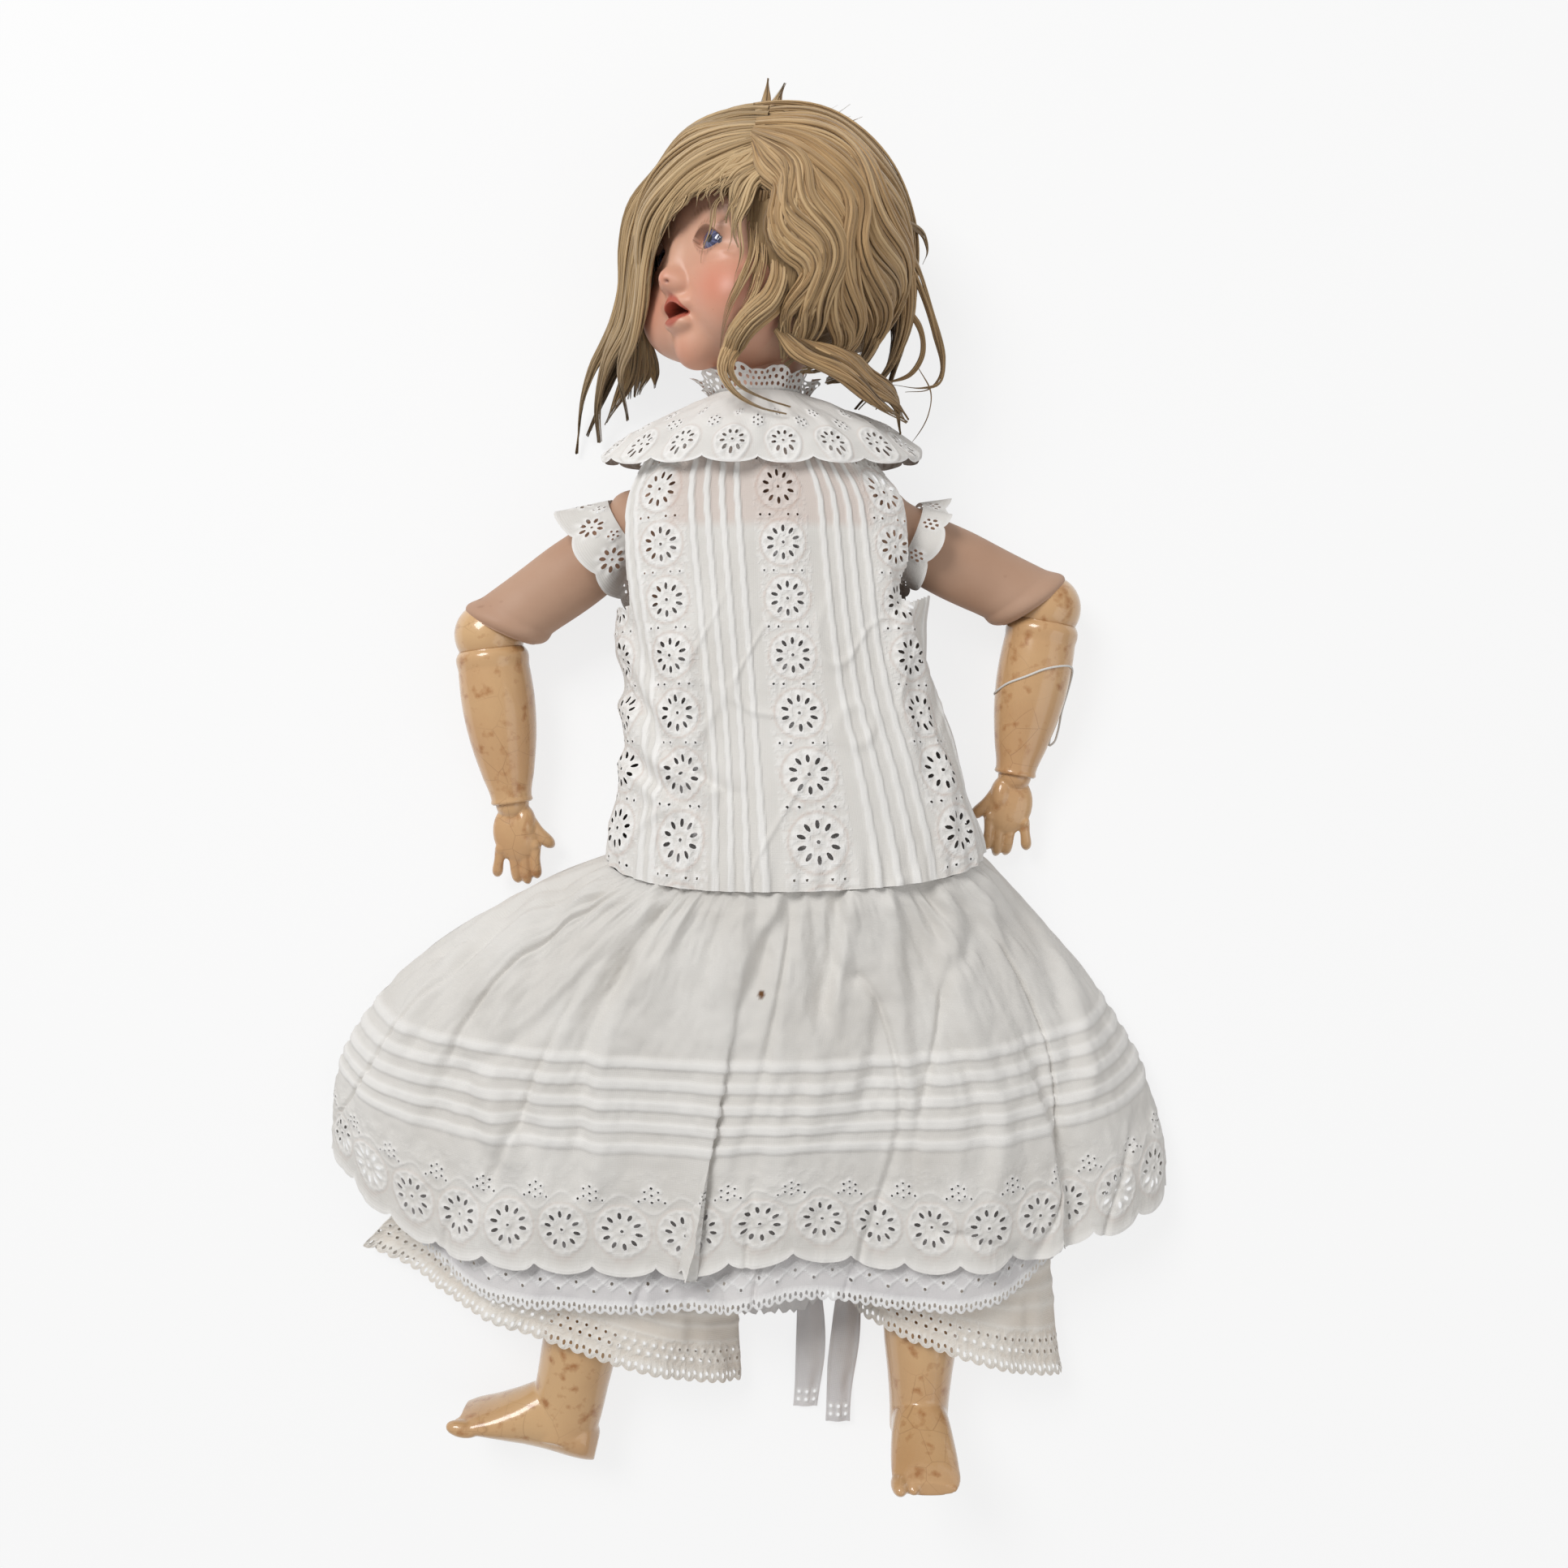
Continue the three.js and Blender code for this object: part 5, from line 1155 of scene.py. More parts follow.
def bodice_form(angle, share):
    """The bodice's outline at each share of its length; it lies on the table below the shoulders."""
    y = BODICE_TOP - share * (BODICE_TOP - BODICE_HEM) + 0 * angle
    ease_right, ease_left, ease_front = np.moveaxis(along(BODICE_EASE, share + 0 * angle), -1, 0)
    half_width, half_depth, centre = torso_section(y)
    lies = smooth_step(146, 130, y)
    back = (centre - half_depth - 2.3) * (1 - lies) + 0.35 * lies
    cos, sin = np.cos(angle), np.sin(angle)
    x = bent(cos, 0.85) * (half_width + np.where(cos > 0, ease_left, ease_right))
    fullness = np.abs(sin) ** 0.85
    behind = centre - np.minimum(1, 1.3 * fullness) ** 0.6 * (centre - back)
    front = centre + fullness * (half_depth + ease_front + 2.6)
    dip = SEAM_DIP * share**6 * np.maximum(sin, 0)
    return np.stack([x, y - dip, np.where(sin < 0, behind, front)], axis=-1)


SEAM_POINTS = 400
SEAM = bodice_form(np.linspace(0, 2 * math.pi, SEAM_POINTS), np.ones(SEAM_POINTS))
SEAM_RIGHT, SEAM_LEFT, SEAM_TOP = -SEAM[:, 0].min(), SEAM[:, 0].max(), SEAM[:, 2].max()

# How the skirt spreads to each side and settles
SKIRT_FLARE = {"right": 3.0, "left": 1.9}
SKIRT_SPREAD = {"right": 147, "left": 100}
SKIRT_TOP = 70
SKIRT_WAVES = 12
SKIRT_WAVE_HEIGHT = 3.5
HEM_LIFT = 12
LAP_REACH = 14
LAP_TURN = 5
LAP_RUN = 45
# Each lap: where it starts and ends, as shares of the skirt's reach, its height and its overlap
SKIRT_LAPS = [
    (0.72, 0.72, 6, 8),
    (-0.02, -0.15, 7, 11),
    (-0.95, -0.5, 2.5, 0),
    (-0.98, -0.82, 1.5, 0),
]


def skirt_reach(to_left, share):
    """How far the skirt reaches to one side, and how round its outline is there."""
    flare = np.where(to_left, SKIRT_FLARE["left"], SKIRT_FLARE["right"])
    settled = 1 - np.maximum(1 - share, 0) ** flare
    left = SEAM_LEFT + SKIRT_SPREAD["left"] * settled
    right = SEAM_RIGHT + SKIRT_SPREAD["right"] * settled
    return np.where(to_left, left, right), 0.85 + 0.15 * settled


def skirt_laps(x, share):
    """How far the laps raise the cloth, how far they slide it over itself, and how far cloth
    under them has to stay below."""
    grown = smooth_step(0, 1, share)
    rise, slide, below = np.zeros_like(x), np.zeros_like(x), np.zeros_like(x)
    for at_seam, at_hem, height, over in SKIRT_LAPS:
        place = (at_seam + (at_hem - at_seam) * share) * skirt_reach(at_seam > 0, share)[0]
        beside = x - place
        near = grown * np.exp(-((beside / LAP_REACH) ** 2))
        rise = rise - height * near * np.tanh(3 * beside / LAP_REACH)
        slide = slide + over * grown * np.tanh(beside / LAP_TURN) * np.exp(-((beside / LAP_RUN) ** 2))
        below = below + height * grown * np.exp(-((beside / (1.3 * LAP_REACH)) ** 2))
    return rise, slide, below


def skirt_form(angle, share, tail=0.0, inset=0.0):
    """The skirt's outline at each share of its length. Tail lets its back hang lower, and inset
    gives the outline of what lies inside it."""
    cos, sin = np.cos(angle), np.sin(angle)
    reach, power = skirt_reach(cos > 0, share)
    x = bent(cos, power) * (reach - inset)
    down = SKIRT_LENGTH * share
    edge = 7 + (TORSO_CENTRE - 7) * (1 - np.minimum(1, share * 4)) ** 2
    flap = tail * np.exp(-((x / 48) ** 4)) * np.maximum(0, share - 0.8) / 0.33
    behind = edge * (1 - np.abs(sin) ** 0.5) + 0.4
    front = np.maximum(sin, 0)
    height = SEAM_TOP + (SKIRT_TOP - SEAM_TOP) * np.minimum(share, 1) - inset
    waves = SKIRT_WAVE_HEIGHT * np.minimum(1.6 * share, 1) * np.cos(SKIRT_WAVES * angle)
    lap, slide, below = skirt_laps(x, share)
    if inset:
        lap, slide = -below, 0
    rise = edge + (height - edge) * front ** (0.85 + 0.1 * share) + (waves + lap) * front
    start = BODICE_HEM - 0.3
    drawn_up = HEM_LIFT * bump_at(x, 22, 40) * smooth_step(0.5, 1, share)
    y = start - down - np.where(sin < 0, flap, (16 + 18 * share - drawn_up) * front)
    return np.stack([x - slide * front, y, np.where(sin < 0, behind, rise)], axis=-1)


# Bodice: eyelet strips between groups of pintucks
BODICE_DROP = BODICE_TOP - BODICE_HEM
STRIP_PLACES = (-92, -57, 0, 57, 98)
STRIP_SLIP = 16
WHEEL_PITCH = 25.9
WHEEL_RING = 11.0
# Drawn folds: height, width, then the places each runs through
BODICE_FOLDS = [
    (1.6, 10, (-30, 70), (-30, 58), (-27, 36), (-25, 10)),
    (2.8, 9, (-72, 62), (-70, 49), (-55, 31), (-43, 11), (-19, -4)),
    (2.0, 8, (-66, 82), (-64, 73), (-53, 50), (-40, 30)),
    (2.2, 8, (-66, 20), (-56, 4), (-36, -12)),
    (-2.0, 9, (78, 104), (75, 94), (66, 80), (64, 60)),
    (2.4, 7, (72, 84), (74, 73), (84, 50), (94, 26), (101, 0)),
    (1.8, 6, (80, 44), (83, 28), (91, 5), (94, -25)),
    (1.6, 8, (64, 106), (66, 80), (68, 58), (77, 10)),
    (1.4, 5, (88, 20), (96, 0), (104, -22)),
    (-1.4, 7, (-64, 8), (-70, -10), (-74, -30)),
]
TUCK_PLACES = [side * place for side in (-1, 1) for place in (20, 27, 34, 41)] + [-76, -70, 76, 82]
bodice_round = Round(lambda angle: bodice_form(angle, np.full_like(angle, 0.5)))


def strip_shift(v):
    """How far the strips and tucks slip aside on their way down the bodice."""
    return 7 + STRIP_SLIP * v / BODICE_DROP


WHEELS = [
    (place + strip_shift(row * WHEEL_PITCH + 14), row * WHEEL_PITCH + 14)
    for place in STRIP_PLACES for row in range(9)
]


def bodice_surface(u, v):
    return bodice_form(bodice_round.at(u), v / BODICE_DROP)


def tuck_ridges(value, places, start, crest, fold, end):
    """Flat ridges at the given places: each rises from start to crest and drops from fold to end."""
    ridges = np.zeros_like(value)
    for place in places:
        beside = value - place
        ridges = np.maximum(ridges, smooth_step(start, crest, beside) * smooth_step(end, fold, beside))
    return ridges


def tuck_lines(u, v):
    return tuck_ridges(u - strip_shift(v), TUCK_PLACES, -1.7, -1.3, 1.2, 1.8)


def bodice_height(u, v):
    front = smooth_step(150, 100, np.abs(u))
    broad = 2.2 * value_noise(u / 34 + v / 120, v / 60, 3) + 1.2 * value_noise(u / 15, v / 34, 4)
    crease = np.abs(value_noise(u / 26 + v / 44, v / 40 - u / 60, 5))
    folds = 1.6 * bump_at(crease, 0, 0.09) * smooth_step(70, 130, v)
    gathered = 0.9 * np.sin(u * 0.75 + 2 * value_noise(u / 12, 0, 6)) * smooth_step(192, 210, v)
    rows = 0.35 * ring_relief(u, v, WHEELS, WHEEL_RING, 0.6, 16, 0.3)
    x, y = np.moveaxis(bodice_surface(u, v)[..., :2], -1, 0)
    drawn = drawn_folds(x, y, BODICE_FOLDS, 1.3, 1.15)
    return front * (0.7 * broad + 0.7 * folds + drawn) + gathered + 0.8 * tuck_lines(u, v) + rows


def strips_at(u, v):
    place = u - strip_shift(v)
    return sum(smooth_step(13.5, 12.5, np.abs(place - strip)) for strip in STRIP_PLACES)


def bodice_raised(u, v):
    strips = 0.75 * tuck_lines(u, v) + 0.45 * ring_relief(u, v, WHEELS, WHEEL_RING - 1.6, 0.9)
    petals = value_noise(u * 0.9, v * 0.9, 8) > 0.3
    return strips + strips_at(u, v) * (0.15 + 0.35 * petals)


def bodice_sheer(u, v):
    over_skin = smooth_step(60, 54, v) * smooth_step(52, 46, np.abs(u - 8))
    petals = value_noise(u * 0.8, v * 0.8, 9) > 0.45
    rings = 0.5 * ring_relief(u, v, WHEELS, WHEEL_RING, 0.45) + 0.16 * strips_at(u, v) * petals
    return 0.6 * over_skin * (1 - tuck_lines(u, v)) + rings


def outside_armholes(middle):
    clear = np.ones(len(middle), bool)
    for side in (-1, 1):
        reach = np.hypot(middle[:, 0] - side * SHOULDER[0], middle[:, 1] - SHOULDER[1])
        clear &= ~((reach < 42) & (middle[:, 2] > 12) & (middle[:, 2] < 68))
    return clear


bodice_holes = []
for centre_u, centre_v in WHEELS:
    bodice_holes += wheel(centre_u, centre_v, 4.7, 8.2, 10, 0.8, 0.3)
    between = centre_v + WHEEL_PITCH / 2
    bodice_holes += [round_hole(centre_u + aside, between, 0.6) for aside in (-9, -4.5, 4.5, 9)]
bodice = make_sheet(
    "eyelet_bodice", "torso", white, bodice_surface,
    bodice_round.columns(-128, 140, 0.75, 3.0), np.arange(0, BODICE_DROP + 0.1, 0.8),
    holes=bodice_holes, height=bodice_height, keep=outside_armholes,
    marks={"raised": bodice_raised, "sheer": bodice_sheer})
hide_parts("bodice")

# Skirt: gathered at the seam, five tucks and a scalloped eyelet border
BORDER_PITCH = 25.5
BORDER_CENTRE = 150.0
SKIRT_TUCKS = [74 + 9.4 * i for i in range(5)]
# Drawn folds: height, width, then the places each runs through
SKIRT_FOLDS = [
    (1.6, 5, (-41, -40), (-46, -50), (-51, -64)),
    (-2.6, 9, (-58, -76), (-60, -87), (-74, -111), (-81, -161), (-82, -190)),
    (2.2, 10, (-100, -44), (-103, -54), (-110, -80), (-123, -135), (-114, -185)),
    (-2.6, 9, (-76, -24), (-108, -42), (-137, -66), (-156, -78)),
    (2.2, 8, (-122, -54), (-140, -77), (-159, -100), (-172, -128)),
    (1.2, 12, (-139, -116), (-130, -143), (-118, -172)),
    (-2.8, 6, (40, -46), (39, -54), (37, -78), (33, -106)),
    (2.2, 7, (14, -48), (11, -56), (2, -72), (-6, -92)),
    (-2.4, 9, (83, -42), (85, -50), (88, -96), (97, -124), (110, -152), (111, -188)),
    (1.8, 8, (66, -48), (67, -60), (72, -124), (77, -158)),
    (1.6, 9, (55, -96), (52, -124), (46, -150)),
    (-2.6, 9, (132, -60), (143, -79), (153, -110), (158, -148)),
    (2.0, 8, (112, -52), (120, -84), (133, -118)),
    (-1.8, 7, (-14, -56), (-20, -78), (-24, -100)),
    (1.6, 6, (-70, -40), (-82, -56), (-92, -72)),
    (-1.5, 10, (20, -104), (24, -132), (20, -164)),
]


def flat_outline(share):
    """The skirt's outline at one share of its length, without its laps and waves."""
    def loop(angle):
        reach, power = skirt_reach(np.cos(angle) > 0, share + 0 * angle)
        front = np.maximum(np.sin(angle), 0)
        return np.stack([bent(np.cos(angle), power) * reach, -34 * front, 7 + 63 * front**0.95], axis=-1)
    return loop


skirt_round = Round(flat_outline(1.0))
BORDER_WHEELS = [((i - 9) * BORDER_PITCH + 6, BORDER_CENTRE) for i in range(20)]


def scalloped(u, v, end, pitch, depth, shift=0.0, band=5.0):
    """Moves the last rows of a sheet so that its edge runs in scallops."""
    edge = depth * np.sqrt(np.abs(np.cos(math.pi * (u - shift) / pitch)) + 0.02)
    return v + edge * smooth_step(end - band, end, v)


def skirt_surface(u, v):
    """The skirt with its scalloped hem; the hem's far right tip is turned up towards the hand."""
    v = scalloped(u, v, SKIRT_LENGTH, BORDER_PITCH, 5.5, 6)
    points = skirt_form(skirt_round.at(u), v / SKIRT_LENGTH)
    tip = smooth_step(150, 215, -points[..., 0]) * smooth_step(0.5, 1, v / SKIRT_LENGTH)
    points[..., 1] += 18 * tip
    points[..., 2] -= 3 * smooth_step(9, 0, v)
    return points


def skirt_folds(u, v):
    """The relief of the skirt's cloth, from the gathers at its seam down to its fine creases."""
    share = v / SKIRT_LENGTH
    front = smooth_step(0, 0.35, np.sin(skirt_round.at(u)))
    gathers = 2.0 * np.sin(u / 3.4 + 3 * value_noise(u / 30, 0, 11))
    gathers = gathers * np.exp(-share / 0.12) * smooth_step(0, 0.06, share)
    fan = 1.9 * value_noise(u / 11, share * 1.2, 18) * smooth_step(0, 0.08, share) * np.exp(-share / 0.3)
    pleats = 2.2 * value_noise(u / 22 + 0.3 * share, share * 0.9, 12) * smooth_step(0, 0.25, share)
    broad = 2.6 * value_noise(u / 58 - 0.5 * share, share * 0.8, 13) * smooth_step(0.05, 0.7, share)
    valley = np.abs(value_noise(u / 34 + 1.3 * share, share * 1.6, 14))
    creases = -2.4 * bump_at(valley, 0, 0.06) * smooth_step(0.02, 0.2, share)
    small = 0.7 * value_noise(u / 8, v / 12, 15) + 0.35 * value_noise(u / 3.5, v / 4.5, 16)
    x, y = np.moveaxis(skirt_surface(u, v)[..., :2], -1, 0)
    drawn = drawn_folds(x, y, SKIRT_FOLDS, 1.6, 1.3) * front
    return (gathers + fan + pleats + broad + creases) * (0.25 + 0.75 * front) + drawn + small


def skirt_tucks(v):
    return tuck_ridges(v, SKIRT_TUCKS, -2.4, -1.6, 2.3, 2.6)


def border_raised(u, v):
    rings = ring_relief(u, v, BORDER_WHEELS, 10.6, 0.8, 20, 0.25)
    edge = smooth_step(SKIRT_LENGTH - 2.2, SKIRT_LENGTH - 1.2, v)
    scroll = bump_at(v, 137.5 - 4 * np.cos(2 * math.pi * (u - 6) / BORDER_PITCH), 0.8)
    buds = (value_noise(u * 0.8, v * 0.8, 17) > 0.45) * smooth_step(120, 124, v)
    return np.clip(rings + edge + 0.7 * scroll, 0, 1) + 0.25 * buds


skirt_holes = []
for centre_u, centre_v in BORDER_WHEELS:
    skirt_holes += wheel(centre_u, centre_v, 5.2, 8.5, 10, 0.8, 0.2)
    between = centre_u - BORDER_PITCH / 2
    skirt_holes += dots(between, BORDER_CENTRE - 17, 3.2, 6, 0.6)
    skirt_holes += [round_hole(between + aside, BORDER_CENTRE - 14, 0.55) for aside in (-5.4, 5.4)]
SKIRT_FRONT = (-245, 235)
BORDER_TOP = 120
skirt = make_sheet(
    "eyelet_skirt", "torso", white, skirt_surface,
    skirt_round.columns(*SKIRT_FRONT, 0.8, 4.0),
    np.concatenate([np.arange(0, BORDER_TOP, 1.2), np.arange(BORDER_TOP, SKIRT_LENGTH + 0.5, 0.8)]),
    holes=skirt_holes,
    height=lambda u, v: skirt_folds(u, v) + 0.9 * skirt_tucks(v) + 0.35 * border_raised(u, v),
    marks={
        "raised": lambda u, v: 0.6 * skirt_tucks(v) + 0.5 * border_raised(u, v),
        "sheer": lambda u, v: 0.3 * ring_relief(u, v, BORDER_WHEELS, 11.9, 0.5),
        "spot": lambda u, v: smooth_step(2.1, 1.2, np.hypot(u - 3, v - 43)),
    })
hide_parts("skirt")

# Petticoat: a fall inside the skirt, with a longer tail and a zigzag lace edge
PETTICOAT_LENGTH = 186.0
PETTICOAT_TAIL = 52
PETTICOAT_INSET = 2.2
LACE_PITCH = 5.2
ZIGZAG_PITCH = 9.0
LACE_TOP = 150
petticoat_round = Round(flat_outline(1.1))


def petticoat_surface(u, v):
    """Inside the skirt, drawn in and up at its sides so that it stays under it."""
    v = scalloped(u, v, PETTICOAT_LENGTH, LACE_PITCH, 2.6, 0, 4)
    share = v / SKIRT_LENGTH
    angle = petticoat_round.at(u)
    points = skirt_form(angle, share, PETTICOAT_TAIL, PETTICOAT_INSET)
    sides = smooth_step(120, 205, np.abs(points[..., 0] + 8))
    points[..., 0] *= 1 - 0.09 * sides * smooth_step(0.6, 1, share)
    points[..., 1] += 26 * sides * smooth_step(0.6, 1.1, share)
    height = points[..., 2]
    points[..., 2] = np.where(np.sin(angle) < 0, np.maximum(height, 1.5), height - 1.2)
    return points


def zigzag(u, v):
    """Two stitched lines that run to and fro along the hem."""
    wave = 7 * np.abs((u / ZIGZAG_PITCH) % 2 - 1)
    upper = bump_at(v, PETTICOAT_LENGTH - 15 + wave, 0.8)
    return upper + bump_at(v, PETTICOAT_LENGTH - 7.5 - wave, 0.8)


def petticoat_height(u, v):
    """The skirt's folds, but only where they go down, and small folds of its own at the hem."""
    own = 1.5 * value_noise(u / 14, v / 30, 21) * smooth_step(LACE_TOP, PETTICOAT_LENGTH, v)
    return np.minimum(skirt_folds(u, v), 0) - 1.5 + 0.3 * zigzag(u, v) + own


def petticoat_raised(u, v):
    hem = smooth_step(PETTICOAT_LENGTH - 4, PETTICOAT_LENGTH - 2, v)
    return 0.7 * zigzag(u, v) * smooth_step(LACE_TOP, LACE_TOP + 15, v) + 0.5 * hem


lace_holes = [
    round_hole(i * LACE_PITCH / 2, PETTICOAT_LENGTH - 1.6, 0.75) for i in range(-170, 170)
]
lace_holes += [
    round_hole(i * ZIGZAG_PITCH, PETTICOAT_LENGTH - 11 + 3.5 * (i % 2), 0.8) for i in range(-50, 50)
]
petticoat = make_sheet(
    "lace_petticoat", "torso", lining, petticoat_surface,
    petticoat_round.columns(*SKIRT_FRONT, 0.9, 2.0),
    np.concatenate([np.arange(8, LACE_TOP, 4.0), np.arange(LACE_TOP, PETTICOAT_LENGTH + 0.4, 0.8)]),
    holes=lace_holes, height=petticoat_height, marks={"raised": petticoat_raised})
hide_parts("petticoat")

# The petticoat's top, which shows pale through the eyelets below the chest
TOP_HEIGHT = 122
TOP_LENGTH = 162


def oval(half_width, half_depth):
    """An upright oval, as a loop for Round."""
    def loop(angle):
        return np.stack([half_width * np.cos(angle), 0 * angle, half_depth * np.sin(angle)], axis=-1)
    return loop


def petticoat_top_surface(u, v):
    y = TOP_HEIGHT - v
    half_width, half_depth, centre = torso_section(np.maximum(y, -50))
    ease = 1.1 + 1.6 * smooth_step(34, 8, y)
    angle = top_round.at(u)
    x = (half_width + ease) * np.cos(angle)
    return np.stack([x, y, centre + (half_depth + ease) * np.sin(angle)], axis=-1)


top_round = Round(oval(60, 40))
petticoat_top = make_sheet(
    "petticoat_top", "torso", lining, petticoat_top_surface,
    top_round.columns(-90, 90, 2.5, 5), np.arange(0, TOP_LENGTH + 0.1, 3), floor_at=1.2,
    height=lambda u, v: 0.4 * value_noise(u / 10, v / 12, 24), keep=outside_armholes)


# Drawers: a seat round the hips and a wide leg round each thigh and knee, with lace at the hem
SEAT_TOP = 12
SEAT_LENGTH = 90


def drawers_seat_surface(u, v):
    """Close round the hips, then squarer and wider where the legs begin."""
    angle = seat_round.at(u)
    y = SEAT_TOP - v
    half_width, half_depth, centre = torso_section(np.maximum(y, -68))
    low = smooth_step(-50, -78, y)
    x = bent(np.cos(angle), 1 - 0.2 * low) * (half_width * (1 - low) + 76 * low + 1.3)
    reach = (half_depth + 1.3) * (1 - low) + np.where(np.sin(angle) > 0, 31, 37) * low
    z = centre + bent(np.sin(angle), 1 - 0.2 * low) * reach
    return np.stack([x, y, z], axis=-1)


seat_round = Round(oval(63, 41))
seat = make_sheet(
    "drawers_seat_cotton", "torso", cream, drawers_seat_surface,
    seat_round.columns(-100, 100, 4, 4), np.arange(0, SEAT_LENGTH + 0.1, 3),
    height=lambda u, v: 0.25 * value_noise(u / 9, v / 9, 31), floor_at=2.2)
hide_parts("drawers_seat")


def limb_end(start, length, swing, dip):
    """The place that a limb reaches at a length from its start."""
    swing, dip = math.radians(swing), math.radians(dip)
    flat = math.cos(dip) * length
    return np.stack([start[0] + math.sin(swing) * flat, start[1] - math.cos(swing) * flat,
                     start[2] - math.sin(dip) * length], axis=0)


DRAWERS_TOP = -79.9
DRAWERS_LENGTH = 225
DRAWERS_FLOOR = 3.2
DRAWERS_FALL = 205.0


def drawers_form(angle, share, side, swing, dip, shin_swing, outer, inner, hem, **_):
    """A drawers leg's outline at each share of its length. It follows the thigh and the shin, spreads
    to its outer and inner widths at the hem, and lies on the table."""
    start = (HIP[1] - DRAWERS_TOP) / math.cos(math.radians(swing))
    reach_down = start + share * (DRAWERS_LENGTH - start)
    hip = (side * HIP[0], HIP[1], HIP[2])
    knee = limb_end(hip, np.minimum(reach_down, THIGH_LENGTH), side * swing, dip)
    at = limb_end(knee, np.maximum(0, reach_down - THIGH_LENGTH), side * shin_swing, dip)
    cross = side * math.radians(swing) * np.minimum(1, share / 0.33)
    cross = cross + (math.radians(hem) - cross) * smooth_step(0.5, 1, share)
    wide = THIGH_RADIUS + 7 + (outer - THIGH_RADIUS - 7) * share**1.3
    narrow = THIGH_RADIUS + 3 + (inner - THIGH_RADIUS - 3) * share
    middle = at[2] + (DRAWERS_FLOOR + 6 - at[2]) * np.minimum(1, 1.2 * share)
    rise = at[2] + THIGH_RADIUS + (CALF_RADIUS - THIGH_RADIUS) * share + 4 - middle
    cos, sin = np.cos(angle), np.sin(angle)
    reach = bent(cos, 0.85) * np.where(cos * side > 0, wide, narrow)
    beside = np.maximum(np.abs(reach) - 1.7 * THIGH_RADIUS, 0) / (2 * THIGH_RADIUS)
    lift = np.where(sin > 0, rise * np.abs(sin) ** 0.85 * np.exp(-(beside**2)), 0)
    sag = np.where(sin < 0, (middle - DRAWERS_FLOOR) * np.abs(sin) ** 0.6, 0)
    x, y = at[0] + reach * np.cos(cross), at[1] + reach * np.sin(cross)
    return np.stack([x, y, middle + lift - sag], axis=-1)


def make_drawers_leg(name, leg):
    girth = Round(lambda angle: drawers_form(angle, np.ones_like(angle), **leg))

    def surface(u, v):
        v = scalloped(u, v, DRAWERS_FALL, LACE_PITCH * 1.3, 3.0, 0, 5)
        return drawers_form(girth.at(u), v / DRAWERS_FALL, **leg)

    def height(u, v):
        front = smooth_step(0, 0.4, np.sin(girth.at(u)))
        folds = 3.0 * value_noise(u / 26, v / 90, 41) + 1.2 * value_noise(u / 9, v / 20, 42)
        folds = folds * smooth_step(20, 140, v) * (0.25 + 0.75 * front)
        return (folds + 0.6 * bands(v)) * smooth_step(2, 20, v)

    def bands(v):
        return sum(bump_at(v, DRAWERS_FALL - place, 1.5) for place in (25, 31, 37))

    def raised(u, v):
        lace = smooth_step(DRAWERS_FALL - 18, DRAWERS_FALL - 16, v)
        net = (value_noise(u * 0.7, v * 0.7, 43) > 0.1) * lace
        return 0.5 * bands(v) + 0.35 * net + 0.5 * bump_at(v, DRAWERS_FALL - 17, 1)

    holes = []
    for i in range(-60, 60):
        holes.append(round_hole(i * LACE_PITCH * 0.65, DRAWERS_FALL - 2.2, 0.8))
        holes.append(round_hole(i * LACE_PITCH, DRAWERS_FALL - 8, 0.9))
        holes.append(round_hole((i + 0.5) * LACE_PITCH, DRAWERS_FALL - 12.5, 0.8))
    front_half = 0.34 * girth.whole
    piece = make_sheet(
        f"{name}_drawers_lace", "torso", cream, surface,
        girth.columns(-front_half, front_half, 0.9, 3),
        np.concatenate([np.arange(0, LACE_TOP, 4.0), np.arange(LACE_TOP, DRAWERS_FALL + 0.4, 0.85)]),
        holes=holes, height=height, marks={"raised": raised}, floor_at=DRAWERS_FLOOR - 0.4)
    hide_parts(f"{name}_drawers_leg")


for name, leg in LEGS.items():
    make_drawers_leg(name, leg)

# Collar: a cape with a scalloped eyelet edge
COLLAR_FALL = 46.0
COLLAR_SCALLOPS = 16
COLLAR_TOP = 185.4
COLLAR_HALF_WIDTH = 78
# Down the collar: share of its fall, share of its half-width, depths in front and at the back, and
# how far its middle rises to the neck's height
COLLAR_STATIONS = [
    [0, 0.32, 23, 24, 1],
    [0.45, 0.72, 40, 38, 0.55],
    [1, 1, 48.5, 43, 0],
]


def collar_form(angle, share):
    width, front, back, rise = np.moveaxis(along(COLLAR_STATIONS, share + 0 * angle), -1, 0)
    cos, sin = np.cos(angle), np.sin(angle)
    drop = np.where(sin > 0, 34, 20) * np.abs(sin) ** 0.8 + 21 * (1 - np.abs(sin))
    centre = TORSO_CENTRE + rise * (NECK.z - TORSO_CENTRE)
    depth = bent(sin, 0.85) * np.where(sin > 0, front, back)
    x = bent(cos, 0.85) * width * COLLAR_HALF_WIDTH
    return np.stack([x, COLLAR_TOP - share * drop, centre + depth], axis=-1)


collar_round = Round(lambda angle: collar_form(angle, np.ones_like(angle)))
COLLAR_PITCH = collar_round.whole / COLLAR_SCALLOPS
COLLAR_WHEELS = [((i - 7.5) * COLLAR_PITCH, COLLAR_FALL - 9.5) for i in range(COLLAR_SCALLOPS)]
COLLAR_RING = 8.4


def collar_surface(u, v):
    v = scalloped(u, v, COLLAR_FALL, COLLAR_PITCH, 5.0, COLLAR_PITCH / 2, 8)
    return collar_form(collar_round.at(u), v / COLLAR_FALL)


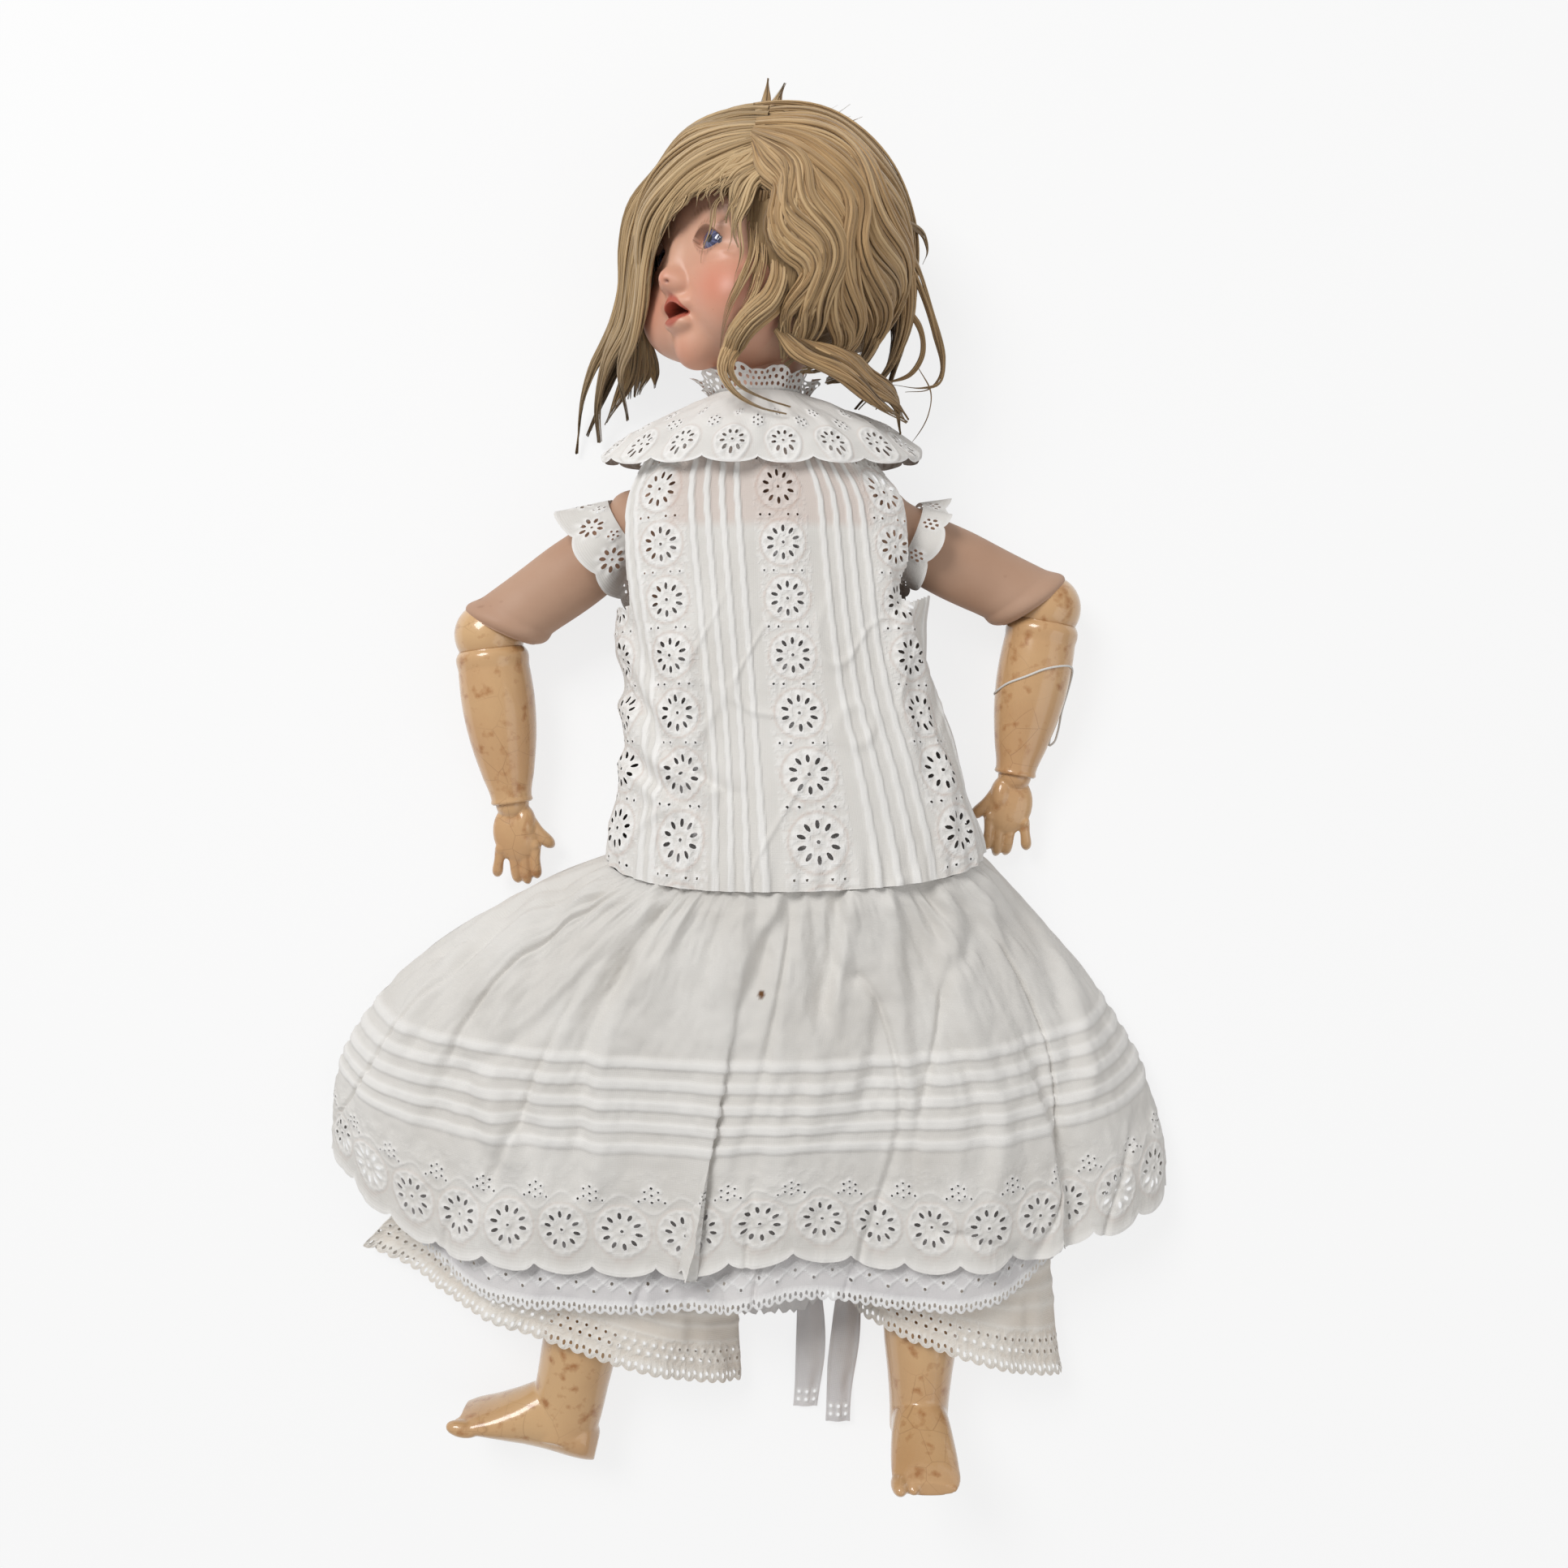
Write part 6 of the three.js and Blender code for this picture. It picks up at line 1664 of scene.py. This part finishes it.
def collar_height(u, v):
    folds = 2.4 * value_noise(u / 17, v / 40, 51) + 0.8 * value_noise(u / 7, v / 9, 52)
    rings = ring_relief(u, v, COLLAR_WHEELS, COLLAR_RING, 0.8)
    return folds * smooth_step(0, 12, v) + 0.5 + 0.45 * rings


def collar_raised(u, v):
    edge = smooth_step(COLLAR_FALL - 2, COLLAR_FALL - 1, v)
    return 0.6 * ring_relief(u, v, COLLAR_WHEELS, COLLAR_RING, 0.8) + 0.8 * edge + 0.25


collar_holes = []
for centre_u, centre_v in COLLAR_WHEELS:
    collar_holes += wheel(centre_u, centre_v, 3.6, 6.3, 9, 0.8, 0.15)
    collar_holes += dots(centre_u + COLLAR_PITCH / 2, centre_v - 12, 2.8, 6, 0.6)
    collar_holes += dots(centre_u, centre_v - 19, 2.0, 5, 0.55)
collar = make_sheet(
    "eyelet_collar", "torso", white, collar_surface,
    collar_round.columns(-150, 150, 0.75, 1.5), np.arange(0, COLLAR_FALL + 0.1, 0.75),
    holes=collar_holes, height=collar_height,
    marks={
        "raised": collar_raised,
        "sheer": lambda u, v: 0.35 * ring_relief(u, v, COLLAR_WHEELS, COLLAR_RING + 1.3, 0.4),
    })
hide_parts("collar")

# Frill: a little standing ruffle of lace round the neck
FRILL_RISE = 11.0
FRILL_GIRTH = 190.0
FRILL_RADIUS = 22.6


def frill_surface(u, v):
    """A rippled ring that opens as it rises and bulges out on one side."""
    v = scalloped(u, v, FRILL_RISE, 6.4, 1.6, 0, 4)
    angle = FRONT - 2 * math.pi * u / FRILL_GIRTH
    share = v / FRILL_RISE
    ripple = 2.4 * np.cos(17 * angle + 1.5 * np.sin(3 * angle)) + 1.2 * np.sin(7 * angle)
    bulge = 5 * bump_at(angle, 2.35, 0.8)
    radius = FRILL_RADIUS + (4.5 + bulge + ripple) * share
    z = NECK.z + (FRILL_RADIUS + (6 + bulge + ripple) * share) * np.sin(angle)
    y = 185.2 + 9.5 * np.sin(1.2 * share) + 1.5 * np.sin(11 * angle) * share
    return np.stack([radius * np.cos(angle), y, z], axis=-1)


frill_holes = [
    round_hole((i + 0.5 * (row % 2)) * 3.2 - 94, 3 + 2.7 * row, 0.85)
    for i in range(59) for row in range(3)
]
frill = make_sheet(
    "lace_neck_frill", "torso", white, frill_surface,
    np.arange(-FRILL_GIRTH / 2, FRILL_GIRTH / 2, 0.8), np.arange(0, FRILL_RISE + 0.1, 0.75),
    holes=frill_holes, floor_at=None,
    marks={"raised": lambda u, v: 0.4 * smooth_step(FRILL_RISE - 2, FRILL_RISE - 1, v)})
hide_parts("neck_frill")


# Sleeves: short eyelet caps that hang from the armholes round the tops of the arms
SLEEVE_MOTIFS = 8
LONG_SLEEVE = 15


def make_sleeve(name, length, flare, start, upper):
    """A sleeve with wheels and dots where it is long enough, and with dots alone where it isn't."""
    around = 2 * math.pi * (19 + flare)
    pitch = around / SLEEVE_MOTIFS

    def surface(u, v):
        v = scalloped(u, v, length, pitch, 3.0, 0, 6)
        angle = FRONT - 2 * math.pi * u / around
        ripple = 1.5 * np.cos(5 * angle) + 1.1 * np.sin(8 * angle + 1)
        radius = 19.5 + (flare + ripple) * v / length
        return np.stack([radius * np.cos(angle), -start - v, radius * np.sin(angle)], axis=-1)

    holes = []
    for i in range(SLEEVE_MOTIFS):
        centre = (i - 3.5) * pitch
        if length > LONG_SLEEVE:
            holes += wheel(centre, length - 9.5, 3.0, 6.2, 8, 0.95)
            holes += dots(centre + pitch / 2, length - 16.5, 2.4, 5)
        else:
            holes += dots(centre, length - 6, 2.6, 6, 0.8)
    piece = make_sheet(
        f"{name}_lace_sleeve", f"{name}_upper_arm", white, surface,
        np.arange(-around / 2, around / 2 - 0.4, 0.8), np.arange(0, length + 0.1, 0.8),
        holes=holes, floor_at=None, height=lambda u, v: 0.6 * value_noise(u / 8, v / 12, 61),
        marks={"raised": lambda u, v: 0.5 * smooth_step(length - 2, length - 1, v)}, matrix=upper)
    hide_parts(f"{name}_sleeve")


# Each sleeve: its length, how much it flares and how far down the arm it starts
for name, length, flare, start in (("right", 21.0, 9.0, 4.0), ("left", 11.0, 5.0, 13.0)):
    upper_frame, _ = arm_frames(**ARMS[name])
    make_sleeve(name, length, flare, start, upper_frame)


# Loose tapes of the petticoat, which lie on its tail and then on the table
TAPE_TOP = -240.4
TAPE_HALF_WIDTH = 7


def make_tape(name, x, length):
    """A narrow tape with two rows of holes near its end."""
    def surface(u, v):
        y = TAPE_TOP - v
        wavy = 1.2 * smooth_step(-270, -285, y) * (1 + np.sin(v / 7 + x))
        bend = 3.0 * np.sin(v / 26 + x)
        across = x + u * (1 - 0.1 * np.sin(v / 11)) + bend - 2
        return np.stack([across, y, 1.8 + wavy + 0.6 * np.cos(u * 0.5)], axis=-1)

    holes = [
        round_hole(aside, length - 4 - 4 * row, 0.9) for aside in (-4.2, 0, 4.2) for row in range(2)
    ]
    tape = make_sheet(
        f"{name}_tape", "torso", lining, surface,
        np.arange(-TAPE_HALF_WIDTH, TAPE_HALF_WIDTH + 0.1, 0.7), np.arange(0, length + 0.1, 0.9),
        closed=False, holes=holes,
        height=lambda u, v: 0.5 * value_noise(u / 4, v / 9, 71) + 0.5 * bump_at(np.abs(u), 6.3, 0.6))
    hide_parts(name)


for name, x, length in (("right_tie", 25, 85), ("left_tie", 45, 92)):
    make_tape(name, x, length)


# Hair: a mohair wig in wavy locks, each a bundle of strands that follows a route over the head.
# Its places are in the doll's own frame, and the wig turns with the head.
HAIR_CENTRE = np.array([6.9, 256.7, 53.4])
HAIR_RADIUS = 66
ROUTE_STEPS = 44


def route(*places):
    """A smooth route; a place of two numbers lies on the round of the hair, one of three is free."""
    points = []
    for x, y, *height in places:
        inside = HAIR_RADIUS**2 - (x - HAIR_CENTRE[0]) ** 2 - (y - HAIR_CENTRE[1]) ** 2
        points.append((x, y, height[0] if height else HAIR_CENTRE[2] + math.sqrt(max(inside, 0))))
    return spline(points, ROUTE_STEPS)


def on_hair(points, lift):
    """Pushes places that lie inside the round of the hair out to its surface, and off the table."""
    away = points - HAIR_CENTRE
    distance = np.linalg.norm(away, axis=-1, keepdims=True)
    points = HAIR_CENTRE + away * np.maximum(1, (HAIR_RADIUS + lift) / distance)
    points[..., 2] = np.maximum(points[..., 2], 1.6)
    return points


def clear_of_head(line, gap):
    """Raises the places of a route until each stands clear of the bisque head."""
    matrix = np.array(HEAD.inverted())
    line = line.copy()
    for _ in range(90):
        local = line * MM @ matrix[:3, :3].T + matrix[:3, 3]
        line[:, 2] += 0.6 * (head_distance(local / MM) < gap)
    return line


def routes_between(guides, count, rng, waves, turns=2.6, rest=None, tips=1):
    """Routes spread over the hair between neighbouring guides, all waving much alike. Where they
    don't lie on the round of the hair, rest is the gap that they keep from the bisque. They run
    together into this many tips for each guide."""
    routes = []
    arc = np.linspace(0, 1, ROUTE_STEPS)[:, None]
    end = len(guides) - 1.001
    for place in np.sort(np.linspace(0, end, count) + rng.uniform(-0.06, 0.06, count)):
        place = min(max(place, 0), end)
        i = int(place)
        tip = round(place * tips) / tips
        drawn = place + 0.8 * (tip - place) * smooth_step(0.45, 1, arc)
        line = guides[i] * (1 - drawn + i) + guides[i + 1] * (drawn - i)
        ahead = np.gradient(line, axis=0)
        ahead /= np.linalg.norm(ahead, axis=1)[:, None]
        away = line - HAIR_CENTRE
        aside = np.cross(ahead, away / np.linalg.norm(away, axis=1)[:, None])
        swing = np.sin(2 * math.pi * (turns * arc + 0.35 * place) + rng.uniform(-0.9, 0.9))
        line = line + aside * waves * swing * smooth_step(0.05, 0.4, arc)
        lift = rng.uniform(-1.2, 1.8)
        routes.append(on_hair(line, lift) if rest is None else clear_of_head(line, rest + lift))
    return routes


def strands_along(line, width, thickness, count, radius, rng):
    """Strands side by side along a route; they draw together at its start and at its tip."""
    share = np.linspace(0, 1, len(line))
    ahead = np.gradient(line, axis=0)
    ahead /= np.linalg.norm(ahead, axis=1)[:, None] + 1e-9
    away = line - HAIR_CENTRE
    away[:, 2] += 30 * smooth_step(60, 20, line[:, 2])
    away /= np.linalg.norm(away, axis=1)[:, None]
    aside = np.cross(ahead, away)
    aside /= np.linalg.norm(aside, axis=1)[:, None] + 1e-9
    up = np.cross(aside, ahead)
    spread = (0.35 + 0.65 * smooth_step(0, 0.2, share)) * (1 - 0.9 * smooth_step(0.55, 1, share))
    loops, marks = [], []
    for i in range(count):
        a = (i + 0.5) / count * 2 - 1 + rng.uniform(-0.12, 0.12)
        level = rng.uniform(-0.3, 1) * math.sqrt(max(1 - a * a, 0.05)) - 0.8 * abs(a) ** 3
        wander = np.sin(2 * math.pi * (rng.uniform(1.2, 2.6) * share + rng.uniform(0, 1)))
        side_step = (a * width / 2 + wander * rng.uniform(0.1, 0.5)) * spread
        rise = (level * thickness / 2) * spread
        end = rng.uniform(0.74, 1)
        taper = radius * (0.55 + 0.45 * smooth_step(0, 0.15, share))
        taper = taper * (1 - 0.92 * smooth_step(end - 0.3, end, share))
        path = line + aside * side_step[:, None] + up * rise[:, None]
        path[:, 2] = np.maximum(path[:, 2], 1.0)
        loops.append(tube_loops(path, taper, 6, 0.75, up))
        marks.append((level, rng.uniform(0, 1)))
    return loops, marks


def make_hair(name, node, locks, ash=0.0):
    """One piece of the wig; each lock is a route with its width, thickness, strands and radius."""
    rng = np.random.default_rng(sum(map(ord, name)))
    loops, light, shade, ashen, uvs = [], [], [], [], []
    for line, width, thickness, count, radius in locks:
        tone = rng.uniform(-0.25, 0.25)
        made, levels = strands_along(line, width, thickness, count, radius, rng)
        low = smooth_step(112, 20, line[:, 2])[:, None]
        steps = np.linalg.norm(np.diff(line, axis=0), axis=1)
        arc = np.concatenate([[0], np.cumsum(steps)])[:, None]
        for loop, (level, chance) in zip(made, levels):
            around = np.linspace(0, 5 * radius, loop.shape[1])[None, :] + 9.7 * len(loops)
            zero = np.zeros(loop.shape[:2])
            # Light is random tone plus a painted highlight on upper strands; shade is random tone plus
            # painted shade on deep strands, and more where the hair lies low.
            bright = 0.8 * (chance - 0.5) * (1 - low) + 0.3 * level + 0.5 * tone
            dark = 0.42 * low + 0.7 * max(0, -level) + 0.5 * (0.35 - chance) + tone
            loops.append(loop)
            light.append(zero + np.clip(bright, 0, 0.6))
            shade.append(zero + np.clip(dark, 0, 0.9))
            ashen.append(zero + ash)
            uvs.append(np.stack([zero + around, zero + arc], axis=-1))
    loops = np.array(loops)
    count, steps, around = loops.shape[:3]
    one = grid_faces(steps, around, True)
    faces = (one[None] + np.arange(count)[:, None, None] * steps * around).reshape(-1, 4)
    marks = {"light": np.array(light), "shade": np.array(shade), "ash": np.array(ashen)}
    piece = make_piece(name, loops.reshape(-1, 3), faces, mohair, "head",
                       uv=np.array(uvs).reshape(-1, 2), marks=marks)
    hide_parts(node)


# Guides for the locks, each from its root to its tip
LEFT_OF_PART = [
    route((4, 286), (-14, 279), (-34, 271), (-45, 262), (-50, 247), (-54, 230, 78), (-60, 215, 66),
          (-67, 202, 45), (-68, 188, 18)),
    route((3, 291), (-24, 289), (-43, 279), (-55, 264, 72), (-60, 245, 66), (-65, 226, 55),
          (-76, 211, 36), (-84, 192, 14), (-84, 178, 5)),
    route((5, 302), (-31, 303, 86), (-49, 294, 62), (-62, 281, 54), (-67, 264, 50), (-68, 244, 46),
          (-74, 227, 38), (-86, 213, 22), (-94, 194, 9), (-97, 172, 4)),
    route((6, 316, 72), (-30, 314, 50), (-52, 298, 36), (-64, 276, 26), (-66, 250, 20),
          (-68, 228, 16), (-80, 206, 9), (-90, 182, 5)),
    route((8, 322, 52), (-28, 312, 28), (-50, 288, 14), (-60, 258, 8), (-62, 226, 6), (-66, 202, 5)),
]
UNDER_CHIN = [
    route((-62, 232, 50), (-64, 220, 36), (-70, 204, 20), (-76, 194, 13), (-81, 186, 9)),
    route((-58, 226, 44), (-58, 214, 30), (-60, 207, 22), (-63, 200, 15)),
    route((-55, 220, 38), (-53, 210, 26), (-54, 203, 18)),
]
FRINGE = [
    route((3, 287), (-16, 280), (-34, 271), (-44, 260), (-49, 247), (-52, 233, 84)),
    route((4, 286), (-8, 280), (-23, 273), (-37, 264), (-45, 251)),
    route((5, 286), (-3, 281), (-14, 275), (-24, 268), (-32, 261)),
    route((6, 285), (1, 279), (-7, 273), (-14, 268), (-19, 262)),
    route((7, 282), (5, 273), (-1, 265), (-6, 257), (-9, 247), (-8, 238)),
]
WISPS = [
    route((-12, 276), (-19, 270), (-25, 264), (-28, 259)),
    route((-6, 274), (-12, 267), (-16, 260), (-16, 255)),
    route((0, 264), (-6, 250), (-8, 236), (-9, 222)),
    route((-24, 272), (-33, 264), (-39, 256), (-41, 249)),
]
RIGHT_OF_PART = [
    route((-1, 286), (2, 272), (10, 260), (12, 245), (20, 233), (17, 219), (13, 206, 98), (9, 196, 94)),
    route((-2, 289), (14, 274), (16, 260), (26, 244), (28, 230), (26, 213), (17, 201, 93),
          (12, 193, 92)),
    route((-2, 291), (20, 278), (33, 262), (38, 243), (39, 224), (41, 206, 84), (31, 194, 86),
          (20, 189, 90)),
    route((-1, 293), (30, 286), (46, 268), (49, 248), (56, 230, 70), (53, 208, 64), (44, 195, 70),
          (33, 190, 80)),
    route((0, 300), (34, 301), (54, 285), (64, 266, 76), (72, 246, 62), (73, 226, 56), (66, 206, 54),
          (56, 192, 58)),
    route((-2, 316, 74), (34, 315, 60), (58, 298, 48), (72, 274, 42), (75, 248, 38), (73, 226, 34),
          (66, 204, 32), (60, 188, 34)),
    route((-2, 322, 54), (34, 314, 34), (58, 292, 20), (71, 262, 14), (70, 234, 10), (60, 208, 8),
          (50, 194, 8)),
]
OVER_COLLAR = [
    route((8, 207, 99), (16, 198, 97), (29, 191, 94), (44, 184, 88), (58, 178, 79), (70, 172, 66)),
    route((22, 204, 92), (34, 198, 90), (48, 191, 82), (60, 184, 72), (72, 176, 58)),
    route((38, 204, 80), (48, 197, 76), (58, 190, 68), (66, 182, 58), (70, 172, 48)),
]
FRONT_LOCK = [
    route((4, 282), (-6, 272, 90), (2, 260, 90), (6, 247, 90), (9, 230, 90), (5, 219, 90),
          (-7, 208, 88), (-15, 198, 97), (-17, 189, 98), (-12, 180, 98), (0, 173, 95), (13, 170, 92)),
    route((8, 281), (0, 270, 90), (8, 258, 90), (12, 245, 90), (14, 229, 90), (9, 216, 90),
          (-2, 206, 88), (-10, 197, 97), (-12, 189, 98), (-8, 182, 98), (3, 176, 96), (15, 173, 93)),
]
BROWS_OF_HAIR = [
    route((2, 262), (-3, 250, 90), (-4, 236, 90), (-8, 222, 90), (-14, 210, 88), (-18, 200, 86)),
    route((6, 262), (2, 246, 90), (3, 232, 90), (0, 220, 90), (-8, 211, 88), (-14, 206, 86)),
]
CURLS = [
    route((62, 262, 86), (73, 267, 66), (80, 266, 54), (82, 260, 50), (80, 255, 48)),
    route((64, 260, 80), (76, 250, 60), (84, 232, 50), (91, 210, 42), (89, 199, 40), (80, 196, 42),
          (66, 197, 44)),
    route((66, 254, 76), (77, 242, 58), (86, 222, 46), (90, 204, 40), (84, 196, 40), (72, 194, 42)),
    route((70, 232, 60), (79, 222, 50), (80, 211, 46), (74, 202, 44), (62, 198, 44), (56, 197, 44)),
    route((78, 206, 44), (85, 194, 40), (84, 184, 36), (78, 174, 30), (72, 168, 26)),
]
TUFT = [
    route((-1, 308, 74), (0, 318, 64), (2, 327, 57), (3, 336, 54), (4, 344, 53)),
    route((5, 308, 74), (6, 318, 64), (8, 327, 58), (10, 334, 55), (13, 341, 54)),
]
STRAYS = [
    route((8, 306, 92), (22, 314, 76), (34, 319, 66), (44, 327, 62)),
    route((-6, 308, 90), (-14, 318, 64), (-18, 324, 60)),
    route((12, 304, 95), (30, 312, 78), (42, 316, 66), (50, 322, 60)),
]


def make_wig():
    rng = np.random.default_rng(7)

    def locks(guides, count, width, thickness, strands, radius, waves, *shape):
        """Locks between guides; where the width is a pair, each lock's own is drawn from between."""
        routes = routes_between(guides, count, rng, waves, *shape)
        widths = [rng.uniform(*width) if isinstance(width, tuple) else width for _ in routes]
        return [(line, wide, thickness, strands, radius) for line, wide in zip(routes, widths)]

    left = locks(LEFT_OF_PART, 36, (7, 10), 5.0, 12, 0.95, 2.2)
    left += locks(UNDER_CHIN, 8, (5, 8), 4.0, 9, 0.9, 0.8, 1.2)
    left += locks(FRINGE, 15, (6, 8), 2.6, 10, 0.8, 1.0, 2.0, 2.6, 2)
    left += locks(WISPS, 7, 2.6, 1.0, 4, 0.35, 1.2, 1.6, 1.6, 2)
    right = locks(RIGHT_OF_PART, 52, (8, 12), 6.5, 15, 1.0, 3.6)
    tuft = locks(TUFT, 5, 4.2, 3.4, 14, 0.7, 0.3)
    stray = locks(STRAYS, 5, 2.4, 1.2, 4, 0.35, 0.5)
    make_hair("mohair_wig", "wig", right + tuft + stray)
    make_hair("left_sweep", "side_lock_right", left, 0.6)
    over = locks(OVER_COLLAR, 10, 6, 4, 11, 0.8, 1.6, 1.6)
    front = locks(FRONT_LOCK, 4, 5.5, 3, 12, 0.75, 0.6, 2.6, 3.0)
    front += locks(BROWS_OF_HAIR, 4, 3.0, 1.0, 5, 0.4, 1.0, 1.6, 1.6)
    make_hair("front_locks", "front_lock", over + front)
    curls = [(line, 3.2, 2.4, 7, 0.75) for line in CURLS[:4]] + [(CURLS[4], 0.8, 0.6, 2, 0.35)]
    make_hair("side_curls", "side_lock_left", curls)


CAP_COLUMNS = 240
CAP_ROWS = 110
CAP_EDGE = 57.5
CAP_HEIGHT = 70


def make_cap():
    """The wig's own round of hair under the locks, open over the face and the neck."""
    degrees_about = np.linspace(-180, 180, CAP_COLUMNS, endpoint=False)
    degrees_up = np.linspace(88, -58, CAP_ROWS)[:, None]
    about, tilt = np.radians(degrees_about), np.radians(degrees_up)
    window = np.hypot((degrees_about - 3) / 45, (degrees_up + 32) / 46)
    radius = CAP_EDGE + (HAIR_RADIUS - 3 - CAP_EDGE) * smooth_step(1.0, 1.35, window)
    radius = radius - 9 * smooth_step(-30, -58, degrees_up) * (window > 1)
    radius = radius + 0.9 * value_noise(degrees_about * 1.1 + 3 * np.sin(tilt * 5), tilt * 3, 81)
    level = radius * np.cos(tilt)
    local = np.stack([
        level * np.sin(about),
        CAP_HEIGHT + radius * np.sin(tilt),
        level * np.cos(about) - 1,
    ], axis=-1)
    matrix = np.array(HEAD)
    points = local @ matrix[:3, :3].T + matrix[:3, 3] / MM
    points[..., 2] = np.maximum(points[..., 2], 0.8)
    faces = grid_faces(*radius.shape, True)
    middle = window.ravel()[faces].mean(axis=1)
    faces = faces[middle > 1].tolist()
    top = points[0].mean(axis=0)
    last = points.size // 3
    faces += [[last, (i + 1) % CAP_COLUMNS, i] for i in range(CAP_COLUMNS)]
    flat = np.concatenate([points.reshape(-1, 3), top[None]])
    uv = np.stack(np.broadcast_arrays(degrees_about, 60 * tilt), axis=-1).reshape(-1, 2)
    uv = np.concatenate([uv, [[0, 92]]])
    full = np.ones(len(flat))
    # The cap is painted in shade all over, as hair that lies in the shade of the locks above it.
    marks = {"shade": 0.4 * full, "light": 0 * full, "ash": 0.3 * full}
    make_piece("wig_cap", flat, faces, mohair, "head", uv=uv, marks=marks)


make_cap()
make_wig()


# Stage: a pale floor that looks white to the camera and keeps a soft shadow
FLOOR_HALF = 4.0
FLOOR_GLOW = 0.8
FLOOR_GREY = (0.82, 0.82, 0.82, 1)
WHITE = (1, 1, 1, 1)


def floor_finish():
    """Matt grey with a white glow that the camera and reflections see but that lights nothing."""
    paint = bpy.data.materials.new("floor_paint")
    paint.use_nodes = True
    tree = paint.node_tree
    tree.nodes.clear()
    rays = add_node(tree, "ShaderNodeLightPath")
    seen = rays.outputs["Is Camera Ray"]
    for kind in ("Is Glossy Ray", "Is Transmission Ray"):
        inputs = {0: seen, 1: rays.outputs[kind]}
        seen = add_node(tree, "ShaderNodeMath", inputs, operation="MAXIMUM").outputs[0]
    share = add_node(tree, "ShaderNodeMath", {0: seen, 1: FLOOR_GLOW}, operation="MULTIPLY")
    matt = add_node(tree, "ShaderNodeBsdfDiffuse", {"Color": FLOOR_GREY})
    glow = add_node(tree, "ShaderNodeEmission", {"Color": WHITE})
    inputs = {0: share.outputs[0], 1: matt.outputs[0], 2: glow.outputs[0]}
    blend = add_node(tree, "ShaderNodeMixShader", inputs)
    add_node(tree, "ShaderNodeOutputMaterial", {"Surface": blend.outputs[0]})
    return paint


def make_floor():
    far = FLOOR_HALF
    mesh = bpy.data.meshes.new("floor")
    mesh.from_pydata([(-far, -far, 0), (far, -far, 0), (far, far, 0), (-far, far, 0)], [], [(0, 1, 2, 3)])
    mesh.materials.append(floor_finish())
    floor = bpy.data.objects.new("floor", mesh)
    bpy.context.collection.objects.link(floor)


def add_lamp(name, place, aim, size, power):
    data = bpy.data.lights.new(name, "AREA")
    data.shape = "SQUARE"
    data.size = size
    data.energy = power
    lamp = bpy.data.objects.new(name, data)
    lamp.location = place
    lamp.rotation_euler = (Vector(aim) - Vector(place)).to_track_quat("-Z", "Y").to_euler()
    bpy.context.collection.objects.link(lamp)


# Strengths of the world, as it lights the object and as the camera sees it
WORLD_LIGHT = 0.42
WORLD_SEEN = 0.92


def make_world():
    """A world that looks nearly white to the camera and lights the object at a lower strength."""
    world = bpy.data.worlds.new("studio")
    bpy.context.scene.world = world
    world.use_nodes = True
    tree = world.node_tree
    backdrop = tree.nodes["Background"]
    backdrop.inputs["Color"].default_value = WHITE
    seen = add_node(tree, "ShaderNodeLightPath").outputs["Is Camera Ray"]
    inputs = {0: seen, 1: WORLD_SEEN - WORLD_LIGHT, 2: WORLD_LIGHT}
    strength = add_node(tree, "ShaderNodeMath", inputs, operation="MULTIPLY_ADD")
    feed(tree, backdrop.inputs["Strength"], strength.outputs[0])


make_floor()
add_lamp("key", (-0.85, 1.0, 1.5), (0, 0, 0), 0.8, 22)
add_lamp("fill", (1.3, -0.6, 1.4), (0, 0, 0), 1.4, 5)
make_world()

bpy.context.scene.view_settings.view_transform = "Standard"
